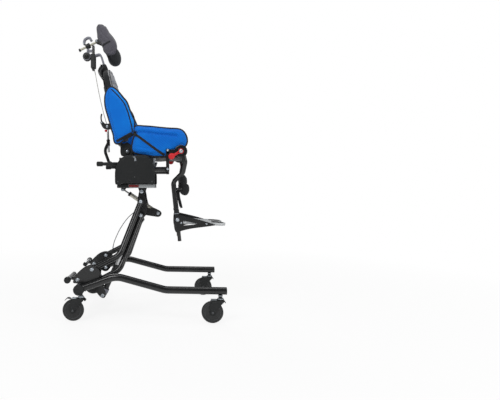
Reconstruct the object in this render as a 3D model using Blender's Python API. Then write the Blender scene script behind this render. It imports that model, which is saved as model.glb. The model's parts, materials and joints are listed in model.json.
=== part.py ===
import math

import bmesh
import bpy
from mathutils import Matrix, Vector

for left_over in list(bpy.data.objects):
    bpy.data.objects.remove(left_over, do_unlink=True)

# Lengths are in metres, +X is where the child looks, +Z is up, the child's right is -Y.
# Places are written in the side view as (x, z), with y given as a distance from the middle.

# Fits shared by all pieces
seat_gap = 0.0003
turn_gap = 0.0004

# Facets
tube_sides = 12
eye_sides = 18
rod_sides = 10
wheel_sides = 26
bend_steps = 4

# Base frame
cross_tube_spot = (-0.297, 0.147)
cross_tube_radius = 0.025
cross_tube_half = 0.292
cross_tube_rim = 0.0025
rail_radius = 0.017
rail_inset = 0.022
rail_half = cross_tube_half - rail_inset
rail_crest = (-0.123, 0.211)
rail_foot = (0.109, 0.1495)
rail_end = (0.392, 0.148)
rail_bend = 0.110

# Base brackets, leaf shaped cheek pairs that hold the lift arms
bracket_outline = (
    (-0.3295, 0.172), (-0.3300, 0.184), (-0.3265, 0.198), (-0.3180, 0.211), (-0.3050, 0.225),
    (-0.2870, 0.240), (-0.2680, 0.2500), (-0.2500, 0.2550), (-0.2320, 0.2535), (-0.2170, 0.2460),
    (-0.2060, 0.2350), (-0.2010, 0.2200), (-0.2060, 0.1950), (-0.2150, 0.1650), (-0.2280, 0.1475),
    (-0.2440, 0.1430), (-0.2600, 0.1480), (-0.2800, 0.1650), (-0.3000, 0.1690),
)
cheek_thickness = 0.004
arm_pivot = (-0.241, 0.236)
arm_spacing = 0.070
pedal_pivot = (-0.310, 0.187)
pivot_pin_radius = 0.005
bolt_head_radius = 0.0078
bolt_head_height = 0.0035
dome_share = 0.6

# Lift arms, two bent tubes a side that keep the carrier level
arm_radius = 0.014
arm_inset = 0.040
arm_base_half = rail_half - arm_inset
arm_top_half = 0.1015
arm_knee = (-0.110, 0.304)
arm_top = (-0.017, 0.557)
arm_top_straight = 0.0085
arm_bend = 0.060
arm_end_bend = 0.026
arm_eye_radius = 0.0158
arm_eye_width = 0.0288

# Cross bar of the lower arms with the lug of the lift cylinder
bridge_radius = 0.0095
bridge_drop = 0.036
bridge_forward = 0.012
bridge_half = 0.0940
lift_head = (-0.0443, 0.4612)
bridge_lug_radius = 0.0125
bridge_lug_thickness = 0.005

# Lift cylinder
lift_foot = (-0.224, 0.059)
lift_lug_outline = (
    (-0.3215, 0.1400), (-0.3080, 0.1000), (-0.2900, 0.0790), (-0.2710, 0.0735), (-0.2560, 0.0735),
    (-0.2400, 0.0560), (-0.2240, 0.0460), (-0.2110, 0.0500), (-0.2060, 0.0650), (-0.2110, 0.0860),
    (-0.2250, 0.1120), (-0.2480, 0.1500), (-0.2740, 0.1650),
)
lift_lug_thickness = 0.005
lift_eye_radius = 0.012
lift_eye_half = 0.0195
lift_base_radius = 0.019
lift_base_length = 0.040
lift_barrel_radius = 0.014
lift_barrel_length = 0.165
lift_collar_length = 0.012
lift_rod_radius = 0.009
lift_rod_overlap = 0.030
lift_stroke = 0.0950
lift_head_length = 0.078
lift_head_radius = 0.0115
lift_tip_radius = 0.0080
lift_tip_length = 0.030
lift_head_half = 0.0075
lift_neck_share = 0.7
lift_swell_share = 1.4
lift_collar_rise = 0.0012
lug_steps = 8

# Carrier on top of the arms
tilt_pivot = (-0.0135, 0.607)
carrier_outline = (
    (-0.0250, 0.6120), (-0.0305, 0.5900), (-0.0350, 0.5620), (-0.0360, 0.5300), (-0.0350, 0.5050),
    (-0.0330, 0.4820), (-0.0260, 0.4700), (-0.0140, 0.4665), (-0.0030, 0.4740), (0.0090, 0.4980),
    (0.0170, 0.5240), (0.0120, 0.5450), (0.0060, 0.5700), (0.0030, 0.5920), (-0.0020, 0.6120),
    (-0.0075, 0.6185), (-0.0190, 0.6185),
)
carrier_inner_half = 0.0800
carrier_tube_spot = (-0.0080, 0.4940)
carrier_tube_radius = 0.0125
foot_bolt = (0.067, 0.491)
foot_outline = (
    (-0.0080, 0.5040), (0.0200, 0.5150), (0.0440, 0.5180), (0.0650, 0.5090), (0.0790, 0.5010),
    (0.0860, 0.4890), (0.0810, 0.4770), (0.0680, 0.4710), (0.0430, 0.4740), (0.0150, 0.4780),
    (-0.0080, 0.4840),
)
foot_cheek_thickness = 0.0045

# Tilt spring between the carrier and the back of the seat tray
spring_half = 0.045
spring_eye = (-0.1220, 0.6180)
spring_tube_radius = 0.011
spring_tube_length = 0.174
spring_cap_length = 0.012
spring_cap_radius = 0.0125
spring_rod_radius = 0.0045
spring_rod_overlap = 0.060
spring_stroke = 0.031
spring_eye_radius = 0.0078
spring_eye_width = 0.0236
spring_rod_eye_radius = 0.0066
spring_pin_radius = 0.0036
spring_root_share = 0.5
spring_swell_share = 2.0
spring_open_gap = 0.0018

# Release cable of the lift, clipped to the left upper arm
cable_radius = 0.0022
cable_start_share = 0.36
cable_finish_share = 0.78
cable_route = ((-0.1900, 0.3200), (-0.1560, 0.3900), (-0.1080, 0.4560))
cable_route_shares = (0.97, 0.805, 0.55)
cable_points = 22

# Castors
wheel_radius = 0.050
wheel_outer = wheel_radius / math.cos(math.pi / wheel_sides)
wheel_width = 0.024
castor_trail = 0.037
rear_castor_x = -0.288
front_castor_x = 0.363
castor_half = rail_half
stem_radius = 0.009
collar_radius = 0.016
rear_mount_height = 0.122
front_mount_height = 0.131
hood_top = 0.1115
hood_thickness = 0.010
fork_inner_half = 0.0135
fork_cheek = 0.0035
fork_outline = (
    (0.0100, 0.0580), (-0.0020, 0.0560), (-0.0440, 0.0480), (-0.0500, 0.0360), (-0.0475, 0.0060),
    (-0.0400, -0.0070), (-0.0330, -0.0070), (-0.0265, 0.0020), (-0.0060, 0.0260), (0.0160, 0.0510),
)
axle_radius = 0.0045
wheel_hub_radius = 0.014
wheel_rim_radius = 0.036
wheel_recess = 0.004
tyre_shoulder = 0.004
brake_pivot = (-0.046, 0.046)
brake_length = 0.030
brake_thickness = 0.0030
brake_width = 0.024
brake_rise = 0.004
brake_lift = 0.0070
brake_bend_share = 0.55

# Foot pedals
pedal_spot = (-0.3485, 0.1945)
pedal_overhang = 0.008
pedal_reach = 0.160
pedal_outer_half = cross_tube_half + pedal_overhang
pedal_inner_half = pedal_outer_half - pedal_reach
pedal_tube_radius = 0.0115
pedal_cap_radius = 0.0155
pedal_cap_length = 0.016
pedal_arm_thickness = 0.008
pedal_arm_width = 0.018
pedal_eye_radius = 0.011

# Seat tray, the tilting plate under the seat
tray_back = -0.131
tray_front = 0.055
tray_low = 0.626
tray_high = 0.6445
tray_half = 0.1630
tray_edge = 0.002
tilt_lug_outline = (
    (-0.0330, 0.6300), (-0.0230, 0.6010), (-0.0180, 0.5965), (-0.0090, 0.5965), (-0.0040, 0.6010),
    (0.0060, 0.6300),
)
tilt_lug_thickness = 0.005
spring_lug_outline = (
    (-0.1310, 0.6300), (-0.1320, 0.6150), (-0.1270, 0.6090), (-0.1170, 0.6090), (-0.1120, 0.6150),
    (-0.1040, 0.6300),
)

# Side covers of the tray
cover_outline = (
    (-0.1380, 0.6500), (-0.1395, 0.7000), (-0.1360, 0.7450), (-0.1280, 0.7640), (-0.1150, 0.7770),
    (-0.0950, 0.7840), (0.0220, 0.7840), (0.0400, 0.7750), (0.0500, 0.7600), (0.0560, 0.7300),
    (0.0575, 0.6650), (0.0560, 0.6480), (0.0450, 0.6400), (0.0280, 0.6440), (0.0120, 0.6490),
    (-0.0950, 0.6490), (-0.1120, 0.6430), (-0.1300, 0.6410),
)
cover_inner_half = 0.1723
cover_thickness = 0.017
cover_edge = 0.004

# Seat frame
frame_tube_radius = 0.012
frame_tube_height = 0.717
frame_tube_half = 0.1600
frame_tube_back = -0.125
frame_tube_front = 0.112
frame_plate_thickness = 0.005
frame_plate_back = -0.120
frame_plate_front = 0.048
frame_plate_low = 0.6448
frame_plate_high = 0.7745
frame_cross_x = (-0.085, 0.020)
frame_cross_radius = 0.0108
post_front = 0.127
post_back = 0.111
post_low = 0.704
post_high = 0.815
post_inner_half = 0.1740
post_thickness = 0.009
flange_inner_half = 0.1180
flange_thickness = 0.004
knee_arm_drop = 0.002
knee_arm_depth = 0.022
knee_boss_radius = 0.0160
knee_pin_radius = 0.0060

strut_lug_outline = (
    (-0.2010, 0.7540), (-0.1960, 0.7470), (-0.1800, 0.7380), (-0.1300, 0.7110), (-0.0920, 0.7070),
    (-0.0920, 0.7260), (-0.1300, 0.7330), (-0.1720, 0.7600), (-0.1860, 0.7680), (-0.1970, 0.7670),
)

# Push handles at the back of the seat frame
handle_rise = 0.027
handle_height = frame_tube_height + handle_rise
handle_back = -0.232
handle_front = -0.1203
handle_half = 0.1600
handle_rod_radius = 0.0085
handle_grip_radius = 0.0125
handle_grip_length = 0.030
handle_groove = 0.0012
handle_grooves = 3

# Seat pan with the ears of the back hinge
pan_back = -0.070
pan_front = 0.205
pan_half = 0.132
pan_low = 0.7750
pan_high = 0.7850
hip_pivot = (-0.083, 0.809)
seat_ear_outline = (
    (-0.0600, 0.7800), (-0.0990, 0.7870), (-0.1080, 0.8000), (-0.1080, 0.8200), (-0.0980, 0.8330),
    (-0.0820, 0.8370), (-0.0690, 0.8300), (-0.0600, 0.8150),
)
seat_ear_inner_half = 0.1260
ear_thickness = 0.005
hip_pin_radius = 0.008
hip_disc_radius = 0.016
hip_disc_height = 0.004
hip_disc_rim_share = 0.9

# Back
back_lean = math.radians(12.8)
back_shell_outline = (
    (-0.0900, 0.7930), (-0.0760, 0.7960), (-0.0725, 0.8100), (-0.0790, 0.8260), (-0.0980, 0.8430),
    (-0.1330, 0.8640), (-0.1400, 0.8600), (-0.1360, 0.8520), (-0.1150, 0.8370), (-0.0980, 0.8150),
)
back_shell_low = 0.850
back_shell_high = 1.278
back_rear_at_low = -0.1403
back_shell_half = 0.132
back_shell_top_half = 0.105
back_shell_thickness = 0.011
back_narrow_height = 1.125
back_narrow_run = 0.033
back_crown_share = 0.85
strut_foot = (-0.191, 0.757)
strut_bow = (-0.216, 0.825)
strut_bar_depth = 0.015
strut_bar_width = 0.016
rod_end = (-0.200, 0.952)
recline_rod_radius = 0.0055
recline_rod_overlap = 0.068
strut_lug_radius = 0.011
strut_sleeve_radius = 0.0085
strut_sleeve_low = 0.850
strut_sleeve_high = 0.8825
strut_bore_low = 0.7700
strut_bend = 0.045
strut_pin_radius = 0.0040
recline_open_gap = 0.0014
recline_lug_outline = (
    (-0.2180, 0.9410), (-0.1700, 0.9380), (-0.1600, 0.9400), (-0.1630, 0.9620), (-0.1750, 0.9680),
    (-0.2080, 0.9660), (-0.2200, 0.9740), (-0.2280, 0.9800), (-0.2350, 0.9780), (-0.2370, 0.9700),
    (-0.2330, 0.9620),
)
lever_route = ((-0.2290, 0.9720), (-0.2370, 0.9920), (-0.2390, 1.0130), (-0.2350, 1.0300))
lever_depth = 0.007
lever_width = 0.0156
lever_pin_radius = 0.0025
lever_eye_radius = 0.0058
knob_radius = 0.0065
knob_length = 0.016
knob_tip_share = 0.8
knob_round_share = 0.2

# Soft forms: outlines in the side view, with the nearest and farthest side of each
seat_cushion_back = -0.0590
seat_cushion_front = 0.206
seat_cushion_half = 0.1322
seat_cushion_thickness = 0.060
back_cushion_low = 0.869
back_cushion_high = 1.245
back_cushion_half = 0.1322
back_cushion_thickness = 0.046
wing_inner_half = 0.1325
wing_thickness = 0.0410
seat_wing_outline = (
    (-0.0440, 0.9280), (0.0000, 0.9300), (0.0600, 0.9250), (0.1250, 0.9170), (0.1720, 0.9110),
    (0.1950, 0.8990), (0.2090, 0.8760), (0.2120, 0.8480), (0.1970, 0.8240), (0.1560, 0.7990),
    (0.1060, 0.7800), (0.0450, 0.7800), (-0.0150, 0.7890), (-0.0480, 0.8000), (-0.0550, 0.8180),
    (-0.0540, 0.8400), (-0.0500, 0.8620), (-0.0440, 0.8900),
)
back_wing_outline = (
    (-0.1650, 1.1210), (-0.1280, 1.0990), (-0.0860, 1.0500), (-0.0650, 1.0000), (-0.0420, 0.9560),
    (-0.0500, 0.9300), (-0.0510, 0.8920), (-0.0900, 0.8680), (-0.1320, 0.8440), (-0.1500, 0.8900),
    (-0.1660, 0.9450), (-0.1820, 1.0050), (-0.1880, 1.0500), (-0.1850, 1.0950),
)
pad_rings = 5
pad_draw_in = 0.62
cushion_corner = 0.030
cushion_corner_steps = 5
cushion_edge = 0.012
cushion_profile_shares = (
    (0.90, 0.0), (0.20, 0.05), (0.0, 0.22), (0.0, 0.62), (0.25, 0.82), (1.0, 0.93), (2.6, 0.98), (5.0, 1.0),
)

# Head support
neck_bracket_route = ((-0.2330, 1.2560), (-0.2480, 1.3300), (-0.2700, 1.3300))
neck_bar_depth = 0.006
neck_bar_width = 0.030
neck_socket_low = 1.262
neck_socket_high = 1.336
neck_socket_x = -0.2760
neck_socket_depth = 0.024
neck_socket_width = 0.036
neck_post_depth = 0.012
neck_post_width = 0.022
neck_post_low = 1.250
neck_post_high = 1.383
neck_post_edge = 0.0015
bar_back = (-0.345, 1.362)
bar_front = (-0.2560, 1.4037)
bar_eye_radius = 0.0068
bar_eye_half = 0.0080
bar_pin_radius = 0.0030
head_lug_outline = (
    (-0.2640, 1.4030), (-0.2600, 1.3960), (-0.2520, 1.3930), (-0.2300, 1.3850), (-0.2340, 1.4200),
    (-0.2540, 1.4130), (-0.2620, 1.4110),
)
bar_radius = 0.006
bar_cap_radius = 0.0085
bar_cap_length = 0.010
clamp_disc_radius = 0.0215
clamp_disc_spot = (-0.3102, 1.3250)
clamp_disc_half = 0.014
clamp_stem_radius = 0.007
clamp_block_radius = 0.0140
clamp_block_length = 0.026
clamp_bar_share = 0.45
cam_length = 0.048
cam_depth = 0.012
cam_width = 0.018
cam_bend_share = 0.45
cam_bulge_share = 0.4
head_outline = (
    (-0.2460, 1.4950), (-0.2210, 1.4870), (-0.1960, 1.4560), (-0.1700, 1.4150), (-0.1450, 1.3700),
    (-0.1250, 1.3200), (-0.1240, 1.2880), (-0.1360, 1.2690), (-0.1540, 1.2780), (-0.1880, 1.3220),
    (-0.2200, 1.3560), (-0.2430, 1.3970), (-0.2560, 1.4350), (-0.2570, 1.4750),
)
head_half = 0.1150
head_wing_inner_half = 0.0780
head_wall = 0.036
head_wall_edge = 0.0072
head_rear_spots = ((-0.2460, 1.4880), (-0.2550, 1.4350), (-0.2430, 1.3970), (-0.2280, 1.3680))
head_wall_turn = math.radians(8.0)

# Leg supports
knee_pivot = (0.183, 0.802)
knee_disc_radius = 0.031
knee_inner_half = 0.1840
knee_disc_thickness = 0.017
leg_route = ((0.1960, 0.7790), (0.2030, 0.7500), (0.1930, 0.7000), (0.1480, 0.6560), (0.1640, 0.5020))
leg_route_halves = (0.1950, 0.1950, 0.1720, 0.1250, 0.1250)
leg_radius = 0.0115
leg_bore_radius = 0.0095
leg_bore_depth = 0.120
leg_bend = 0.026
slider_radius = 0.0091
slider_overlap = 0.080
slider_low = 0.377
slider_ring_radius = 0.0130
slider_ring_length = 0.006
slider_gap = 0.002
foot_pivot = (0.1700, 0.4680)
foot_bracket_outline = (
    (0.1530, 0.4880), (0.1620, 0.4930), (0.1800, 0.4900), (0.2300, 0.4790), (0.2900, 0.4640),
    (0.3500, 0.4450), (0.3540, 0.4415), (0.3000, 0.4330), (0.2400, 0.4250), (0.1950, 0.4150),
    (0.1700, 0.4060), (0.1570, 0.4100), (0.1500, 0.4400),
)
foot_window_outline = ((0.1950, 0.4640), (0.2780, 0.4470), (0.1950, 0.4400))
foot_bracket_inner_half = 0.1385
foot_bracket_thickness = 0.006
plate_back_x = 0.1800
plate_tip_x = 0.4090
plate_half = 0.1380
plate_height_back = 0.4620
plate_slope = math.radians(3.0)
plate_thickness = 0.010
plate_edge = 0.002
plate_outline_shares = (
    (0.0, -1.0), (0.72, -1.0), (0.93, -0.90), (1.0, -0.72), (0.985, -0.38), (0.93, -0.20),
    (0.81, 0.0), (0.93, 0.20), (0.985, 0.38), (1.0, 0.72), (0.93, 0.90), (0.72, 1.0), (0.0, 1.0),
)
lever_disc_radius = 0.0125
lever_thickness = 0.006
lever_big_end = (0.1380, 0.7770)
lever_big_radius = 0.0150
lever_neck = 0.0055
lever_slot_length = 0.016
lever_slot_half = 0.0020
lever_waist_share = 0.98
calf_outline = (
    (0.1780, 0.6950), (0.1960, 0.7000), (0.2100, 0.6780), (0.2240, 0.6350), (0.2280, 0.6050),
    (0.2160, 0.5860), (0.1980, 0.5860), (0.1850, 0.6050), (0.1780, 0.6450),
)
calf_half = 0.1080
calf_bar = (0.1920, 0.6200)
calf_bar_end = (0.1550, 0.6200)
calf_bar_half = 0.1120
calf_bar_bend = 0.012
calf_bar_radius = 0.006


def place(spot, y):
    return Vector((spot[0], y, spot[1]))


def painted(item, colour, metal, rough):
    shade = bpy.data.materials.new(item.name)
    shade.use_nodes = True
    surface = shade.node_tree.nodes["Principled BSDF"]
    surface.inputs["Base Color"].default_value = (*colour, 1)
    surface.inputs["Metallic"].default_value = metal
    surface.inputs["Roughness"].default_value = rough
    item.data.materials.clear()
    item.data.materials.append(shade)
    return item


def from_rings(name, rings, smooth=False):
    form = bmesh.new()
    loops = [[form.verts.new(point) for point in ring] for ring in rings]
    count = len(rings[0])
    for low, high in zip(loops, loops[1:]):
        for k in range(count):
            after = (k + 1) % count
            side = form.faces.new((low[k], low[after], high[after], high[k]))
            side.smooth = smooth
    form.faces.new(loops[0][::-1])
    form.faces.new(loops[-1])
    bmesh.ops.recalc_face_normals(form, faces=form.faces)
    mesh = bpy.data.meshes.new(name)
    form.to_mesh(mesh)
    form.free()
    item = bpy.data.objects.new(name, mesh)
    bpy.context.scene.collection.objects.link(item)
    return item


def plate(name, outline, near, far):
    return from_rings(name, [[place(spot, y) for spot in outline] for y in (near, far)])


def block(name, low, high):
    corners = ((low[0], low[1]), (high[0], low[1]), (high[0], high[1]), (low[0], high[1]))
    return from_rings(name, [[Vector((x, y, z)) for x, y in corners] for z in (low[2], high[2])])


def axis_frame(along):
    along = along.normalized()
    guide = Vector((0, 1, 0)) if abs(along.y) < math.sqrt(0.5) else Vector((1, 0, 0))
    across = along.cross(guide).normalized()
    return across, across.cross(along).normalized(), along


def turned(name, start, along, profile, sides):
    across, beside, along = axis_frame(along)
    rings = []
    for distance, radius in profile:
        ring = []
        for k in range(sides):
            angle = math.tau * (k + 0.5) / sides
            offset = across * math.cos(angle) + beside * math.sin(angle)
            ring.append(start + along * distance + offset * radius)
        rings.append(ring)
    return from_rings(name, rings, smooth=True)


def rod(name, start, finish, radius, sides=rod_sides):
    reach = finish - start
    return turned(name, start, reach, ((0, radius), (reach.length, radius)), sides)


def across_rod(name, spot, near, far, radius, sides=rod_sides):
    return rod(name, place(spot, near), place(spot, far), radius, sides)


def filleted(corners, radius, steps=bend_steps):
    path = [corners[0]]
    for before, corner, after in zip(corners, corners[1:], corners[2:]):
        into = (corner - before).normalized()
        away = (after - corner).normalized()
        turn = into.angle(away)
        start = corner - into * radius * math.tan(turn / 2)
        centre = corner + (away - into).normalized() * radius / math.cos(turn / 2)
        axle = into.cross(away).normalized()
        for k in range(steps + 1):
            swing = Matrix.Rotation(turn * k / steps, 3, axle)
            path.append(centre + swing @ (start - centre))
    path.append(corners[-1])
    return path


def swept(name, path, section, smooth=True):
    tangents = []
    for k in range(len(path)):
        before = path[max(k - 1, 0)]
        after = path[min(k + 1, len(path) - 1)]
        tangents.append((after - before).normalized())
    across = Vector((0, 1, 0))
    if abs(tangents[0].y) > math.sqrt(0.5):
        across = Vector((1, 0, 0))
    rings = []
    for point, tangent in zip(path, tangents):
        across = (across - tangent * across.dot(tangent)).normalized()
        upward = across.cross(tangent)
        rings.append([point + across * u + upward * v for u, v in section])
    return from_rings(name, rings, smooth)


def round_section(radius, sides=tube_sides):
    return [
        (radius * math.cos(math.tau * (k + 0.5) / sides), radius * math.sin(math.tau * (k + 0.5) / sides))
        for k in range(sides)
    ]


def bar_section(width, depth):
    return [(width * u / 2, depth * v / 2) for u, v in ((-1, -1), (1, -1), (1, 1), (-1, 1))]


def shaped(item, other, operation):
    step = item.modifiers.new("shape", "BOOLEAN")
    step.operation = operation
    step.solver = "EXACT"
    step.object = other
    graph = bpy.context.evaluated_depsgraph_get()
    mesh = bpy.data.meshes.new_from_object(item.evaluated_get(graph))
    item.modifiers.clear()
    item.data = mesh
    bpy.data.objects.remove(other, do_unlink=True)
    return item


def joined(item, *others):
    for other in others:
        shaped(item, other, "UNION")
    return item


def cut(item, *others):
    for other in others:
        shaped(item, other, "DIFFERENCE")
    return item


def edged(item, width, steps=2):
    softened = item.modifiers.new("edge", "BEVEL")
    softened.width = width
    softened.segments = steps
    softened.limit_method = "ANGLE"
    graph = bpy.context.evaluated_depsgraph_get()
    mesh = bpy.data.meshes.new_from_object(item.evaluated_get(graph))
    item.modifiers.clear()
    item.data = mesh
    return item


def hung(item, spot, y=0):
    pivot = place(spot, y)
    item.data.transform(Matrix.Translation(-pivot))
    item.location = pivot
    return item


def bolt(name, spot, inner, outer, head_side, radius=pivot_pin_radius):
    # A pin from cheek to cheek with a low domed head on the side that is seen.
    side = math.copysign(1, outer - inner)
    profile = (
        (0, radius),
        (abs(outer - inner), radius),
        (abs(outer - inner), bolt_head_radius),
        (abs(outer - inner) + bolt_head_height * dome_share, bolt_head_radius),
        (abs(outer - inner) + bolt_head_height, bolt_head_radius * dome_share),
    )
    return turned(name, place(spot, inner), Vector((0, side * head_side, 0)), profile, rod_sides)


def pillow(name, outline, near, far, rings=pad_rings):
    # A stuffed form: the outline seen from the side, rounded over towards both faces.
    centre_x = sum(spot[0] for spot in outline) / len(outline)
    centre_z = sum(spot[1] for spot in outline) / len(outline)
    middle = (near + far) / 2
    half = (far - near) / 2
    loops = []
    for k in range(-rings, rings + 1):
        share = math.sin(math.pi / 2 * abs(k) / rings)
        inward = 1 - math.cos(math.pi / 2 * abs(k) / rings)
        scale = 1 - inward * pad_draw_in
        y = middle + math.copysign(half * share, k) if k else middle
        loops.append([
            place((centre_x + (x - centre_x) * scale, centre_z + (z - centre_z) * scale), y)
            for x, z in outline
        ])
    return from_rings(name, loops, smooth=True)


black = (0.012, 0.013, 0.014)
dark_grey = (0.06, 0.063, 0.068)
steel = (0.62, 0.64, 0.66)
pale_grey = (0.42, 0.45, 0.47)
blue = (0.0, 0.16, 0.62)
red = (0.62, 0.02, 0.03)

sides = (("right", -1), ("left", 1))
all_items = []


def kept(item, colour, metal, rough):
    painted(item, colour, metal, rough)
    all_items.append(item)
    return item


# Rear cross tube with the welded lug of the lift cylinder
tube_end = cross_tube_half - cross_tube_rim
cross_tube = turned(
    "rear_cross_tube", place(cross_tube_spot, -cross_tube_half), Vector((0, 1, 0)),
    (
        (0, cross_tube_radius - cross_tube_rim), (cross_tube_rim, cross_tube_radius),
        (cross_tube_half + tube_end, cross_tube_radius),
        (2 * cross_tube_half, cross_tube_radius - cross_tube_rim),
    ),
    eye_sides,
)
lug_inner = lift_eye_half + turn_gap
for _, side in sides:
    cheek = plate("cheek", lift_lug_outline, side * lug_inner, side * (lug_inner + lift_lug_thickness))
    joined(cross_tube, cheek)
lug_outer = lug_inner + lift_lug_thickness
joined(cross_tube, bolt("pin", lift_foot, lug_outer - lift_lug_thickness / 2, -lug_outer, 1))
kept(cross_tube, black, 0.3, 0.35)

# Side rails, coped round the cross tube
for label, side in sides:
    corners = [place(spot, side * rail_half) for spot in (cross_tube_spot, rail_crest, rail_foot, rail_end)]
    rail = swept("side_rail_" + label, filleted(corners, rail_bend), round_section(rail_radius, eye_sides))
    notch = across_rod(
        "notch", cross_tube_spot, side * (rail_half - 2 * rail_radius), side * (rail_half + 2 * rail_radius),
        cross_tube_radius + seat_gap, eye_sides,
    )
    cut(rail, notch)
    kept(rail, black, 0.3, 0.35)

# Base brackets
cheek_gap = arm_eye_width / 2 + turn_gap
lower_pivot = (arm_pivot[0], arm_pivot[1] - arm_spacing)
for label, side in sides:
    inner = side * (arm_base_half - cheek_gap)
    outer = side * (arm_base_half + cheek_gap)
    bracket = plate("base_bracket_" + label, bracket_outline, outer, outer + side * cheek_thickness)
    joined(bracket, plate("cheek", bracket_outline, inner, inner - side * cheek_thickness))
    for spot in (arm_pivot, lower_pivot, pedal_pivot):
        pin_start = inner - side * cheek_thickness / 2
        joined(bracket, bolt("pin", spot, pin_start, outer + side * cheek_thickness, 1))
    clear = across_rod(
        "clear", cross_tube_spot, -cross_tube_half, cross_tube_half, cross_tube_radius + seat_gap, eye_sides,
    )
    cut(bracket, clear)
    kept(bracket, black, 0.3, 0.4)

# Lift arms
slope = math.atan2(arm_top[1] - arm_knee[1], arm_top[0] - arm_knee[0])
arm_shoulder = (
    arm_top[0] - arm_top_straight * math.cos(slope),
    arm_top[1] - arm_top_straight * math.sin(slope),
)


def arm_path(side, drop):
    spots = (arm_pivot, arm_knee, arm_shoulder, arm_top)
    halves = (arm_base_half, arm_base_half, arm_top_half, arm_top_half)
    corners = [place((spot[0], spot[1] - drop), side * half) for spot, half in zip(spots, halves)]
    lead = filleted(corners[:3], arm_bend, 5)
    return lead[:-1] + filleted([lead[-2], corners[2], corners[3]], arm_end_bend, 2)[1:]


for level, drop in (("upper", 0), ("lower", arm_spacing)):
    foot = (arm_pivot[0], arm_pivot[1] - drop)
    top = (arm_top[0], arm_top[1] - drop)
    for label, side in sides:
        arm = swept(level + "_arm_" + label, arm_path(side, drop), round_section(arm_radius))
        for spot, half in ((foot, arm_base_half), (top, arm_top_half)):
            near = side * (half - arm_eye_width / 2)
            far = side * (half + arm_eye_width / 2)
            joined(arm, across_rod("eye", spot, near, far, arm_eye_radius, eye_sides))
            bore = across_rod(
                "bore", spot, near - side * arm_radius, far + side * arm_radius, pivot_pin_radius + turn_gap,
            )
            cut(arm, bore)
        kept(hung(arm, foot), black, 0.3, 0.35)

# Cross bar between the lower arms, with the lug for the head of the lift cylinder
lower_top = (arm_top[0], arm_top[1] - arm_spacing)
bridge_spot = (
    lower_top[0] - bridge_drop * math.cos(slope) + bridge_forward,
    lower_top[1] - bridge_drop * math.sin(slope),
)
bridge = across_rod("arm_bridge", bridge_spot, -bridge_half, bridge_half, bridge_radius, eye_sides)
lug_reach = Vector((lift_head[0] - bridge_spot[0], lift_head[1] - bridge_spot[1]))
lug_sweep = math.atan2(lug_reach.y, lug_reach.x)
lug_tip = [
    (
        lift_head[0] + bridge_lug_radius * math.cos(lug_sweep + math.pi * (k / lug_steps - 1 / 2)),
        lift_head[1] + bridge_lug_radius * math.sin(lug_sweep + math.pi * (k / lug_steps - 1 / 2)),
    )
    for k in range(lug_steps + 1)
]
lug_root = [
    (
        bridge_spot[0] + share * bridge_lug_radius * math.sin(lug_sweep),
        bridge_spot[1] - share * bridge_lug_radius * math.cos(lug_sweep),
    )
    for share in (-1, 1)
]
head_gap = lift_head_half + 2 * turn_gap
for _, side in sides:
    joined(bridge, plate(
        "lug", lug_tip + lug_root, side * head_gap, side * (head_gap + bridge_lug_thickness),
    ))
    joined(bridge, turned(
        "head", place(lift_head, side * (head_gap + bridge_lug_thickness / 2)), Vector((0, side, 0)),
        ((0, bolt_head_radius), (bridge_lug_thickness, bolt_head_radius)), rod_sides,
    ))
for _, side in sides:
    around = swept("around", arm_path(side, arm_spacing), round_section(arm_radius + seat_gap))
    cut(bridge, around)
kept(hung(bridge, lower_pivot), black, 0.3, 0.35)

# Carrier: two side plates, a cross tube, the pins of the arms and the foot of the tilt spring
carrier_outer_half = arm_top_half - arm_eye_width / 2 - turn_gap
carrier_tube_half = carrier_outer_half - cheek_thickness / 2
carrier = across_rod(
    "carrier_bracket", carrier_tube_spot, -carrier_tube_half, carrier_tube_half, carrier_tube_radius,
    eye_sides,
)
pin_tip_half = arm_top_half + arm_eye_width / 2 + 2 * turn_gap
for _, side in sides:
    joined(carrier, plate("side", carrier_outline, side * carrier_inner_half, side * carrier_outer_half))
    for spot in (arm_top, lower_top):
        joined(carrier, bolt("pin", spot, side * (carrier_inner_half + turn_gap), side * pin_tip_half, 1))
    bore = across_rod(
        "bore", tilt_pivot, side * (carrier_inner_half - arm_radius),
        side * (carrier_outer_half + arm_radius), pivot_pin_radius + turn_gap,
    )
    cut(carrier, bore)
spring_cheek_gap = spring_eye_width / 2 + turn_gap
foot_near = spring_half - spring_cheek_gap
foot_far = spring_half + spring_cheek_gap
for start in (foot_near - foot_cheek_thickness, foot_far):
    joined(carrier, plate("foot", foot_outline, start, start + foot_cheek_thickness))
joined(carrier, bolt(
    "pin", foot_bolt, foot_far + foot_cheek_thickness / 2, foot_near - foot_cheek_thickness, 1,
))
kept(hung(carrier, arm_top), black, 0.3, 0.4)

# Lift cylinder and its rod
lift_base = place(lift_foot, 0)
lift_reach = place(lift_head, 0) - lift_base
lift_length = lift_reach.length
lift_way = lift_reach.normalized()
barrel_profile = (
    (lift_eye_radius * lift_neck_share, lift_base_radius * lift_neck_share),
    (lift_eye_radius * lift_swell_share, lift_base_radius),
    (lift_base_length, lift_base_radius),
    (lift_base_length, lift_barrel_radius),
    (lift_barrel_length, lift_barrel_radius),
    (lift_barrel_length, lift_barrel_radius + lift_collar_rise),
    (lift_barrel_length + lift_collar_length, lift_barrel_radius + lift_collar_rise),
)
lift_cylinder = turned("lift_cylinder", lift_base, lift_way, barrel_profile, eye_sides)
joined(lift_cylinder, across_rod("eye", lift_foot, -lift_eye_half, lift_eye_half, lift_eye_radius, eye_sides))
lift_bore_start = lift_barrel_length + lift_collar_length - lift_rod_overlap - lift_stroke
rod_bore = turned(
    "bore", lift_base + lift_way * lift_bore_start, lift_way,
    ((0, lift_rod_radius + seat_gap), (lift_length, lift_rod_radius + seat_gap)), rod_sides,
)
pin_bore = across_rod("bore", lift_foot, -lift_length, lift_length, pivot_pin_radius + turn_gap)
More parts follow.
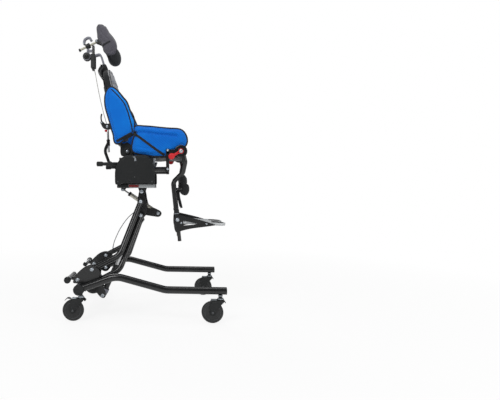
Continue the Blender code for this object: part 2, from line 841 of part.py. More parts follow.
cut(lift_cylinder, rod_bore, pin_bore)
kept(hung(lift_cylinder, lift_foot), black, 0.4, 0.35)

rod_start = lift_barrel_length + lift_collar_length - lift_rod_overlap
head_start = lift_length - lift_head_length
lift_rod = turned(
    "lift_rod", lift_base + lift_way * rod_start, lift_way,
    (
        (0, lift_rod_radius), (head_start - rod_start, lift_rod_radius),
        (head_start - rod_start, lift_head_radius),
        (lift_length - rod_start - lift_tip_length, lift_head_radius),
        (lift_length - rod_start - lift_tip_length / 2, lift_tip_radius),
        (lift_length - rod_start, lift_tip_radius),
    ),
    rod_sides,
)
wide = 2 * lift_head_radius
for _, side in sides:
    middle = place(lift_head, side * (lift_head_half + wide / 2))
    path = [middle - lift_way * 2 * wide, middle + lift_way * 2 * wide]
    cut(lift_rod, swept("flat", path, bar_section(wide, 2 * wide), smooth=False))
kept(hung(lift_rod, lift_foot), steel, 0.9, 0.3)

# Tilt spring
spring_base = place(foot_bolt, spring_half)
spring_reach = place(spring_eye, spring_half) - spring_base
spring_length = spring_reach.length
spring_way = spring_reach.normalized()
tube_total = spring_tube_length + spring_cap_length
tilt_tube = turned(
    "tilt_spring_tube", spring_base + spring_way * spring_eye_radius * spring_root_share, spring_way,
    (
        (0, spring_eye_radius), (spring_eye_radius, spring_eye_radius),
        (spring_eye_radius * spring_swell_share, spring_tube_radius),
        (spring_tube_length, spring_tube_radius),
        (spring_tube_length, spring_cap_radius), (tube_total, spring_cap_radius),
    ),
    rod_sides,
)
spring_near = spring_half - spring_eye_width / 2
spring_far = spring_half + spring_eye_width / 2
joined(tilt_tube, across_rod("eye", foot_bolt, spring_near, spring_far, spring_eye_radius, eye_sides))
spring_mouth = tube_total + spring_eye_radius * spring_root_share
rod_bore = turned(
    "bore", spring_base + spring_way * (spring_mouth - spring_rod_overlap - spring_stroke), spring_way,
    ((0, spring_rod_radius + seat_gap), (spring_length, spring_rod_radius + seat_gap)), rod_sides,
)
pin_bore = across_rod(
    "bore", foot_bolt, spring_near - spring_half, spring_far + spring_half, pivot_pin_radius + turn_gap,
)
cut(tilt_tube, rod_bore, pin_bore)
kept(hung(tilt_tube, foot_bolt, spring_half), steel, 0.9, 0.3)

tilt_rod = rod(
    "tilt_spring_rod", spring_base + spring_way * (spring_mouth - spring_rod_overlap),
    spring_base + spring_way * (spring_length - spring_eye_radius / 2), spring_rod_radius,
)
joined(tilt_rod, across_rod("eye", spring_eye, spring_near, spring_far, spring_rod_eye_radius, eye_sides))
cut(tilt_rod, across_rod(
    "bore", spring_eye, spring_near - spring_half, spring_far + spring_half,
    spring_pin_radius + spring_open_gap,
))
kept(hung(tilt_rod, foot_bolt, spring_half), steel, 0.9, 0.25)

# Release cable


def beside_arm(start, finish, share):
    along = (finish - start).normalized()
    aside = Vector((-along.z, 0, along.x)).normalized()
    return start.lerp(finish, share) + aside * (arm_radius + cable_radius + seat_gap)


route = [beside_arm(place(arm_pivot, arm_base_half), place(arm_knee, arm_base_half), cable_start_share)]
for spot, share in zip(cable_route, cable_route_shares):
    route.append(place(spot, arm_top_half + (arm_base_half - arm_top_half) * share))
arm_low, arm_high = place(arm_knee, arm_base_half), place(arm_shoulder, arm_top_half)
route.append(beside_arm(arm_low, arm_high, cable_finish_share))
cable_line = []
for k in range(cable_points + 1):
    span = (len(route) - 1) * k / cable_points
    index = min(int(span), len(route) - 2)
    part = span - index
    before = route[max(index - 1, 0)]
    start, finish = route[index], route[index + 1]
    after = route[min(index + 2, len(route) - 1)]
    lead = (finish - before) / 2
    trail = (after - start) / 2
    bend_a = 2 * part ** 3 - 3 * part ** 2 + 1
    bend_b = part ** 3 - 2 * part ** 2 + part
    bend_c = 3 * part ** 2 - 2 * part ** 3
    bend_d = part ** 3 - part ** 2
    cable_line.append(start * bend_a + lead * bend_b + finish * bend_c + trail * bend_d)
cable_curve = bpy.data.curves.new("release_cable", "CURVE")
cable_curve.dimensions = "3D"
cable_curve.bevel_depth = cable_radius
cable_curve.bevel_resolution = 2
cable_curve.use_fill_caps = True
cable_spline = cable_curve.splines.new("POLY")
cable_spline.points.add(len(cable_line) - 1)
for point, spot in zip(cable_spline.points, cable_line):
    point.co = (*(spot - place(arm_pivot, 0)), 1)
cable = bpy.data.objects.new("release_cable", cable_curve)
cable.location = place(arm_pivot, 0)
bpy.context.scene.collection.objects.link(cable)
kept(cable, pale_grey, 0.0, 0.5)

# Castors
castor_rows = (("rear", rear_castor_x, rear_mount_height), ("front", front_castor_x, front_mount_height))
for row, x, mount in castor_rows:
    for label, side in sides:
        tail = row + "_" + label
        y = side * castor_half
        stem = Vector((x, y, 0))
        fork = turned(
            "castor_fork_" + tail, stem + Vector((0, 0, hood_top - hood_thickness)), Vector((0, 0, 1)),
            (
                (0, collar_radius), (hood_thickness, collar_radius),
                (hood_thickness, stem_radius), (mount - seat_gap - hood_top + hood_thickness, stem_radius),
            ),
            eye_sides,
        )
        outline = [(x + spot[0], wheel_radius + spot[1]) for spot in fork_outline]
        axle = (x - castor_trail, wheel_radius)
        cheek_out = fork_inner_half + fork_cheek
        joined(fork, block(
            "hood",
            (x - castor_trail - collar_radius / 2, y - cheek_out, hood_top - hood_thickness),
            (x + collar_radius / 2, y + cheek_out, hood_top - hood_thickness / 2),
        ))
        for way in (-1, 1):
            joined(fork, plate("cheek", outline, y + way * fork_inner_half, y + way * cheek_out))
        axle_half = cheek_out + fork_cheek / 2
        joined(fork, across_rod("axle", axle, y - axle_half, y + axle_half, axle_radius, eye_sides))
        kept(hung(fork, (x, 0), y), black, 0.1, 0.45)

        tread = wheel_width / 2
        wheel = turned(
            "castor_wheel_" + tail, place(axle, y - tread), Vector((0, 1, 0)),
            (
                (0, wheel_hub_radius), (wheel_recess, wheel_hub_radius + wheel_recess),
                (wheel_recess, wheel_rim_radius), (0, wheel_rim_radius + wheel_recess / 2),
                (0, wheel_radius - tyre_shoulder), (tyre_shoulder, wheel_outer),
                (wheel_width - tyre_shoulder, wheel_outer), (wheel_width, wheel_radius - tyre_shoulder),
                (wheel_width, wheel_rim_radius + wheel_recess / 2),
                (wheel_width - wheel_recess, wheel_rim_radius),
                (wheel_width - wheel_recess, wheel_hub_radius + wheel_recess),
                (wheel_width, wheel_hub_radius),
            ),
            wheel_sides,
        )
        cut(wheel, across_rod("bore", axle, y - wheel_width, y + wheel_width, axle_radius + turn_gap))
        kept(hung(wheel, axle, y), black, 0.0, 0.6)

# Brake pedals over the rear wheels
for label, side in sides:
    y = side * castor_half
    pivot = (rear_castor_x + brake_pivot[0], wheel_radius + brake_pivot[1] + brake_lift)
    tip = (pivot[0] - brake_length, pivot[1] - brake_rise * 2)
    bend_spot = (pivot[0] - brake_length * brake_bend_share, pivot[1] + brake_rise)
    brake = swept(
        "castor_brake_" + label, [place(spot, y) for spot in (pivot, bend_spot, tip)],
        bar_section(brake_width, brake_thickness), smooth=False,
    )
    kept(hung(brake, pivot, y), black, 0.1, 0.5)

# Foot pedals: lever, cross tube and end cap
for label, side in sides:
    lever_half = side * arm_base_half
    pedal = swept(
        "foot_pedal_" + label, [place(pedal_pivot, lever_half), place(pedal_spot, lever_half)],
        bar_section(pedal_arm_thickness, pedal_arm_width), smooth=False,
    )
    near = lever_half - side * pedal_arm_thickness / 2
    far = lever_half + side * pedal_arm_thickness / 2
    joined(pedal, across_rod("eye", pedal_pivot, near, far, pedal_eye_radius, eye_sides))
    cut(pedal, across_rod("bore", pedal_pivot, 0, 2 * lever_half, pivot_pin_radius + turn_gap))
    reach = pedal_outer_half - pedal_inner_half
    joined(pedal, turned(
        "tube", place(pedal_spot, side * pedal_inner_half), Vector((0, side, 0)),
        (
            (0, pedal_tube_radius), (reach - pedal_cap_length, pedal_tube_radius),
            (reach - pedal_cap_length, pedal_cap_radius), (reach - cross_tube_rim, pedal_cap_radius),
            (reach, pedal_cap_radius - cross_tube_rim),
        ),
        rod_sides,
    ))
    kept(hung(pedal, pedal_pivot, lever_half), steel, 0.8, 0.35)

# Seat tray with the lugs of the tilt hinge and the tilt spring
tray = block("seat_tray", (tray_back, -tray_half, tray_low), (tray_front, tray_half, tray_high))
edged(tray, tray_edge, 1)
tilt_lug_near = carrier_outer_half + turn_gap
for _, side in sides:
    inner = side * tilt_lug_near
    outer = side * (tilt_lug_near + tilt_lug_thickness)
    joined(tray, plate("lug", tilt_lug_outline, inner, outer))
    pin_start = side * (carrier_inner_half + turn_gap)
    joined(tray, bolt("pin", tilt_pivot, pin_start, outer, 1))
for start, finish in (
    (spring_half - spring_cheek_gap - tilt_lug_thickness, spring_half - spring_cheek_gap),
    (spring_half + spring_cheek_gap, spring_half + spring_cheek_gap + tilt_lug_thickness),
):
    joined(tray, plate("lug", spring_lug_outline, start, finish))
joined(tray, bolt(
    "pin", spring_eye, spring_half + spring_cheek_gap + tilt_lug_thickness / 2,
    spring_half - spring_cheek_gap - tilt_lug_thickness, 1, spring_pin_radius,
))
kept(hung(tray, tilt_pivot), steel, 0.6, 0.4)

# Side covers
for label, side in sides:
    cover_outer = side * (cover_inner_half + cover_thickness)
    cover = plate("side_cover_" + label, cover_outline, side * cover_inner_half, cover_outer)
    edged(cover, cover_edge)
    kept(hung(cover, tilt_pivot), black, 0.0, 0.45)

# Seat frame: side plates, side tubes, cross tubes and front posts
frame = None
strut_lug_near = strut_bar_width / 2 + turn_gap
strut_lug_far = strut_lug_near + ear_thickness
for _, side in sides:
    tube = rod(
        "seat_frame", Vector((frame_tube_back, side * frame_tube_half, frame_tube_height)),
        Vector((frame_tube_front, side * frame_tube_half, frame_tube_height)), frame_tube_radius,
    )
    frame = joined(frame, tube) if frame else tube
    plate_middle = side * frame_tube_half
    joined(frame, block(
        "plate", (frame_plate_back, plate_middle - frame_plate_thickness / 2, frame_plate_low),
        (frame_plate_front, plate_middle + frame_plate_thickness / 2, frame_plate_high),
    ))
    post_a = side * (frame_tube_half - frame_tube_radius / 2)
    post_b = side * (post_inner_half + post_thickness)
    joined(frame, block(
        "foot", (post_back, min(post_a, post_b), frame_tube_height - frame_tube_radius),
        (post_front, max(post_a, post_b), frame_tube_height + frame_tube_radius),
    ))
    joined(frame, block(
        "post", (post_back, min(side * post_inner_half, post_b), post_low),
        (post_front, max(side * post_inner_half, post_b), post_high),
    ))
    flange_high = pan_low - seat_gap
    flange_ends = sorted((side * flange_inner_half, side * frame_tube_half))
    joined(frame, block(
        "flange", (pan_back, flange_ends[0], flange_high - flange_thickness),
        (frame_plate_front, flange_ends[1], flange_high),
    ))
    knee_middle = side * (post_inner_half + post_thickness / 2)
    knee_root = place((post_back, knee_pivot[1] - knee_arm_drop), knee_middle)
    knee_bar = bar_section(post_thickness, knee_arm_depth)
    joined(frame, swept("knee_arm", [knee_root, place(knee_pivot, knee_middle)], knee_bar, smooth=False))
    joined(frame, across_rod("boss", knee_pivot, side * post_inner_half, post_b, knee_boss_radius, eye_sides))
    knee_pin_tip = side * (knee_inner_half + knee_disc_thickness + turn_gap + lever_thickness + turn_gap)
    joined(frame, bolt("pin", knee_pivot, knee_middle, knee_pin_tip, 1, knee_pin_radius))
    if side < 0:
        for x in frame_cross_x:
            joined(frame, across_rod(
                "cross", (x, frame_tube_height), -frame_tube_half, frame_tube_half, frame_cross_radius,
            ))
for start, finish in ((-strut_lug_far, -strut_lug_near), (strut_lug_near, strut_lug_far)):
    joined(frame, plate("lug", strut_lug_outline, start, finish))
joined(frame, across_rod("pin", strut_foot, -strut_lug_far, strut_lug_far, strut_pin_radius))
kept(hung(frame, tilt_pivot), black, 0.3, 0.4)

# Push handles
for label, side in sides:
    groove_pitch = handle_grip_length / (2 * handle_grooves + 1)
    profile = []
    for k in range(2 * handle_grooves + 1):
        radius = handle_grip_radius - (handle_groove if k % 2 else 0)
        profile += [(k * groove_pitch, radius), ((k + 1) * groove_pitch, radius)]
    profile += [(handle_grip_length, handle_rod_radius), (handle_front - handle_back, handle_rod_radius)]
    handle = turned(
        "push_handle_" + label, Vector((handle_back, side * handle_half, handle_height)), Vector((1, 0, 0)),
        profile, rod_sides,
    )
    kept(hung(handle, tilt_pivot), black, 0.1, 0.5)

# Seat pan with hinge ears and discs
pan = block("seat_shell", (pan_back, -pan_half, pan_low), (pan_front, pan_half, pan_high))
edged(pan, tray_edge, 1)
ear_outer = seat_ear_inner_half + ear_thickness
for _, side in sides:
    joined(pan, plate("ear", seat_ear_outline, side * seat_ear_inner_half, side * ear_outer))
    joined(pan, turned(
        "disc", place(hip_pivot, side * ear_outer), Vector((0, side, 0)),
        ((-ear_thickness / 2, hip_disc_radius), (hip_disc_height, hip_disc_radius * hip_disc_rim_share)),
        eye_sides,
    ))
    joined(pan, across_rod(
        "pin", hip_pivot, side * (seat_ear_inner_half - 2 * ear_thickness),
        side * (seat_ear_inner_half + ear_thickness / 2), hip_pin_radius, eye_sides,
    ))
kept(hung(pan, tilt_pivot), black, 0.0, 0.5)

# Back shell: leaning panel, wider below, with ears inside those of the seat
lean_sin, lean_cos = math.sin(back_lean), math.cos(back_lean)


def back_spot(height, forward):
    rise = height - back_shell_low
    return (back_rear_at_low - rise * math.tan(back_lean) + forward, height)


shell_rings = []
for height, half in (
    (back_shell_low, back_shell_half), (back_narrow_height, back_shell_half),
    (back_narrow_height + back_narrow_run, back_shell_top_half), (back_shell_high, back_shell_top_half),
    (back_shell_high + back_shell_thickness, back_shell_top_half * back_crown_share),
):
    rear = back_spot(height, 0)
    front = back_spot(height, back_shell_thickness / lean_cos)
    shell_rings.append([place(rear, -half), place(front, -half), place(front, half), place(rear, half)])
back_shell = edged(from_rings("back_shell", shell_rings), tray_edge, 1)
back_ear_outer = seat_ear_inner_half - turn_gap
for _, side in sides:
    ear = plate("ear", back_shell_outline, side * (back_ear_outer - ear_thickness), side * back_ear_outer)
    joined(back_shell, ear)
    near = side * (back_ear_outer - 4 * ear_thickness)
    far = side * (back_ear_outer + 4 * ear_thickness)
    cut(back_shell, across_rod("bore", hip_pivot, near, far, hip_pin_radius + turn_gap, eye_sides))
for _, side in sides:
    near = side * (strut_bar_width / 2 + turn_gap)
    joined(back_shell, plate("cheek", recline_lug_outline, near, near + side * ear_thickness))
lug_pin_half = (strut_bar_width + ear_thickness) / 2
for spot, radius in ((rod_end, strut_pin_radius), (lever_route[0], lever_pin_radius)):
    joined(back_shell, across_rod("pin", spot, -lug_pin_half, lug_pin_half, radius))
neck_path = [place(spot, 0) for spot in neck_bracket_route]
neck = swept("neck", neck_path, bar_section(neck_bar_width, neck_bar_depth), smooth=False)
joined(back_shell, neck)
socket_half = neck_socket_width / 2
socket = block(
    "socket", (neck_socket_x - neck_socket_depth / 2, -socket_half, neck_socket_low),
    (neck_socket_x + neck_socket_depth / 2, socket_half, neck_socket_high),
)
slot_depth = neck_post_depth / 2 + turn_gap
slot_half = neck_post_width / 2 + turn_gap
slot = block(
    "slot", (neck_socket_x - slot_depth, -slot_half, neck_post_low - neck_bar_width),
    (neck_socket_x + slot_depth, slot_half, neck_post_high + neck_bar_width),
)
joined(back_shell, socket)
cut(back_shell, slot)
kept(hung(back_shell, hip_pivot), black, 0.0, 0.5)

# Recline strut, a bowed bar that carries the sleeve of the lockable rod
strut_way = (place(rod_end, 0) - place(strut_foot, 0)).normalized()


def on_strut_line(height):
    foot = place(strut_foot, 0)
    return foot + strut_way * (height - foot.z) / strut_way.z


sleeve_low = on_strut_line(strut_sleeve_low)
sleeve_high = on_strut_line(strut_sleeve_high)
strut_corners = [place(strut_foot, 0), place(strut_bow, 0), (sleeve_low + sleeve_high) / 2]
strut = swept(
    "recline_strut", filleted(strut_corners, strut_bend), bar_section(strut_bar_width, strut_bar_depth),
    smooth=False,
)
eye_half = strut_bar_width / 2
joined(strut, across_rod("eye", strut_foot, -eye_half, eye_half, strut_lug_radius, eye_sides))
joined(strut, rod("sleeve", sleeve_low, sleeve_high, strut_sleeve_radius, eye_sides))
cut(strut, rod(
    "bore", on_strut_line(strut_bore_low), on_strut_line(rod_end[1]),
    recline_rod_radius + seat_gap,
))
cut(strut, across_rod(
    "bore", strut_foot, -strut_bar_width, strut_bar_width, strut_pin_radius + turn_gap,
))
kept(hung(strut, strut_foot), black, 0.2, 0.4)

rod_low = on_strut_line(strut_sleeve_high - recline_rod_overlap)
recline_rod = rod("recline_rod", rod_low, place(rod_end, 0), recline_rod_radius)
joined(recline_rod, across_rod("eye", rod_end, -eye_half, eye_half, strut_lug_radius, eye_sides))
knob_start = on_strut_line(rod_end[1] - strut_lug_radius * 2)
joined(recline_rod, turned(
    "knob", knob_start - Vector((knob_length, 0, 0)), Vector((1, 0, 0)),
    (
        (0, knob_radius * knob_tip_share), (knob_length * knob_round_share, knob_radius),
        (knob_length, knob_radius),
    ),
    rod_sides,
))
open_bore = strut_pin_radius + recline_open_gap
cut(recline_rod, across_rod("bore", rod_end, -strut_bar_width, strut_bar_width, open_bore))
kept(hung(recline_rod, strut_foot), steel, 0.9, 0.25)

lever = swept(
    "recline_lever", filleted([place(spot, 0) for spot in lever_route], lever_depth * 2, 2),
    bar_section(lever_width, lever_depth), smooth=False,
)
joined(lever, across_rod("eye", lever_route[0], -lever_width / 2, lever_width / 2, lever_eye_radius))
cut(lever, across_rod("bore", lever_route[0], -lever_width, lever_width, lever_pin_radius + turn_gap))
kept(hung(lever, lever_route[0]), black, 0.1, 0.5)


def cushion(name, origin, length_way, width_way, rise_way, size):
    # Stuffed block: plan outline with rounded corners, drawn in at the seams and crowned on top.
    length, width, thickness = size
    plan = []
    for corner in range(4):
        for k in range(cushion_corner_steps + 1):
            angle = math.pi / 2 * (corner + k / cushion_corner_steps)
            facing = math.pi / 2 * corner + math.pi / 4
            centre_u = math.copysign(length / 2 - cushion_corner, math.cos(facing))
            centre_v = math.copysign(width / 2 - cushion_corner, math.sin(facing))
            u = centre_u + cushion_corner * math.cos(angle)
            plan.append((u, centre_v + cushion_corner * math.sin(angle)))
    rings = []
    for inset, height in cushion_profile_shares:
        scale_u = 1 - 2 * inset * cushion_edge / length
        scale_v = 1 - 2 * inset * cushion_edge / width
        rings.append([
            origin + length_way * (u * scale_u) + width_way * (v * scale_v) + rise_way * (thickness * height)
            for u, v in plan
        ])
    return from_rings(name, rings, smooth=True)


# Cushions
seat_cushion = cushion(
    "seat_cushion",
    Vector(((seat_cushion_back + seat_cushion_front) / 2, 0, pan_high + seat_gap)),
    Vector((1, 0, 0)), Vector((0, 1, 0)), Vector((0, 0, 1)),
    (seat_cushion_front - seat_cushion_back, 2 * seat_cushion_half, seat_cushion_thickness),
)
kept(hung(seat_cushion, tilt_pivot), blue, 0.0, 0.9)
back_up = Vector((-lean_sin, 0, lean_cos))
back_out = Vector((lean_cos, 0, lean_sin))
back_middle = (back_cushion_low + back_cushion_high) / 2
back_cushion = cushion(
    "back_cushion",
    place(back_spot(back_middle, (back_shell_thickness + seat_gap) / lean_cos), 0),
    back_up, Vector((0, 1, 0)), back_out,
    ((back_cushion_high - back_cushion_low) / lean_cos, 2 * back_cushion_half, back_cushion_thickness),
)
kept(hung(back_cushion, hip_pivot), dark_grey, 0.0, 0.9)

# Side wings
for label, side in sides:
    near = side * wing_inner_half
    far = side * (wing_inner_half + wing_thickness)
    wing = pillow("seat_wing_" + label, seat_wing_outline, near, far)
    kept(hung(wing, tilt_pivot), blue, 0.0, 0.9)
    wing = pillow("back_wing_" + label, back_wing_outline, near, far)
    kept(hung(wing, hip_pivot), blue, 0.0, 0.9)

# Head support: height post, depth bar with clamp and cam lever, padded wrap
post = block(
    "head_post", (neck_socket_x - neck_post_depth / 2, -neck_post_width / 2, neck_post_low),
    (neck_socket_x + neck_post_depth / 2, neck_post_width / 2, neck_post_high),
)
kept(hung(edged(post, neck_post_edge, 1), (neck_socket_x, neck_post_low)), black, 0.3, 0.4)

bar_start, bar_finish = place(bar_back, 0), place(bar_front, 0)
bar_way = (bar_finish - bar_start).normalized()
bar_length = (bar_finish - bar_start).length
clamp_middle = bar_start + bar_way * bar_length * clamp_bar_share
clamp = across_rod(
    "head_clamp", clamp_disc_spot, -clamp_disc_half, clamp_disc_half, clamp_disc_radius, eye_sides,
)
stem_x = clamp_middle.x
stem_low = Vector((stem_x, 0, clamp_disc_spot[1]))
joined(clamp, rod("stem", stem_low, Vector((stem_x, 0, clamp_middle.z)), clamp_stem_radius, eye_sides))
joined(clamp, rod(
    "block", clamp_middle - bar_way * clamp_block_length / 2, clamp_middle + bar_way * clamp_block_length / 2,
    clamp_block_radius, eye_sides,
))
ear_low = clamp_disc_spot[1] + clamp_disc_radius + clamp_stem_radius / 4
ear_front = neck_socket_x - neck_post_depth / 2 - seat_gap
joined(clamp, block(
    "ear", (stem_x, -clamp_stem_radius / 2, ear_low),
    (ear_front, clamp_stem_radius / 2, ear_low + 2 * clamp_stem_radius),
))
cut(clamp, rod("bore", bar_start - bar_way * bar_length, bar_finish, bar_radius + seat_gap, eye_sides))
kept(hung(clamp, (neck_socket_x, neck_post_low)), black, 0.3, 0.4)

bar = turned(
    "head_bar", bar_start - bar_way * bar_cap_length, bar_way,
    (
        (0, bar_cap_radius), (bar_cap_length, bar_cap_radius),
        (bar_cap_length, bar_radius), (bar_length + bar_cap_length, bar_radius),
    ),
    rod_sides,
)
joined(bar, across_rod("eye", bar_front, -bar_eye_half, bar_eye_half, bar_eye_radius, eye_sides))
cut(bar, across_rod("bore", bar_front, -2 * bar_eye_half, 2 * bar_eye_half, bar_pin_radius + turn_gap))
kept(hung(bar, bar_front), steel, 0.9, 0.3)

bar_up = Vector((-bar_way.z, 0, bar_way.x))
cam_rise = clamp_block_radius + cam_depth / 2 + seat_gap
cam_start = clamp_middle + bar_up * cam_rise - bar_way * clamp_block_length / 2
cam_way = (bar_way + bar_up).normalized()
cam_bend = cam_start + cam_way * cam_length * cam_bend_share + bar_way * cam_depth * cam_bulge_share
cam = swept(
    "head_cam_lever", [cam_start, cam_bend, cam_start + cam_way * cam_length],
    bar_section(cam_width, cam_depth), smooth=False,
)
cam_at = (cam_start.x, cam_start.z)
joined(cam, across_rod("eye", cam_at, -cam_width / 2, cam_width / 2, cam_depth / 2, eye_sides))
kept(hung(cam, cam_at), dark_grey, 0.2, 0.4)

pad = pillow("head_pad", head_outline, -head_half, -head_wing_inner_half, 4)
joined(pad, pillow("wing", head_outline, head_wing_inner_half, head_half, 4))
wall_out = (head_wall * math.cos(head_wall_turn), head_wall * math.sin(head_wall_turn))
wall = list(head_rear_spots)
wall += [(x + wall_out[0], z + wall_out[1]) for x, z in reversed(head_rear_spots)]
bridge_pad = from_rings("wall", [
    [place(spot, y) for spot in wall]
    for y in (-(head_half + head_wing_inner_half) / 2, (head_half + head_wing_inner_half) / 2)
])
joined(pad, edged(bridge_pad, head_wall_edge))
for _, side in sides:
    near = side * (bar_eye_half + turn_gap)
    joined(pad, plate("lug", head_lug_outline, near, near + side * ear_thickness))
joined(pad, across_rod(
    "pin", bar_front, -bar_eye_half - ear_thickness / 2, bar_eye_half + ear_thickness / 2, bar_pin_radius,
))
kept(hung(pad, bar_front), dark_grey, 0.0, 0.8)

# Leg supports
for label, side in sides:
    disc_near = side * knee_inner_half
    hanger = turned(
        "leg_hanger_" + label, place(knee_pivot, disc_near), Vector((0, side, 0)),
        (
            (0, knee_disc_radius), (knee_disc_thickness - cross_tube_rim, knee_disc_radius),
            (knee_disc_thickness, knee_disc_radius - cross_tube_rim),
        ),
        wheel_sides,
    )
    corners = [place(spot, side * half) for spot, half in zip(leg_route, leg_route_halves)]
    joined(hanger, swept("tube", filleted(corners, leg_bend, 4), round_section(leg_radius)))
    leg_low = corners[-1]
    leg_way = (corners[-1] - corners[-2]).normalized()
    bore_reach = leg_way * leg_bore_depth
    cut(hanger, rod("bore", leg_low - bore_reach, leg_low + bore_reach, leg_bore_radius, tube_sides))
    knee_bore = knee_pin_radius + turn_gap
    cut(hanger, across_rod("bore", knee_pivot, side * post_inner_half, 2 * disc_near, knee_bore))
    kept(hung(hanger, knee_pivot), black, 0.2, 0.4)

    slider_length = slider_overlap + (leg_low.z - slider_low) / -leg_way.z
    slider = turned(
        "leg_slider_" + label, leg_low - leg_way * slider_overlap, leg_way,
        (
            (0, slider_radius), (slider_overlap + slider_gap, slider_radius),
            (slider_overlap + slider_gap, slider_ring_radius),
            (slider_overlap + slider_gap + slider_ring_length, slider_ring_radius),
            (slider_overlap + slider_gap + slider_ring_length, slider_radius),
            (slider_length, slider_radius),
        ),
        tube_sides,
    )
    foot_spot = leg_low + leg_way * ((leg_low.z - foot_pivot[1]) / -leg_way.z)
    foot_at = (foot_spot.x, foot_spot.z)
    near = side * (leg_route_halves[-1] - 2 * leg_radius)
    far = side * (leg_route_halves[-1] + 2 * leg_radius)
    cut(slider, across_rod("bore", foot_at, near, far, pivot_pin_radius + turn_gap))
    kept(hung(slider, foot_at), steel, 0.8, 0.35)

    near = side * foot_bracket_inner_half
    far = side * (foot_bracket_inner_half + foot_bracket_thickness)
    bracket = plate("foot_bracket_" + label, foot_bracket_outline, near, far)
    window_near = near - side * foot_bracket_thickness
    window_far = far + side * foot_bracket_thickness
    cut(bracket, plate("window", foot_window_outline, window_near, window_far))
    pin_start = side * (leg_route_halves[-1] - slider_radius - pivot_pin_radius)
    joined(bracket, bolt("pin", foot_at, pin_start, far, 1))
    kept(hung(bracket, foot_at), black, 0.2, 0.4)

    lever_near = side * (knee_inner_half + knee_disc_thickness + turn_gap)
    lever_far = lever_near + side * lever_thickness
    reach = place(lever_big_end, 0) - place(knee_pivot, 0)
    lever = across_rod(
        "knee_lever_" + label, knee_pivot, lever_near, lever_far, lever_disc_radius, eye_sides,
    )
    joined(lever, across_rod("end", lever_big_end, lever_near, lever_far, lever_big_radius, eye_sides))
    lever_root = place(knee_pivot, (lever_near + lever_far) / 2)
    lever_end = place(lever_big_end, (lever_near + lever_far) / 2)
    lever_bar = bar_section(lever_thickness * lever_waist_share, 2 * lever_neck)
    joined(lever, swept("arm", [lever_root, lever_end], lever_bar, smooth=False))
    slot_start = lever_root - reach.normalized() * 2 * lever_disc_radius
    slot_finish = lever_root + reach.normalized() * lever_slot_length
    slot_bar = bar_section(4 * lever_thickness, 2 * lever_slot_half)
    cut(lever, swept("slot", [slot_start, slot_finish], slot_bar, smooth=False))
    cut(lever, across_rod("bore", knee_pivot, disc_near, 2 * disc_near, knee_bore))
    kept(hung(lever, knee_pivot), red, 0.0, 0.35)

# Calf support on a cross bar
calf = pillow("calf_support", calf_outline, -calf_half, calf_half, 4)
calf_bar_route = [
    place(calf_bar_end, -leg_route_halves[-1]), place(calf_bar, -calf_bar_half),
    place(calf_bar, calf_bar_half), place(calf_bar_end, leg_route_halves[-1]),
]
calf_path = filleted(calf_bar_route, calf_bar_bend, 3)
joined(calf, swept("bar", calf_path, round_section(calf_bar_radius, rod_sides)))
for _, side in sides:
    corners = [place(spot, side * half) for spot, half in zip(leg_route, leg_route_halves)]
    cut(calf, swept("around", filleted(corners, leg_bend, 4), round_section(leg_radius + seat_gap)))
kept(hung(calf, knee_pivot), black, 0.0, 0.8)

# Footplate with two lobes in front
plan = []
plate_reach = plate_tip_x - plate_back_x
for share, sideways in plate_outline_shares:
    plan.append((plate_reach * share, plate_half * sideways))
foot_rings = []
for drop in (0, plate_thickness):
    foot_rings.append([
        Vector((plate_back_x + u, v, plate_height_back - u * math.tan(plate_slope) - drop)) for u, v in plan
    ])
footplate = edged(from_rings("footplate", foot_rings), plate_edge, 1)
kept(hung(footplate, foot_pivot), pale_grey, 0.3, 0.4)

# The row's zero lies under the middle of the whole object
rearmost = rear_castor_x - castor_trail - wheel_outer
for item in all_items:
    item.location.x -= (plate_tip_x + rearmost) / 2
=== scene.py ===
import json
import math

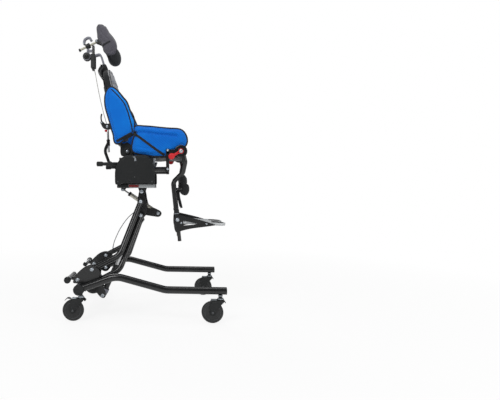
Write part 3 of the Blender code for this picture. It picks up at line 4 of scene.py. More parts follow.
import bmesh
import bpy
import numpy as np
from mathutils import Matrix, Vector
from mathutils.bvhtree import BVHTree
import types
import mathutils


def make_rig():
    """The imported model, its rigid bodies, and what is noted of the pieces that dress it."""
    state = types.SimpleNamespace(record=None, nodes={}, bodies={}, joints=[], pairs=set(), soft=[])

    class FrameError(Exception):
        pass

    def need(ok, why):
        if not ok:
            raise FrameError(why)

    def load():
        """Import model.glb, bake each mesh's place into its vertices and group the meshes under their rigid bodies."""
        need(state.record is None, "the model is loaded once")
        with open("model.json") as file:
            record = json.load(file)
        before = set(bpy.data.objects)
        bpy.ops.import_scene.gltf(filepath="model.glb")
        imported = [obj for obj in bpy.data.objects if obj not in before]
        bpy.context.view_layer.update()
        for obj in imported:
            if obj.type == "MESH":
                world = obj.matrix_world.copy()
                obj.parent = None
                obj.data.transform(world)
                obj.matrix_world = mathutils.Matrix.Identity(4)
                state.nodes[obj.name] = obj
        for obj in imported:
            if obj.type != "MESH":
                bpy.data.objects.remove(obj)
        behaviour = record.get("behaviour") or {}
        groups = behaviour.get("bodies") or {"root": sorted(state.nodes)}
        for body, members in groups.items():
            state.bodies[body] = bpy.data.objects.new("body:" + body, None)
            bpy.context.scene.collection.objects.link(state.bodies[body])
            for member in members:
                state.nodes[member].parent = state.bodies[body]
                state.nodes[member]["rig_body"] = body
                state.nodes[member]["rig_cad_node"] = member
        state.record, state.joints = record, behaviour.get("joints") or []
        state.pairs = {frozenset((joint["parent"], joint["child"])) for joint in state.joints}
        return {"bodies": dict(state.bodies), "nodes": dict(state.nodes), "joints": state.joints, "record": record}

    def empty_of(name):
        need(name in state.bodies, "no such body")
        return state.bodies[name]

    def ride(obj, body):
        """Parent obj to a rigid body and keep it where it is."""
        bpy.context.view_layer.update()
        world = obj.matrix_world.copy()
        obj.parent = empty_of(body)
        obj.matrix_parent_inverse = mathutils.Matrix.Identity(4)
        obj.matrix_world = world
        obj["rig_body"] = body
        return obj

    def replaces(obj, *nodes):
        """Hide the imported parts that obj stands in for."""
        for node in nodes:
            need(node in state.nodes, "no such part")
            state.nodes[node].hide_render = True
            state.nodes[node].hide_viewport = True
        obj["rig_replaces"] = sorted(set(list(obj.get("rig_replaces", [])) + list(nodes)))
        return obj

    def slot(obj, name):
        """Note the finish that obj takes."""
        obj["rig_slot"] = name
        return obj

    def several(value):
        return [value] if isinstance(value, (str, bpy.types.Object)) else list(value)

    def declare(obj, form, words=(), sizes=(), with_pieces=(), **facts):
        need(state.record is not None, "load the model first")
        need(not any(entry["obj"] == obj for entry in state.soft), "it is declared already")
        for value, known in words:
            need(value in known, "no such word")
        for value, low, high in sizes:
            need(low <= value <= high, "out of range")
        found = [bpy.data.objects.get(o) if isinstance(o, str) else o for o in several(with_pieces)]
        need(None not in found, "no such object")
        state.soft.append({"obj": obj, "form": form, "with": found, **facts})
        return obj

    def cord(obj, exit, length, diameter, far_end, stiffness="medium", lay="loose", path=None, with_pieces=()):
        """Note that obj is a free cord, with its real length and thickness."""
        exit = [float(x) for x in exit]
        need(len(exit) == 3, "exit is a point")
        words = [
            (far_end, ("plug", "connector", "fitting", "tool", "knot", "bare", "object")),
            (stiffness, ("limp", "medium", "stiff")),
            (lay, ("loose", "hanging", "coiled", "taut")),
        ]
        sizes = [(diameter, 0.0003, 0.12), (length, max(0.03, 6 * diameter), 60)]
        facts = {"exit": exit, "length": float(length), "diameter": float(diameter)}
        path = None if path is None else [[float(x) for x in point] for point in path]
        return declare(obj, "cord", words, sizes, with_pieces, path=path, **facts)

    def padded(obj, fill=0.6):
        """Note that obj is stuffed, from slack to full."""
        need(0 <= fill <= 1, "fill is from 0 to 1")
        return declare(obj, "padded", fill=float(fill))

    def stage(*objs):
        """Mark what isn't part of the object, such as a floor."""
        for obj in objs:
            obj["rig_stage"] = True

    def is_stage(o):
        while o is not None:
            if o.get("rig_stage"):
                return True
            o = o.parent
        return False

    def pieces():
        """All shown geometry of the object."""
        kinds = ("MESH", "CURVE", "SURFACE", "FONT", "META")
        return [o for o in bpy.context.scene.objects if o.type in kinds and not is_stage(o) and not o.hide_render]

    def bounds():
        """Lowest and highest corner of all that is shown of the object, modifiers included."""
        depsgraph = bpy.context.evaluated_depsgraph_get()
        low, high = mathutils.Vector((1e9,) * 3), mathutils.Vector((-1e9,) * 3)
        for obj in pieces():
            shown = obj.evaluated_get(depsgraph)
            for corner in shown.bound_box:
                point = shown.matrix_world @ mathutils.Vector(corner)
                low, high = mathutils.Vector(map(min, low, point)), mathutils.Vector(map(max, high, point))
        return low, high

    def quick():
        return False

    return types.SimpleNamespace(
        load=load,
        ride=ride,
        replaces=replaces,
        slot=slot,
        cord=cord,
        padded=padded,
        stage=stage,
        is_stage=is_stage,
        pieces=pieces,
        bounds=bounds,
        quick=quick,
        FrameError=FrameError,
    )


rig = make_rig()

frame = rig.load()
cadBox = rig.bounds()
print("frame loaded with", len(frame["nodes"]), "parts on", len(frame["bodies"]), "bodies")

# Places are (x, z) in the side view, with y as the distance from the middle.
# The whole stands a little behind them, so that its own middle is at zero.
centring = -0.016816
sides = (("Right", "right", -1), ("Left", "left", 1))


def at(spot, y=0.0):
    return Vector((spot[0] + centring, y, spot[1]))


# camera, floor and light

camera = {"place": (0.1036, -2.2968, 0.615), "turn": 3.0, "lens": 31.28, "shift": (0.2096, -0.02)}
eye = bpy.data.cameras.new("camera")
eye.lens = camera["lens"]
eye.sensor_width = 36.0
eye.shift_x, eye.shift_y = camera["shift"]
cameraItem = bpy.data.objects.new("camera", eye)
cameraItem.location = camera["place"]
cameraItem.rotation_euler = (math.pi / 2, 0.0, math.radians(camera["turn"]))
bpy.context.scene.collection.objects.link(cameraItem)
bpy.context.scene.camera = cameraItem
bpy.context.scene.view_settings.view_transform = "Standard"


class Wire:
    # One socket of a node tree, so that sums on it can be written as sums
    def __init__(self, pad, socket):
        self.pad = pad
        self.socket = socket

    def calc(self, operation, first, second=None):
        inputs = {0: first}
        if second is not None:
            inputs[1] = second
        return self.pad.add("ShaderNodeMath", {"operation": operation}, inputs)

    def __add__(self, other):
        return self.calc("ADD", self, other)

    def __radd__(self, other):
        return self.calc("ADD", other, self)

    def __sub__(self, other):
        return self.calc("SUBTRACT", self, other)

    def __rsub__(self, other):
        return self.calc("SUBTRACT", other, self)

    def __mul__(self, other):
        return self.calc("MULTIPLY", self, other)

    def __rmul__(self, other):
        return self.calc("MULTIPLY", other, self)

    def __truediv__(self, other):
        return self.calc("DIVIDE", self, other)

    def __rtruediv__(self, other):
        return self.calc("DIVIDE", other, self)

    def __pow__(self, other):
        return self.calc("POWER", self, other)

    def wave(self, pitch):
        return self.calc("SINE", self * (math.tau / pitch)) * 0.5 + 0.5

    def held(self):
        return self.calc("MINIMUM", self.calc("MAXIMUM", self, 0.0), 1.0)


class Pad:
    # A node tree that nodes are added to
    def __init__(self, tree):
        self.tree = tree

    def feed(self, socket, value):
        if isinstance(value, Wire):
            self.tree.links.new(value.socket, socket)
        else:
            socket.default_value = value

    def add(self, kind, settings=None, inputs=None, output=0):
        node = self.tree.nodes.new(kind)
        for key, value in (settings or {}).items():
            if key == "stops":
                ramp = node.color_ramp.elements
                while len(ramp) < len(value):
                    ramp.new(0.5)
                for stop, (place, colour) in zip(ramp, value):
                    stop.position = place
                    stop.color = (*colour, 1.0)
            else:
                setattr(node, key, value)
        for key, value in (inputs or {}).items():
            self.feed(node.inputs[key], value)
        return Wire(self, node.outputs[output])


class Finish(Pad):
    # A material on one Principled surface
    def __init__(self, name, metallic=0.0, coat=0.0, coatRoughness=0.1, sheen=0.0, specular=0.5):
        self.material = bpy.data.materials.new(name)
        self.material.use_nodes = True
        super().__init__(self.material.node_tree)
        self.surface = self.tree.nodes["Principled BSDF"]
        for key, value in (
            ("Metallic", metallic), ("Coat Weight", coat), ("Coat Roughness", coatRoughness),
            ("Sheen Weight", sheen), ("Specular IOR Level", specular),
        ):
            self.surface.inputs[key].default_value = value
        self.place = self.add("ShaderNodeTexCoord", output=3)

    def turned(self, degrees):
        return self.add("ShaderNodeMapping", None, {
            "Vector": self.place, "Rotation": tuple(math.radians(angle) for angle in degrees),
        })

    def axes(self, vector):
        node = self.add("ShaderNodeSeparateXYZ", None, {0: vector}).socket.node
        return [Wire(self, socket) for socket in node.outputs]

    def noise(self, scale, detail=3.0, roughness=0.5, vector=None):
        return self.add("ShaderNodeTexNoise", None, {
            "Vector": vector or self.place, "Scale": scale, "Detail": detail, "Roughness": roughness,
        })

    def stretched(self, stretch, scale, detail=3.0):
        vector = self.add("ShaderNodeMapping", None, {"Vector": self.place, "Scale": stretch})
        return self.noise(scale, detail, 0.6, vector)

    def cells(self, scale, vector=None):
        return self.add("ShaderNodeTexVoronoi", {"feature": "F1"}, {
            "Vector": vector or self.place, "Scale": scale,
        })

    def mix(self, share, first, second):
        return self.add("ShaderNodeMix", {"data_type": "RGBA"}, {
            0: share, 6: (*first, 1.0) if isinstance(first, tuple) else first,
            7: (*second, 1.0) if isinstance(second, tuple) else second,
        }, output=2)

    def ramp(self, value, stops):
        return self.add("ShaderNodeValToRGB", {"stops": stops}, {0: value})

    def level(self, value, low, high):
        # 0 below low, 1 above high
        return ((value - low) / (high - low)).held()

    def done(self, colour, roughness, height=None, depth=0.0003, strength=0.5, metallic=None):
        self.feed(self.surface.inputs["Base Color"], colour)
        self.feed(self.surface.inputs["Roughness"], roughness)
        if metallic is not None:
            self.feed(self.surface.inputs["Metallic"], metallic)
        if height is not None:
            bump = self.add("ShaderNodeBump", None, {"Height": height, "Distance": depth,
                "Strength": strength})
            self.feed(self.surface.inputs["Normal"], bump)
        return self.material


def makePaint(name, dark, pale, gloss):
    # Powder coat: orange peel, slight mottling and dust that has settled in patches
    finish = Finish(name, coat=0.25, coatRoughness=0.22)
    peel = finish.noise(700.0, 2.0)
    mottle = finish.noise(24.0, 4.0)
    dust = finish.level(finish.noise(9.0, 6.0, 0.65), 0.52, 0.74)
    grit = finish.level(finish.noise(260.0, 2.0), 0.66, 0.74)
    colour = finish.mix(mottle, dark, pale)
    colour = finish.mix(dust * 0.1 + grit * 0.08, colour, (0.16, 0.165, 0.17))
    return finish.done(colour, mottle * 0.1 + dust * 0.12 + gloss, peel * 0.7 + grit * 0.3, 0.00005, 0.2)


def makeMoulded(name, dark, pale, gloss, grain):
    # Moulded plastic with a fine pitted grain, rubbed smoother in places
    finish = Finish(name, specular=0.45)
    pits = finish.cells(grain)
    fine = finish.noise(grain * 1.7, 3.0)
    rubbed = finish.level(finish.noise(14.0, 5.0, 0.6), 0.46, 0.68)
    streaks = finish.level(finish.stretched((18.0, 260.0, 90.0), 1.0), 0.6, 0.72)
    colour = finish.mix(fine * 0.7 + rubbed * 0.3, dark, pale)
    colour = finish.mix(streaks * 0.06, colour, (0.14, 0.145, 0.15))
    return finish.done(colour, gloss - rubbed * 0.12 + fine * 0.06, pits * 0.8 + fine * 0.4, 0.00018, 0.4)


def makeSteel(name, dark, pale, gloss, stretch):
    # Drawn or brushed metal: long fine lines, a few darker handling marks
    finish = Finish(name, metallic=0.7)
    lines = finish.stretched(stretch, 1.0, 4.0)
    marks = finish.level(finish.noise(38.0, 5.0, 0.6), 0.55, 0.75)
    colour = finish.mix(lines * 0.8 + marks * 0.2, dark, pale)
    colour = finish.mix(marks * 0.25, colour, tuple(part * 0.55 for part in dark))
    return finish.done(colour, lines * 0.14 + marks * 0.12 + gloss, lines, 0.00006, 0.35)


def makeMesh(name, deep, bright, pale, pitch, lean):
    # Spacer mesh: slanting ribs crossed by small open cells, with a soft broad shading
    finish = Finish(name, sheen=0.12, specular=0.12)
    along, over, up = finish.axes(finish.turned((0.0, lean, 0.0)))
    ribs = (along + over * 0.35).wave(pitch)
    cross = (up - over * 0.35).wave(pitch * 0.62)
    holes = finish.level(ribs * cross, 0.34, 0.62)
    slub = finish.stretched((420.0, 420.0, 90.0), 1.0, 2.0)
    broad = finish.noise(7.0, 3.0, 0.5)
    weave = (ribs * 0.45 + holes * 0.35 + slub * 0.2).held()
    colour = finish.mix(weave, deep, bright)
    colour = finish.mix(finish.level(broad, 0.42, 0.75) * 0.3, colour, pale)
    return finish.done(colour, 0.86 - weave * 0.14, weave, 0.0007, 0.75)


def makeWoven(name, deep, bright, pitch, lean=0.0, lint=0.0):
    # Plain weave of two thread directions with a little lint
    finish = Finish(name, sheen=0.22, specular=0.25)
    along, over, up = finish.axes(finish.turned((lean, lean, 0.0)))
    warp = (along + over).wave(pitch)
    weft = (up + over * 0.5).wave(pitch)
    thread = warp * weft * 0.6 + (1.0 - warp) * (1.0 - weft) * 0.6
    fuzz = finish.noise(520.0, 3.0)
    broad = finish.noise(11.0, 4.0)
    colour = finish.mix((thread * 0.7 + fuzz * 0.3 + broad * 0.25 - 0.1).held(), deep, bright)
    colour = finish.mix(finish.level(fuzz, 0.62, 0.78) * lint, colour, (0.4, 0.4, 0.42))
    return finish.done(colour, 0.9 - thread * 0.12, thread + fuzz * 0.4, 0.0005, 0.6)


def makeWebbing(name, deep, bright, pitch):
    # Tight ribbed tape, the ribs running across the strap
    finish = Finish(name, sheen=0.12, specular=0.35)
    along, over, up = finish.axes(finish.turned((0.0, 38.0, 0.0)))
    ribs = along.wave(pitch)
    twill = (up + along * 0.5).wave(pitch * 0.7)
    worn = finish.noise(60.0, 4.0)
    weave = ribs * 0.6 + twill * 0.4
    return finish.done(
        finish.mix((weave * 0.6 + worn * 0.5 - 0.1).held(), deep, bright), 0.74 - weave * 0.14, weave, 0.0004,
        0.6,
    )


def makeLeatherette(name, deep, bright, gloss):
    # Coated cloth with a pebbled grain and soft creases
    finish = Finish(name, specular=0.4)
    pebbles = finish.cells(340.0)
    creases = finish.stretched((30.0, 60.0, 130.0), 1.0, 5.0)
    broad = finish.noise(13.0, 3.0)
    colour = finish.mix((pebbles * 0.5 + broad * 0.5).held(), deep, bright)
    return finish.done(colour, gloss + pebbles * 0.12 - broad * 0.08, pebbles + creases * 0.8, 0.0004, 0.5)


def makeRubber(name, deep, bright):
    # Tyre rubber, greyed where it has rolled through dust
    finish = Finish(name, specular=0.35)
    grit = finish.noise(420.0, 4.0, 0.7)
    dusty = finish.level(finish.noise(16.0, 5.0, 0.6), 0.44, 0.72)
    colour = finish.mix(grit * 0.5 + dusty * 0.5, deep, bright)
    return finish.done(colour, 0.62 + dusty * 0.2, grit, 0.0003, 0.5)


def makeGloss(name, deep, bright, gloss):
    # Smooth coloured plastic with faint flow marks
    finish = Finish(name, coat=0.3, coatRoughness=0.15, specular=0.5)
    flow = finish.stretched((30.0, 30.0, 12.0), 1.0, 4.0)
    specks = finish.noise(300.0, 2.0)
    colour = finish.mix((flow * 0.8 + specks * 0.2).held(), deep, bright)
    return finish.done(colour, gloss + flow * 0.12, specks, 0.0001, 0.25)


blackPaint = makePaint("blackPaint", (0.0046, 0.005, 0.0054), (0.01, 0.0105, 0.0112), 0.22)
silverPaint = makeMoulded("silverPaint", (0.19, 0.195, 0.23), (0.27, 0.275, 0.32), 0.5, 620.0)
blackMoulding = makeMoulded("blackMoulding", (0.0048, 0.006, 0.0066), (0.0115, 0.0135, 0.0142), 0.5, 520.0)
greyMoulding = makeMoulded("greyMoulding", (0.045, 0.048, 0.052), (0.1, 0.105, 0.112), 0.48, 520.0)
paleAlloy = makeMoulded("paleAlloy", (0.46, 0.48, 0.49), (0.66, 0.68, 0.69), 0.42, 380.0)
zincSteel = makeSteel("zincSteel", (0.4, 0.45, 0.5), (0.72, 0.76, 0.8), 0.2, (90.0, 90.0, 420.0))
drawnSteel = makeSteel("drawnSteel", (0.5, 0.51, 0.52), (0.8, 0.8, 0.8), 0.16, (60.0, 12.0, 500.0))
warmSteel = makeSteel("warmSteel", (0.44, 0.42, 0.36), (0.76, 0.74, 0.66), 0.22, (30.0, 500.0, 160.0))
trayAlloy = makeSteel("trayAlloy", (0.42, 0.45, 0.46), (0.7, 0.73, 0.74), 0.3, (6.0, 900.0, 900.0))
blueMesh = makeMesh("blueMesh", (0.001, 0.07, 0.38), (0.002, 0.235, 0.9), (0.006, 0.33, 0.98), 0.0056, 42.0)
brightMesh = makeMesh("brightMesh", (0.0014, 0.12, 0.56), (0.0026, 0.31, 0.98), (0.01, 0.4, 1.0), 0.0056,
    30.0)
seatMesh = makeMesh("seatMesh", (0.0022, 0.1, 0.44), (0.0034, 0.22, 0.76), (0.01, 0.3, 0.9), 0.0042, -38.0)
charcoalCloth = makeWoven("charcoalCloth", (0.055, 0.053, 0.066), (0.135, 0.13, 0.152), 0.003, 30.0, 0.1)
# A darker copy of the charcoal cloth: painted shade for the head pad's inner faces
darkCloth = makeWoven("darkCloth", (0.018, 0.02, 0.022), (0.06, 0.064, 0.068), 0.003, 30.0, 0.1)
greyCloth = makeWoven("greyCloth", (0.2, 0.205, 0.215), (0.42, 0.425, 0.44), 0.0032, 24.0, 0.05)
blackCloth = makeWoven("blackCloth", (0.008, 0.009, 0.01), (0.03, 0.032, 0.034), 0.0028, 18.0, 0.06)
blackTape = makeWebbing("blackTape", (0.004, 0.0045, 0.005), (0.02, 0.022, 0.024), 0.0024)
blackHide = makeLeatherette("blackHide", (0.007, 0.0075, 0.008), (0.024, 0.026, 0.028), 0.46)
tyreRubber = makeRubber("tyreRubber", (0.018, 0.0185, 0.019), (0.055, 0.056, 0.056))
champagneSteel = makeGloss("champagneSteel", (0.44, 0.43, 0.34), (0.66, 0.64, 0.52), 0.3)
redPlastic = makeGloss("redPlastic", (0.5, 0.01, 0.016), (0.74, 0.028, 0.034), 0.26)
redTrim = makeGloss("redTrim", (0.14, 0.006, 0.007), (0.26, 0.014, 0.014), 0.34)
cableSheath = makeGloss("cableSheath", (0.1, 0.105, 0.11), (0.2, 0.205, 0.21), 0.42)
threadBlue = makeWebbing("threadBlue", (0.002, 0.06, 0.3), (0.004, 0.12, 0.5), 0.0016)
threadGrey = makeWebbing("threadGrey", (0.08, 0.08, 0.09), (0.2, 0.2, 0.21), 0.0016)
print("materials made")


floor = {"half": 9.0, "share": 0.86, "near": 0.9, "far": 2.6}


def makeFloor():
    # Pale floor: mostly its own white for the camera, with the object's soft shadow left in
    finish = Finish("paleFloor")
    rays = finish.tree.nodes.new("ShaderNodeLightPath")
    seen = Wire(finish, rays.outputs["Is Camera Ray"]) + Wire(finish, rays.outputs["Is Glossy Ray"]) * 0.25
    along, over, _ = finish.axes(finish.place)
    away = (along * along + over * over) ** 0.5
    share = floor["share"] + finish.level(away, floor["near"], floor["far"]) * (1.0 - floor["share"])
    white = finish.add("ShaderNodeEmission", None, {"Color": (1.0, 1.0, 1.0, 1.0), "Strength": 1.0})
    finish.done(finish.mix(finish.noise(3.0), (0.86, 0.86, 0.86), (0.9, 0.9, 0.9)), 0.9)
    both = finish.add("ShaderNodeMixShader", None, {0: seen.held() * share})
    finish.tree.links.new(finish.surface.outputs[0], both.socket.node.inputs[1])
    finish.tree.links.new(white.socket, both.socket.node.inputs[2])
    finish.tree.links.new(both.socket, finish.tree.nodes["Material Output"].inputs["Surface"])
    return finish.material


floorMesh = bpy.data.meshes.new("floor")
floorMesh.from_pydata(
    [(x * floor["half"], y * floor["half"], 0.0) for x, y in ((-1, -1), (1, -1), (1, 1), (-1, 1))], [],
    [(0, 1, 2, 3)],
)
floorItem = bpy.data.objects.new("floor", floorMesh)
floorItem.data.materials.append(makeFloor())
bpy.context.scene.collection.objects.link(floorItem)
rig.stage(floorItem)

studio = {
    "sky": 0.42, "mirrored": 0.12,
    "lamps": (
        ("key", (-1.3, -2.4, 2.9), (0.0, 0.0, 0.7), 46.0, 1.6),
        ("fill", (2.6, -1.7, 1.6), (0.0, 0.0, 0.6), 22.0, 1.8),
        ("back", (-0.9, 2.6, 2.3), (0.0, 0.0, 0.7), 24.0, 1.6),
        ("top", (0.2, 0.0, 3.4), (0.0, 0.0, 0.0), 20.0, 1.8),
    ),
}
for name, place, target, power, size in studio["lamps"]:
    lamp = bpy.data.lights.new(name, "AREA")
    lamp.shape = "DISK"
    lamp.size = size
    lamp.energy = power
    lampItem = bpy.data.objects.new(name, lamp)
    lampItem.location = place
    lampItem.rotation_euler = (Vector(target) - Vector(place)).to_track_quat("-Z", "Y").to_euler()
    bpy.context.scene.collection.objects.link(lampItem)

world = bpy.data.worlds.new("studio")
bpy.context.scene.world = world
world.use_nodes = True
sky = Pad(world.node_tree)
rays = sky.tree.nodes.new("ShaderNodeLightPath")
seen = Wire(sky, rays.outputs["Is Camera Ray"]) + Wire(sky, rays.outputs["Is Transmission Ray"])
glossy = Wire(sky, rays.outputs["Is Glossy Ray"])
background = sky.tree.nodes["Background"]
background.inputs["Color"].default_value = (1.0, 1.0, 1.0, 1.0)
room = seen.held() * (1.0 - studio["sky"]) + studio["sky"]
sky.feed(background.inputs["Strength"], room - glossy * (studio["sky"] - studio["mirrored"]))
print("camera, floor and lamps made")


# making meshes

def newItem(name, mesh):
    item = bpy.data.objects.new(name, mesh)
    bpy.context.scene.collection.objects.link(item)
    return item


def fromRings(name, rings, around=False, sharp=38.0):
    # Rings of points skinned one to the next, closed at both ends or joined into a hoop
    form = bmesh.new()
    loops = [[form.verts.new(point) for point in ring] for ring in rings]
    pairs = list(zip(loops, loops[1:]))
    if around:
        pairs.append((loops[-1], loops[0]))
    count = len(loops[0])
    for low, high in pairs:
        for k in range(count):
            after = (k + 1) % count
            form.faces.new((low[k], low[after], high[after], high[k]))
    if not around:
        form.faces.new(loops[0][::-1])
        form.faces.new(loops[-1])
    return fromForm(name, form, sharp)


def fromForm(name, form, sharp=38.0):
    bmesh.ops.remove_doubles(form, verts=form.verts, dist=0.00001)
    bmesh.ops.recalc_face_normals(form, faces=form.faces)
    mesh = bpy.data.meshes.new(name)
    form.to_mesh(mesh)
    form.free()
    mesh.shade_smooth()
    mesh.set_sharp_from_angle(angle=math.radians(sharp))
    return newItem(name, mesh)


def settled(item):
    # The item's modifiers worked into its mesh
    graph = bpy.context.evaluated_depsgraph_get()
    mesh = bpy.data.meshes.new_from_object(item.evaluated_get(graph), preserve_all_data_layers=True,
        depsgraph=graph)
    item.modifiers.clear()
    item.data = mesh
    return item


def softened(item, width, segments=3, angle=40.0):
    bevel = item.modifiers.new("edge", "BEVEL")
    bevel.width = width
    bevel.segments = segments
    bevel.limit_method = "ANGLE"
    bevel.angle_limit = math.radians(angle)
    bevel.use_clamp_overlap = True
    even = item.modifiers.new("even", "WEIGHTED_NORMAL")
    even.keep_sharp = False
    item.data.shade_smooth()
    return settled(item)


def joined(name, items):
    form = bmesh.new()
    for item in items:
        form.from_mesh(item.data)
        bpy.data.objects.remove(item, do_unlink=True)
    mesh = bpy.data.meshes.new(name)
    form.to_mesh(mesh)
    form.free()
    return newItem(name, mesh)


def minus(item, *others):
    for other in others:
        step = item.modifiers.new("cut", "BOOLEAN")
        step.operation = "DIFFERENCE"
        step.solver = "EXACT"
        step.object = other
        settled(item)
        bpy.data.objects.remove(other, do_unlink=True)
    return item


def eased(a, b, c, d, part):
    # A point between b and c on the curve through all four
    return 0.5 * (
        2 * b + (c - a) * part + (2 * a - 5 * b + 4 * c - d) * part ** 2
        + (3 * b - a - 3 * c + d) * part ** 3
    )


def smoothLoop(spots, steps=4):
    # A closed line eased through all its spots
    count = len(spots)
    line = []
    for k in range(count):
        before, start, finish, after = (spots[(k + j) % count] for j in (-1, 0, 1, 2))
        for j in range(steps):
            line.append(tuple(eased(*parts, j / steps) for parts in zip(before, start, finish, after)))
    return line


def smoothLine(points, steps=6):
    # An open line eased through all its points
    padded = [points[0] * 2 - points[1]] + list(points) + [points[-1] * 2 - points[-2]]
    line = []
    for a, b, c, d in zip(padded, padded[1:], padded[2:], padded[3:]):
        for j in range(steps):
            line.append(eased(a, b, c, d, j / steps))
    line.append(points[-1].copy())
    return line


def filleted(corners, radius, steps=10):
    path = [corners[0]]
    for before, corner, after in zip(corners, corners[1:], corners[2:]):
        into = (corner - before).normalized()
        away = (after - corner).normalized()
        turn = into.angle(away)
        start = corner - into * radius * math.tan(turn / 2)
        centre = corner + (away - into).normalized() * radius / math.cos(turn / 2)
        axle = into.cross(away).normalized()
        for k in range(steps + 1):
            path.append(centre + Matrix.Rotation(turn * k / steps, 3, axle) @ (start - centre))
    path.append(corners[-1])
    return path


def roundSection(radius, count=32):
    return [(radius * math.cos(math.tau * k / count), radius * math.sin(math.tau * k / count))
        for k in range(count)]


def roundedPlan(width, depth, bend, steps):
    # A rectangle's outline with rounded corners
    spots = []
    for quarter in range(4):
        facing = math.pi / 2 * quarter + math.pi / 4
        middleU = math.copysign(width / 2 - bend, math.cos(facing))
        middleV = math.copysign(depth / 2 - bend, math.sin(facing))
        for k in range(steps + 1):
            angle = math.pi / 2 * (quarter + k / steps)
            spots.append((middleU + bend * math.cos(angle), middleV + bend * math.sin(angle)))
    return spots


def barSection(width, depth, corner=0.25, steps=3):
    return roundedPlan(width, depth, min(width, depth) * corner, steps)


def swept(name, path, section, guide=(0, 1, 0), sizes=None, sharp=38.0):
    # A section carried along a path; sizes may swell or shrink it on the way
    tangents = []
    for k in range(len(path)):
        tangents.append((path[min(k + 1, len(path) - 1)] - path[max(k - 1, 0)]).normalized())
    across = Vector(guide)
    if abs(tangents[0].dot(across)) > 0.9:
        across = Vector((1, 0, 0)) if abs(tangents[0].x) < 0.9 else Vector((0, 0, 1))
    rings = []
    for k, (point, tangent) in enumerate(zip(path, tangents)):
        across = (across - tangent * across.dot(tangent)).normalized()
        upward = across.cross(tangent)
        size = sizes[k] if sizes else 1.0
        rings.append([point + (across * u + upward * v) * size for u, v in section])
    return fromRings(name, rings, sharp=sharp)


def tube(name, corners, radius, bend=0.0, count=32, steps=10):
    path = filleted(corners, bend, steps) if bend else corners
    rim = min(radius * 0.12, 0.0015)
    start = path[0] + (path[1] - path[0]).normalized() * rim
    finish = path[-1] + (path[-2] - path[-1]).normalized() * rim
    path = [path[0], start] + path[1:-1] + [finish, path[-1]]
    sizes = [1.0 - rim / radius] + [1.0] * (len(path) - 2) + [1.0 - rim / radius]
    return swept(name, path, roundSection(radius, count), sizes=sizes)


def turned(name, start, along, profile, count=40, sharp=38.0):
    # A profile of (distance, radius) spun round a line
    along = Vector(along).normalized()
    guide = Vector((0, 1, 0)) if abs(along.y) < 0.7 else Vector((1, 0, 0))
    across = along.cross(guide).normalized()
    beside = across.cross(along).normalized()
    rings = []
    for distance, radius in profile:
        rings.append([
            start + along * distance
            + (across * math.cos(math.tau * k / count) + beside * math.sin(math.tau * k / count)) * radius
            for k in range(count)
        ])
    return fromRings(name, rings, sharp=sharp)


def roundedRod(name, start, finish, radius, rim=0.0012, count=32):
    length = (finish - start).length
    return turned(name, start, finish - start, (
        (0.0, radius - rim), (rim * 0.35, radius - rim * 0.35), (rim, radius),
        (length - rim, radius), (length - rim * 0.35, radius - rim * 0.35), (length, radius - rim),
    ), count)


def crossRod(name, spot, near, far, radius, rim=0.001, count=32):
    return roundedRod(name, at(spot, near), at(spot, far), radius, rim, count)


def span(side, inner, outer):
    # Two distances from the middle on one side, the lower y first
    return sorted((side * inner, side * outer))


def sheetPlate(name, outline, near, far, edge=0.0012, steps=4, segments=3):
    # Plate seen from the side: an eased outline with rounded rims
    loop = smoothLoop(outline, steps) if steps > 1 else outline
    item = fromRings(name, [[at(spot, y) for spot in loop] for y in (near, far)])
    return softened(item, edge, segments, 50.0) if edge else item


def block(name, low, high, edge=0.0015, segments=3):
    corners = ((low[0], low[1]), (high[0], low[1]), (high[0], high[1]), (low[0], high[1]))
    rings = [[Vector((x + centring, y, z)) for x, y in corners] for z in (low[2], high[2])]
    return softened(fromRings(name, rings), edge, segments)


def dress(item, material, body, slotName, *nodes):
    # Gives a finished piece its material, its body and the parts it stands for
    if material is not None:
        item.data.materials.clear()
        item.data.materials.append(material)
    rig.ride(item, body)
    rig.slot(item, slotName)
    if nodes:
        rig.replaces(item, *nodes)
    return item


def standIn(item, material, body, node):
    # Dresses a piece and lets it take the place of one part
    return dress(item, material, body, node, node)


# node trees that repeat small things

class Rule(Pad):
    # A Geometry Nodes tree with named inputs
    def __init__(self, name, sizes):
        super().__init__(bpy.data.node_groups.new(name, "GeometryNodeTree"))
        kinds = {float: "NodeSocketFloat", int: "NodeSocketInt"}
        face = self.tree.interface
        face.new_socket("Geometry", in_out="INPUT", socket_type="NodeSocketGeometry")
        for label, value in sizes.items():
            face.new_socket(label, in_out="INPUT", socket_type=kinds[type(value)]).default_value = value
        face.new_socket("Material", in_out="INPUT", socket_type="NodeSocketMaterial")
        face.new_socket("Geometry", in_out="OUTPUT", socket_type="NodeSocketGeometry")
        self.given = self.tree.nodes.new("NodeGroupInput")
        self.result = self.tree.nodes.new("NodeGroupOutput")

    def size(self, label):
        return Wire(self, self.given.outputs[label])

    def vector(self, x, y, z):
        return self.add("ShaderNodeCombineXYZ", None, {0: x, 1: y, 2: z})

    def join(self, *parts):
        node = self.tree.nodes.new("GeometryNodeJoinGeometry")
        for part in parts:
            self.tree.links.new(part.socket, node.inputs[0])
        return Wire(self, node.outputs[0])

    def finish(self, geometry):
        real = self.add("GeometryNodeRealizeInstances", None, {0: geometry})
        painted = self.add("GeometryNodeSetMaterial", None,
            {"Geometry": real, "Material": self.size("Material")})
        self.feed(self.result.inputs[0], painted)
        return self.tree

    def facing(self, vector, axis):
        return self.add("FunctionNodeAlignRotationToVector", {"axis": axis}, {"Vector": vector})


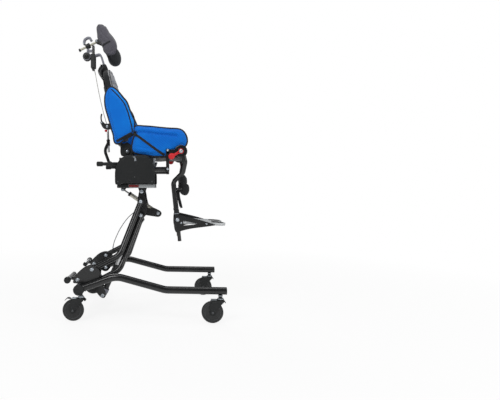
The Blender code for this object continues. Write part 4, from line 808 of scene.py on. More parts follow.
def boltRule():
    # Domed heads, each on a washer, at points that carry the way they face
    rule = Rule("boltHeads", {"Head Radius": 0.0078, "Head Height": 0.0035, "Washer Share": 1.22})
    radius, height = rule.size("Head Radius"), rule.size("Head Height")
    dome = rule.add("GeometryNodeMeshUVSphere", None, {"Segments": 24, "Rings": 12, "Radius": 1.0})
    dome = rule.add("GeometryNodeTransform", None, {"Geometry": dome,
        "Scale": rule.vector(radius, radius, height)})
    washer = rule.add("GeometryNodeMeshCylinder", None, {
        "Vertices": 24, "Radius": radius * rule.size("Washer Share"), "Depth": height * 0.36,
    })
    socket = rule.add("GeometryNodeMeshCylinder", None, {"Vertices": 6, "Radius": radius * 0.36,
        "Depth": height * 0.2})
    socket = rule.add("GeometryNodeTransform", None, {
        "Geometry": socket, "Translation": rule.vector(0.0, 0.0, height * 0.92),
    })
    way = rule.add("GeometryNodeInputNamedAttribute", {"data_type": "FLOAT_VECTOR"}, {"Name": "way"})
    placed = rule.add("GeometryNodeInstanceOnPoints", None, {
        "Points": rule.size("Geometry"), "Instance": rule.join(dome, washer, socket),
        "Rotation": rule.facing(way, "Z"),
    })
    smooth = rule.add("GeometryNodeSetShadeSmooth", None, {0: placed})
    return rule.finish(smooth)


def stitchRule():
    # Short threads laid end to end along a line, or the teeth of a zip
    rule = Rule("stitches", {"Pitch": 0.004, "Length": 0.0028, "Thickness": 0.0007, "Flatness": 0.6})
    line = rule.add("GeometryNodeMeshToCurve", None, {0: rule.size("Geometry")})
    even = rule.add("GeometryNodeResampleCurve", {"mode": "LENGTH"},
        {"Curve": line, "Length": rule.size("Pitch")})
    thread = rule.add("GeometryNodeMeshUVSphere", None, {"Segments": 8, "Rings": 5, "Radius": 0.5})
    thread = rule.add("GeometryNodeTransform", None, {"Geometry": thread, "Scale": rule.vector(
        rule.size("Length"), rule.size("Thickness") * 2.0,
        rule.size("Thickness") * rule.size("Flatness") * 2.0,
    )})
    way = rule.add("GeometryNodeInputTangent")
    placed = rule.add("GeometryNodeInstanceOnPoints", None, {
        "Points": even, "Instance": thread, "Rotation": rule.facing(way, "X"),
    })
    return rule.finish(rule.add("GeometryNodeSetShadeSmooth", None, {0: placed}))


def pipingRule():
    # Corded edge trim that follows a seam, a little uneven as sewn cord is
    rule = Rule("piping", {"Radius": 0.0024, "Step": 0.004, "Uneven": 0.12, "Seed": 4})
    line = rule.add("GeometryNodeMeshToCurve", None, {0: rule.size("Geometry")})
    even = rule.add("GeometryNodeResampleCurve", {"mode": "LENGTH"},
        {"Curve": line, "Length": rule.size("Step")})
    change = rule.add("FunctionNodeRandomValue", {"data_type": "FLOAT"}, {
        2: 1.0 - rule.size("Uneven"), 3: 1.0, "Seed": rule.size("Seed"),
    }, output=1)
    ring = rule.add("GeometryNodeCurvePrimitiveCircle", None, {"Resolution": 10, "Radius": 1.0})
    sized = rule.add("GeometryNodeSetCurveRadius", None,
        {"Curve": even, "Radius": rule.size("Radius") * change})
    cord = rule.add("GeometryNodeCurveToMesh", None, {
        "Curve": sized, "Profile Curve": ring, "Fill Caps": True,
    })
    if "Scale" in cord.socket.node.inputs:
        rule.feed(cord.socket.node.inputs["Scale"], rule.size("Radius") * change)
    return rule.finish(rule.add("GeometryNodeSetShadeSmooth", None, {0: cord}))


def hoopRule():
    # Rings round an axis at even steps: grip ribs, tyre grooves, collars
    rule = Rule("hoops", {"Count": 3, "Step": 0.008, "Hoop Radius": 0.0125, "Bead Radius": 0.0012})
    hoop = rule.add("GeometryNodeCurvePrimitiveCircle", None,
        {"Resolution": 32, "Radius": rule.size("Hoop Radius")})
    bead = rule.add("GeometryNodeCurvePrimitiveCircle", None,
        {"Resolution": 8, "Radius": rule.size("Bead Radius")})
    ring = rule.add("GeometryNodeCurveToMesh", None, {"Curve": hoop, "Profile Curve": bead})
    line = rule.add("GeometryNodeMeshLine", None, {
        "Count": rule.size("Count"), "Offset": rule.vector(0.0, 0.0, rule.size("Step")),
    })
    row = rule.add("GeometryNodeInstanceOnPoints", None, {"Points": line, "Instance": ring})
    way = rule.add("GeometryNodeInputNamedAttribute", {"data_type": "FLOAT_VECTOR"}, {"Name": "way"})
    placed = rule.add("GeometryNodeInstanceOnPoints", None, {
        "Points": rule.size("Geometry"), "Instance": row, "Rotation": rule.facing(way, "Z"),
    })
    return rule.finish(rule.add("GeometryNodeSetShadeSmooth", None, {0: placed}))


def holeRule():
    # Pegs in bowed rows, used as the tool that pierces a plate
    rule = Rule("bowedHoles", {
        "Rows": 5, "Columns": 7, "Row Step": 0.011, "Column Step": 0.013, "Bow": 3.2, "Hole Radius": 0.0026,
        "Depth": 0.03,
    })
    rows, columns = rule.size("Rows"), rule.size("Columns")
    grid = rule.add("GeometryNodeMeshGrid", None, {
        "Size X": (rows - 1.0) * rule.size("Row Step"), "Size Y": (columns - 1.0) * rule.size("Column Step"),
        "Vertices X": rows, "Vertices Y": columns,
    })
    spot = rule.add("GeometryNodeInputPosition")
    parts = rule.add("ShaderNodeSeparateXYZ", None, {0: spot}).socket.node
    across = Wire(rule, parts.outputs[1])
    bowed = rule.add("GeometryNodeSetPosition", None, {
        "Geometry": grid, "Offset": rule.vector(across * across * rule.size("Bow") * -1.0, 0.0, 0.0),
    })
    peg = rule.add("GeometryNodeMeshCylinder", None, {
        "Vertices": 12, "Radius": rule.size("Hole Radius"), "Depth": rule.size("Depth"),
    })
    pegs = rule.add("GeometryNodeInstanceOnPoints", None, {"Points": bowed, "Instance": peg})
    placed = rule.add("GeometryNodeInstanceOnPoints", None,
        {"Points": rule.size("Geometry"), "Instance": pegs})
    return rule.finish(placed)


boltHeads, stitches, piping, hoops, bowedHoles = boltRule(), stitchRule(), pipingRule(), hoopRule(), holeRule()


def repeated(name, tree, points, material, sizes=None, ways=None, lines=(), closed=False):
    # Runs one of the trees on points or lines and keeps the result as a plain mesh
    edges = list(lines)
    if not edges and ways is None and len(points) > 1:
        edges = [(k, k + 1) for k in range(len(points) - 1)]
        if closed:
            edges.append((len(points) - 1, 0))
    mesh = bpy.data.meshes.new(name)
    mesh.from_pydata([tuple(point) for point in points], edges, [])
    if ways is not None:
        mesh.attributes.new("way", "FLOAT_VECTOR", "POINT")
        mesh.attributes["way"].data.foreach_set("vector", [part for way in ways for part in way])
    item = newItem(name, mesh)
    step = item.modifiers.new(tree.name, "NODES")
    step.node_group = tree
    values = dict(sizes or {})
    values["Material"] = material
    for socket in tree.interface.items_tree:
        if socket.in_out == "INPUT" and socket.name in values:
            step[socket.identifier] = values[socket.name]
    settled(item)
    item.data.materials.clear()
    item.data.materials.append(material)
    return item


def boltRow(name, body, slotName, entries, radius=0.0078, height=0.0035, material=zincSteel):
    # entries are (spot, y, facing) with facing +1 or -1 along y
    points = [at(spot, y) for spot, y, facing in entries]
    ways = [(0.0, facing, 0.0) for spot, y, facing in entries]
    item = repeated(name, boltHeads, points, material, {"Head Radius": radius, "Head Height": height}, ways)
    return dress(item, None, body, slotName)


print("helpers and node trees made")


# base frame

crossTube = {"spot": (-0.297, 0.147), "radius": 0.025, "half": 0.292, "plugLip": 0.0035}
lug = {"inner": 0.0199, "thick": 0.005, "foot": (-0.224, 0.059)}
lugOutline = (
    (-0.3215, 0.14), (-0.308, 0.1), (-0.29, 0.079), (-0.271, 0.0735), (-0.256, 0.0735),
    (-0.24, 0.056), (-0.224, 0.046), (-0.211, 0.05), (-0.206, 0.065), (-0.211, 0.086),
    (-0.225, 0.112), (-0.248, 0.15), (-0.274, 0.165),
)
reach = crossTube["half"] - crossTube["plugLip"]
barrel = crossRod("barrel", crossTube["spot"], -reach, reach, crossTube["radius"], 0.001, 64)
cheeks = [
    sheetPlate("cheek", lugOutline, side * lug["inner"], side * (lug["inner"] + lug["thick"]), 0.0014)
    for side in (-1, 1)
]
lugPin = crossRod("pin", lug["foot"], -0.0255, 0.0255, 0.006)
standIn(joined("crossTube", [barrel, lugPin] + cheeks), blackPaint, "base", "rear_cross_tube")
plugs = []
for side in (-1, 1):
    start = at(crossTube["spot"], side * (reach - 0.002))
    radius = crossTube["radius"]
    plugs.append(turned("plug", start, (0, side, 0), (
        (0.0, radius + 0.0003), (0.0022, radius + 0.0006), (0.0038, radius), (0.005, radius * 0.93),
        (0.0054, radius * 0.8), (0.0048, radius * 0.74), (0.0048, radius * 0.3), (0.0055, 0.0005),
    ), 64))
dress(joined("crossTubePlugs", plugs), blackMoulding, "base", "rear_cross_tube")

rail = {"radius": 0.017, "half": 0.27, "bend": 0.11, "line": (
    (-0.297, 0.147), (-0.123, 0.211), (0.109, 0.1495), (0.392, 0.148),
)}
for label, tail, side in sides:
    corners = [at(spot, side * rail["half"]) for spot in rail["line"]]
    corners[-1] = corners[-1] - Vector((0.0022, 0, 0))
    standIn(tube("rail" + label, corners, rail["radius"], rail["bend"], 48, 14), blackPaint, "base",
          "side_rail_" + tail)
    radius = rail["radius"]
    cap = turned("railCap" + label, at((0.3885, 0.148), side * rail["half"]), (1, 0, 0), (
        (0.0, radius + 0.0002), (0.0016, radius + 0.0005), (0.003, radius), (0.0036, radius * 0.86),
        (0.003, radius * 0.78), (0.0032, 0.0005),
    ), 48)
    dress(cap, blackMoulding, "base", "side_rail_" + tail)
    weld = turned("railWeld" + label, at((-0.2735, 0.1556), side * rail["half"]), (0.938, 0, 0.345), (
        (0.0, radius + 0.0004), (0.0016, radius + 0.0024), (0.0034, radius + 0.0022),
        (0.0052, radius + 0.0002),
    ), 48)
    dress(weld, blackPaint, "base", "side_rail_" + tail)

leaf = {"gap": 0.0148, "thick": 0.004, "half": 0.23, "upper": (-0.241, 0.236), "lower": (-0.241, 0.166),
        "pedal": (-0.31, 0.187)}
leafOutline = (
    (-0.3295, 0.172), (-0.33, 0.184), (-0.3265, 0.198), (-0.318, 0.211), (-0.305, 0.225),
    (-0.287, 0.24), (-0.268, 0.25), (-0.25, 0.255), (-0.232, 0.2535), (-0.217, 0.246),
    (-0.206, 0.235), (-0.201, 0.22), (-0.206, 0.195), (-0.215, 0.165), (-0.228, 0.1475),
    (-0.244, 0.143), (-0.26, 0.148), (-0.28, 0.165), (-0.3, 0.169),
)
for label, tail, side in sides:
    pieces = []
    for way in (-1, 1):
        near = side * leaf["half"] + way * leaf["gap"]
        pieces.append(sheetPlate("leaf", leafOutline, near, near + way * leaf["thick"], 0.0012))
    for spot in (leaf["upper"], leaf["lower"], leaf["pedal"]):
        pieces.append(crossRod("pin", spot, side * (leaf["half"] - 0.0185), side * (leaf["half"] + 0.0185),
            0.005))
    name = "base_bracket_" + tail
    standIn(joined("leafBracket" + label, pieces), blackPaint, "base", name)
edge = leaf["gap"] + leaf["thick"]
for label, tail, side in sides:
    boltRow("leafBolts" + label, "base", "base_bracket_" + tail, [
        (spot, side * leaf["half"] + way * edge, way)
        for spot in (leaf["upper"], leaf["lower"], leaf["pedal"]) for way in (-1, 1)
    ])
boltRow("lugBolts", "base", "rear_cross_tube", [
    (lug["foot"], side * (lug["inner"] + lug["thick"]), side) for side in (-1, 1)
], 0.0085, 0.004)

print("base made")

# lift arms

arm = {"radius": 0.014, "knee": (-0.11, 0.304), "top": (-0.017, 0.557), "spacing": 0.07, "baseHalf": 0.23,
       "topHalf": 0.1015, "straight": 0.0085, "bend": 0.06, "endBend": 0.026, "eye": 0.0158,
       "eyeWidth": 0.0288}
armSlope = math.atan2(arm["top"][1] - arm["knee"][1], arm["top"][0] - arm["knee"][0])
armShoulder = (
    arm["top"][0] - arm["straight"] * math.cos(armSlope),
    arm["top"][1] - arm["straight"] * math.sin(armSlope),
)
armTops = [(arm["top"][0], arm["top"][1] - drop) for drop in (0.0, arm["spacing"])]


def armLine(side, drop, steps=14):
    spots = (leaf["upper"], arm["knee"], armShoulder, arm["top"])
    halves = (arm["baseHalf"], arm["baseHalf"], arm["topHalf"], arm["topHalf"])
    corners = [at((x, z - drop), side * half) for (x, z), half in zip(spots, halves)]
    lead = filleted(corners[:3], arm["bend"], steps)
    return lead[:-1] + filleted([lead[-2], corners[2], corners[3]], arm["endBend"], 6)[1:]


for level, drop, bodies in (
    ("upper", 0.0, ("lift_arm_right", "lift_arm_left")),
    ("lower", arm["spacing"], ("lower_arms", "lower_arms")),
):
    for (label, tail, side), body in zip(sides, bodies):
        pieces = [swept("bar", armLine(side, drop), roundSection(arm["radius"], 40))]
        foot = (leaf["upper"][0], leaf["upper"][1] - drop)
        top = (arm["top"][0], arm["top"][1] - drop)
        for spot, half in ((foot, arm["baseHalf"]), (top, arm["topHalf"])):
            pieces.append(crossRod("eye", spot, *span(side, half - arm["eyeWidth"] / 2,
                half + arm["eyeWidth"] / 2), arm["eye"], 0.0016, 48))
        name = level + "_arm_" + tail
        standIn(joined(level + "Arm" + label, pieces), blackPaint, body, name)

bridgeSpot = (
    arm["top"][0] - 0.036 * math.cos(armSlope) + 0.012,
    arm["top"][1] - arm["spacing"] - 0.036 * math.sin(armSlope),
)
liftHead = (-0.0443, 0.4612)
lugSweep = math.atan2(liftHead[1] - bridgeSpot[1], liftHead[0] - bridgeSpot[0])
tip = [
    (liftHead[0] + 0.0125 * math.cos(lugSweep + math.pi * (k / 10 - 0.5)),
     liftHead[1] + 0.0125 * math.sin(lugSweep + math.pi * (k / 10 - 0.5)))
    for k in range(11)
]
root = [
    (bridgeSpot[0] + share * 0.0125 * math.sin(lugSweep), bridgeSpot[1] - share * 0.0125 * math.cos(lugSweep))
    for share in (-1, 1)
]
pieces = [crossRod("bar", bridgeSpot, -0.0935, 0.0935, 0.0095, 0.0008, 40)]
for side in (-1, 1):
    pieces.append(sheetPlate("ear", tip + root, *span(side, 0.0083, 0.0133), 0.001, 1))
standIn(joined("armBridge", pieces), blackPaint, "lower_arms", "arm_bridge")
boltRow("bridgeBolts", "lower_arms", "arm_bridge", [(liftHead, side * 0.0133, side) for side in (-1, 1)],
        0.0072, 0.003)

print("lift arms made")

# carrier, lift cylinder and tilt spring

carrier = {"inner": 0.08, "outer": 0.0867, "tubeSpot": (-0.008, 0.494), "tilt": (-0.0135, 0.607),
           "footBolt": (0.067, 0.491), "footNear": 0.0328, "footFar": 0.0572, "footThick": 0.0045}
carrierOutline = (
    (-0.025, 0.612), (-0.0305, 0.59), (-0.035, 0.562), (-0.036, 0.53), (-0.035, 0.505),
    (-0.033, 0.482), (-0.026, 0.47), (-0.014, 0.4665), (-0.003, 0.474), (0.009, 0.498),
    (0.017, 0.524), (0.012, 0.545), (0.006, 0.57), (0.003, 0.592), (-0.002, 0.612),
    (-0.0075, 0.6185), (-0.019, 0.6185),
)
footOutline = (
    (-0.008, 0.504), (0.02, 0.515), (0.044, 0.518), (0.065, 0.509), (0.079, 0.501),
    (0.086, 0.489), (0.081, 0.477), (0.068, 0.471), (0.043, 0.474), (0.015, 0.478),
    (-0.008, 0.484),
)
pieces = [crossRod("tube", carrier["tubeSpot"], -0.085, 0.085, 0.0125, 0.0008, 40)]
for side in (-1, 1):
    pieces.append(sheetPlate("plate", carrierOutline, *span(side, carrier["inner"], carrier["outer"]),
        0.0016))
    for spot in armTops:
        pieces.append(crossRod("pin", spot, side * 0.081, side * 0.1165, 0.005))
for near in (carrier["footNear"] - carrier["footThick"], carrier["footFar"]):
    pieces.append(sheetPlate("footPlate", footOutline, near, near + carrier["footThick"], 0.0012))
pieces.append(crossRod("footPin", carrier["footBolt"], 0.029, 0.061, 0.005))
standIn(joined("carrierBracket", pieces), blackPaint, "carrier", "carrier_bracket")
boltRow("carrierBolts", "carrier", "carrier_bracket", [
    (spot, side * 0.1163, side) for spot in armTops for side in (-1, 1)
] + [(carrier["footBolt"], 0.0617, 1), (carrier["footBolt"], 0.0283, -1)])
topCaps = [
    crossRod("cap", carrier["tilt"], side * 0.0905, side * 0.0955, 0.0095, 0.0014, 32) for side in (-1, 1)
]
dress(joined("tiltHingeCaps", topCaps), zincSteel, "seat_unit", "seat_tray")

liftFoot, liftTop = at(lug["foot"]), at(liftHead)
liftWay = (liftTop - liftFoot).normalized()
liftLength = (liftTop - liftFoot).length
cylinder = turned("shell", liftFoot, liftWay, (
    (0.007, 0.012), (0.013, 0.0172), (0.02, 0.0188), (0.038, 0.019), (0.0405, 0.0168), (0.0415, 0.0142),
    (0.06, 0.014), (0.162, 0.014), (0.164, 0.015), (0.166, 0.0152), (0.175, 0.0152), (0.177, 0.014),
    (0.177, 0.0096), (0.17, 0.0092),
), 48)
eyePart = crossRod("eye", lug["foot"], -0.0192, 0.0192, 0.012, 0.0012, 40)
standIn(joined("liftShell", [cylinder, eyePart]), blackPaint, "lift_cylinder", "lift_cylinder")
sleeve = turned("liftFootCollar", liftFoot + liftWay * 0.015, liftWay, (
    (0.0, 0.017), (0.001, 0.0188), (0.004, 0.0192), (0.021, 0.0193), (0.0228, 0.0188), (0.0236, 0.017),
), 48)
dress(sleeve, silverPaint, "lift_cylinder", "lift_cylinder")
collars = repeated("liftCollars", hoops, [liftFoot + liftWay * 0.169], blackMoulding,
                   {"Count": 3, "Step": 0.0028, "Hoop Radius": 0.0151, "Bead Radius": 0.0006},
                   [tuple(liftWay)])
dress(collars, None, "lift_cylinder", "lift_cylinder")
polished = turned("liftPiston", liftFoot + liftWay * 0.148, liftWay, (
    (0.0, 0.0088), (liftLength - 0.227, 0.009), (liftLength - 0.2255, 0.0102), (liftLength - 0.224, 0.0114),
    (liftLength - 0.18, 0.0115), (liftLength - 0.172, 0.01), (liftLength - 0.16, 0.008),
    (liftLength - 0.149, 0.008), (liftLength - 0.148, 0.007),
), 40)
for side in (-1, 1):
    middle = liftTop + Vector((0, side * 0.019, 0))
    minus(polished, swept("flat", [middle - liftWay * 0.05, middle + liftWay * 0.05],
        barSection(0.023, 0.046, 0.02, 1)))
standIn(polished, drawnSteel, "lift_rod", "lift_rod")

springPin = (-0.122, 0.618)
springFoot, springTop = at(carrier["footBolt"], 0.045), at(springPin, 0.045)
springWay = (springTop - springFoot).normalized()
springLength = (springTop - springFoot).length
shell = turned("shell", springFoot + springWay * 0.004, springWay, (
    (0.0, 0.0074), (0.006, 0.0078), (0.012, 0.0102), (0.0155, 0.011), (0.17, 0.011), (0.1732, 0.0106),
), 40)
eyePart = crossRod("eye", carrier["footBolt"], 0.0333, 0.0567, 0.0078, 0.001, 32)
standIn(joined("tiltSpringShell", [shell, eyePart]), warmSteel, "tilt_spring_tube", "tilt_spring_tube")
collar = turned("tiltSpringCollar", springFoot + springWay * 0.178, springWay, (
    (0.0, 0.0108), (0.0006, 0.0122), (0.0015, 0.0125), (0.01, 0.0125), (0.0112, 0.0118), (0.0118, 0.006),
), 40)
dress(collar, blackMoulding, "tilt_spring_tube", "tilt_spring_tube")
rodPart = roundedRod("rod", springFoot + springWay * 0.13, springFoot + springWay * (springLength - 0.004),
    0.0045)
eyePart = crossRod("eye", springPin, 0.0333, 0.0567, 0.0078, 0.0012, 32)
standIn(joined("tiltSpringRod", [rodPart, eyePart]), drawnSteel, "tilt_spring_rod", "tilt_spring_rod")
print("carrier, cylinder and spring made")

# castors

castor = {"trail": 0.037, "wheel": 0.05, "tread": 0.012, "inner": 0.0135, "cheek": 0.0035,
          "half": 0.27, "rows": (("rear", "Rear", -0.288, 0.122), ("front", "Front", 0.363, 0.131))}
forkOutline = (
    (0.01, 0.0565), (-0.002, 0.0558), (-0.03, 0.0545), (-0.043, 0.049), (-0.0492, 0.036), (-0.0475, 0.006),
    (-0.0425, -0.006), (-0.037, -0.0078), (-0.031, -0.006), (-0.0265, 0.002), (-0.006, 0.026),
    (0.0155, 0.0505),
)
hoodLine = (
    (-0.044, 0.049), (-0.04, 0.0525), (-0.03, 0.0545), (-0.015, 0.055), (0.002, 0.055), (0.011, 0.0535),
    (0.0185, 0.05), (0.0215, 0.046),
)
wheelProfile = (
    (0.0, 0.015), (0.0012, 0.0165), (0.0034, 0.0178), (0.004, 0.02), (0.004, 0.0335), (0.0034, 0.0352),
    (0.0008, 0.0366), (0.0, 0.038),
)
tyreProfile = (
    (0.0004, 0.038), (-0.0, 0.041), (0.0006, 0.0455), (0.0028, 0.0484), (0.0064, 0.0498), (0.012, 0.0501),
)
for row, rowName, x, mount in castor["rows"]:
    for label, tail, side in sides:
        ending = row + "_" + tail
        y = side * castor["half"]
        rim = castor["wheel"]
        out = castor["inner"] + castor["cheek"]
        outline = [(x + u, rim + v) for u, v in forkOutline]
        pieces = []
        for way in (-1, 1):
            ends = sorted((y + way * castor["inner"], y + way * out))
            pieces.append(sheetPlate("cheek", outline, ends[0], ends[1], 0.0011))
        top = smoothLine([at((x + u, rim + v), y) for u, v in hoodLine], 5)
        pieces.append(swept("hood", top, barSection(2 * out - 0.001, 0.004, 0.45, 4)))
        pieces.append(turned("neck", Vector((x + centring, y, 0.1035)), (0, 0, 1), (
            (0.0, 0.015), (0.0022, 0.0164), (0.0052, 0.0166), (0.0068, 0.016), (0.008, 0.013), (0.0086, 0.01),
            (0.0098, 0.0092), (mount - 0.104, 0.009), (mount - 0.1035, 0.0086),
        ), 40))
        axle = (x - castor["trail"], rim)
        pieces.append(crossRod("axle", axle, y - out - 0.0016, y + out + 0.0016, 0.006, 0.0008, 24))
        fork = joined("fork" + rowName + label, pieces)
        standIn(fork, blackMoulding, "castor_" + ending, "castor_fork_" + ending)
        boltRow("axleBolts" + rowName + label, "castor_" + ending, "castor_fork_" + ending, [
            (axle, y + way * (out + 0.0014), way) for way in (-1, 1)
        ], 0.0044, 0.0014, greyMoulding)
        bearing = turned("forkBearing" + rowName + label, Vector((x + centring, y, 0.1106)), (0, 0, 1), (
            (0.0, 0.0128), (0.0004, 0.0148), (0.0024, 0.015), (0.0034, 0.0146), (0.0038, 0.01),
        ), 36)
        dress(bearing, zincSteel, "castor_" + ending, "castor_fork_" + ending)
        capPlate = block("forkPlate" + rowName + label, (x - 0.043, y - 0.0125, 0.1062),
            (x - 0.018, y + 0.0125, 0.1082),
                         0.0008, 2)
        dress(capPlate, zincSteel, "castor_" + ending, "castor_fork_" + ending)
        washer = turned("stemWasher" + rowName + label, Vector((x + centring, y, mount - 0.0062)), (0, 0, 1), (
            (0.0, 0.0098), (0.0004, 0.0112), (0.0024, 0.0112), (0.0028, 0.0098),
        ), 32)
        dress(washer, zincSteel, "castor_" + ending, "castor_fork_" + ending)

        start = at(axle, y - castor["tread"])
        width = 2 * castor["tread"]
        disc = [(d, r) for d, r in wheelProfile] + [(width - d, r) for d, r in reversed(wheelProfile)]
        hubDisc = turned("disc", start, (0, 1, 0), [(0.0, 0.0062)] + disc + [(width, 0.0062)], 64)
        ribs = []
        for k in range(5):
            swing = Matrix.Rotation(math.tau * k / 5 + 0.3, 4, "Y")
            for way in (-1, 1):
                rib = swept("rib", [Vector((0, way * 0.0082, 0.017)), Vector((0, way * 0.0086, 0.035))],
                            barSection(0.003, 0.0036, 0.3, 2))
                rib.data.transform(Matrix.Translation(at(axle, y)) @ swing)
                ribs.append(rib)
        wheelDisc = joined("wheelDisc" + rowName + label, [hubDisc] + ribs)
        wheelBody = "wheel_" + ending
        standIn(wheelDisc, blackMoulding, wheelBody, "castor_wheel_" + ending)
        tread = [(d, r) for d, r in tyreProfile] + [(width - d, r) for d, r in reversed(tyreProfile[:-1])]
        band = turned("tyre" + rowName + label, start, (0, 1, 0), tread, 96)
        dress(band, tyreRubber, wheelBody, "castor_wheel_" + ending)
        grooves = repeated("tyreLines" + rowName + label, hoops, [start + Vector((0, 0.0062, 0))], tyreRubber, {
            "Count": 3, "Step": 0.0058, "Hoop Radius": 0.04965, "Bead Radius": 0.00055,
        }, [(0.0, 1.0, 0.0)])
        dress(grooves, None, wheelBody, "castor_wheel_" + ending)
        # Grey beads round the rim edge on both faces: painted highlight where the rim's edge catches the light
        rimHighlightBeads = repeated("wheelBeads" + rowName + label, hoops, [start + Vector((0, 0.0004, 0))], greyMoulding, {
            "Count": 2, "Step": width - 0.0008, "Hoop Radius": 0.0368, "Bead Radius": 0.0011,
        }, [(0.0, 1.0, 0.0)])
        dress(rimHighlightBeads, None, wheelBody, "castor_wheel_" + ending)

brake = {"pivot": (-0.046, 0.103), "width": 0.024}
for label, tail, side in sides:
    y = side * castor["half"]
    px, pz = castor["rows"][0][2] + brake["pivot"][0], brake["pivot"][1]
    line = smoothLine([
        at(spot, y) for spot in (
            (px + 0.001, pz + 0.0002), (px - 0.008, pz + 0.0022), (px - 0.0165, pz + 0.004),
            (px - 0.024, pz - 0.001),
            (px - 0.0296, pz - 0.0078),
        )
    ], 5)
    widths = [0.78 + 0.22 * math.sin(math.pi * k / (len(line) - 1)) for k in range(len(line))]
    pad = swept("tab", line, barSection(brake["width"], 0.003, 0.4, 4), sizes=widths)
    ribs = []
    for k in range(4):
        point = line[5 + k * 3] + Vector((0, 0, 0.0016))
        ribs.append(crossRod("rib", (point.x - centring, point.z), y - 0.0085, y + 0.0085, 0.0008, 0.0003,
            10))
    name = "castor_brake_" + tail
    standIn(joined("brakeTab" + label, [pad] + ribs), greyMoulding, "brake_" + tail, name)
print("castors made")

# foot pedals

pedal = {"spot": (-0.3485, 0.1945), "outer": 0.3, "inner": 0.14, "tube": 0.0115, "cap": 0.0155, "lever": 0.23}
for label, tail, side in sides:
    body, name = "pedal_" + tail, "foot_pedal_" + tail
    reach = pedal["outer"] - pedal["inner"]
    start = at(pedal["spot"], side * pedal["inner"])
    bar = turned("pedalTube" + label, start, (0, side, 0), (
        (0.0, 0.01), (0.0006, 0.0111), (0.0016, pedal["tube"]), (reach - 0.015, pedal["tube"]),
        (reach - 0.0148, 0.01),
    ), 48)
    standIn(bar, drawnSteel, body, name)
    cap = turned("pedalCap" + label, start + Vector((0, side * (reach - 0.016), 0)), (0, side, 0), (
        (0.0, 0.012), (0.0004, 0.0148), (0.0018, pedal["cap"]), (0.012, pedal["cap"]), (0.0145, 0.0148),
        (0.0158, 0.0128), (0.016, 0.011), (0.0148, 0.0098), (0.015, 0.0005),
    ), 48)
    innerCap = turned("cap", start - Vector((0, side * 0.0006, 0)), (0, side, 0), (
        (0.0, 0.0006), (0.0001, 0.009), (0.0008, 0.0112), (0.0022, 0.0118), (0.006, 0.0118), (0.0064, 0.0112),
    ), 40)
    capItem = joined("pedalCaps" + label, [cap, innerCap])
    dress(capItem, blackMoulding, body, name)
    grip = repeated("pedalCapRibs" + label, hoops, [start + Vector((0, side * (reach - 0.0125), 0))], blackMoulding, {
        "Count": 3, "Step": 0.0032, "Hoop Radius": 0.0153, "Bead Radius": 0.0006,
    }, [(0.0, float(side), 0.0)])
    dress(grip, None, body, name)
    lever = swept("bar", [at(leaf["pedal"], side * pedal["lever"]), at(pedal["spot"], side * pedal["lever"])],
                  barSection(0.008, 0.018, 0.3, 4))
    eyePart = crossRod("eye", leaf["pedal"], side * pedal["lever"] - 0.004, side * pedal["lever"] + 0.004,
        0.011, 0.001)
    dress(joined("pedalLever" + label, [lever, eyePart]), blackPaint, body, name)
print("pedals made")

# seat tray and side covers

tray = {"back": -0.131, "front": 0.055, "low": 0.626, "high": 0.6445, "half": 0.163, "sleeve": -0.073,
    "inlay": -0.023}
plateItem = block("trayDeck", (tray["sleeve"] - 0.002, -tray["half"], tray["low"]),
                  (tray["front"], tray["half"], tray["high"]), 0.0035, 4)
standIn(plateItem, trayAlloy, "seat_unit", "seat_tray")
lugs = []
for side in (-1, 1):
    lugs.append(sheetPlate("lug", (
        (-0.033, 0.63), (-0.023, 0.601), (-0.018, 0.5965), (-0.009, 0.5965), (-0.004, 0.601), (0.006, 0.63),
    ), *span(side, 0.0871, 0.0921), 0.001, 1))
    lugs.append(crossRod("pin", carrier["tilt"], side * 0.0805, side * 0.0915, 0.005))
dress(joined("tiltLugs", lugs), blackPaint, "seat_unit", "seat_tray")
sleeve = block("sleeve", (tray["back"], -tray["half"] - 0.001, tray["low"] - 0.0008),
               (tray["sleeve"], tray["half"] + 0.001, tray["high"] + 0.0002), 0.004, 4)
lugs = []
for near in (0.0278, 0.0572):
    lugs.append(sheetPlate("lug", (
        (-0.131, 0.63), (-0.132, 0.615), (-0.127, 0.609), (-0.117, 0.609), (-0.112, 0.615), (-0.104, 0.63),
    ), near, near + 0.005, 0.001, 1))
lugs.append(crossRod("pin", springPin, 0.03, 0.06, 0.0036))
dress(joined("traySleeve", [sleeve] + lugs), blackMoulding, "seat_unit", "seat_tray")
boltRow("springBolts", "seat_unit", "seat_tray", [(springPin, 0.0622, 1), (springPin, 0.0278, -1)],
        0.0062, 0.0026)
inlay = block("trayInlay", (tray["sleeve"] + 0.0004, -tray["half"] - 0.0012, tray["low"] + 0.002),
              (tray["inlay"], tray["half"] + 0.0012, tray["high"] - 0.0035), 0.0012, 3)
dress(inlay, redTrim, "seat_unit", "seat_tray")

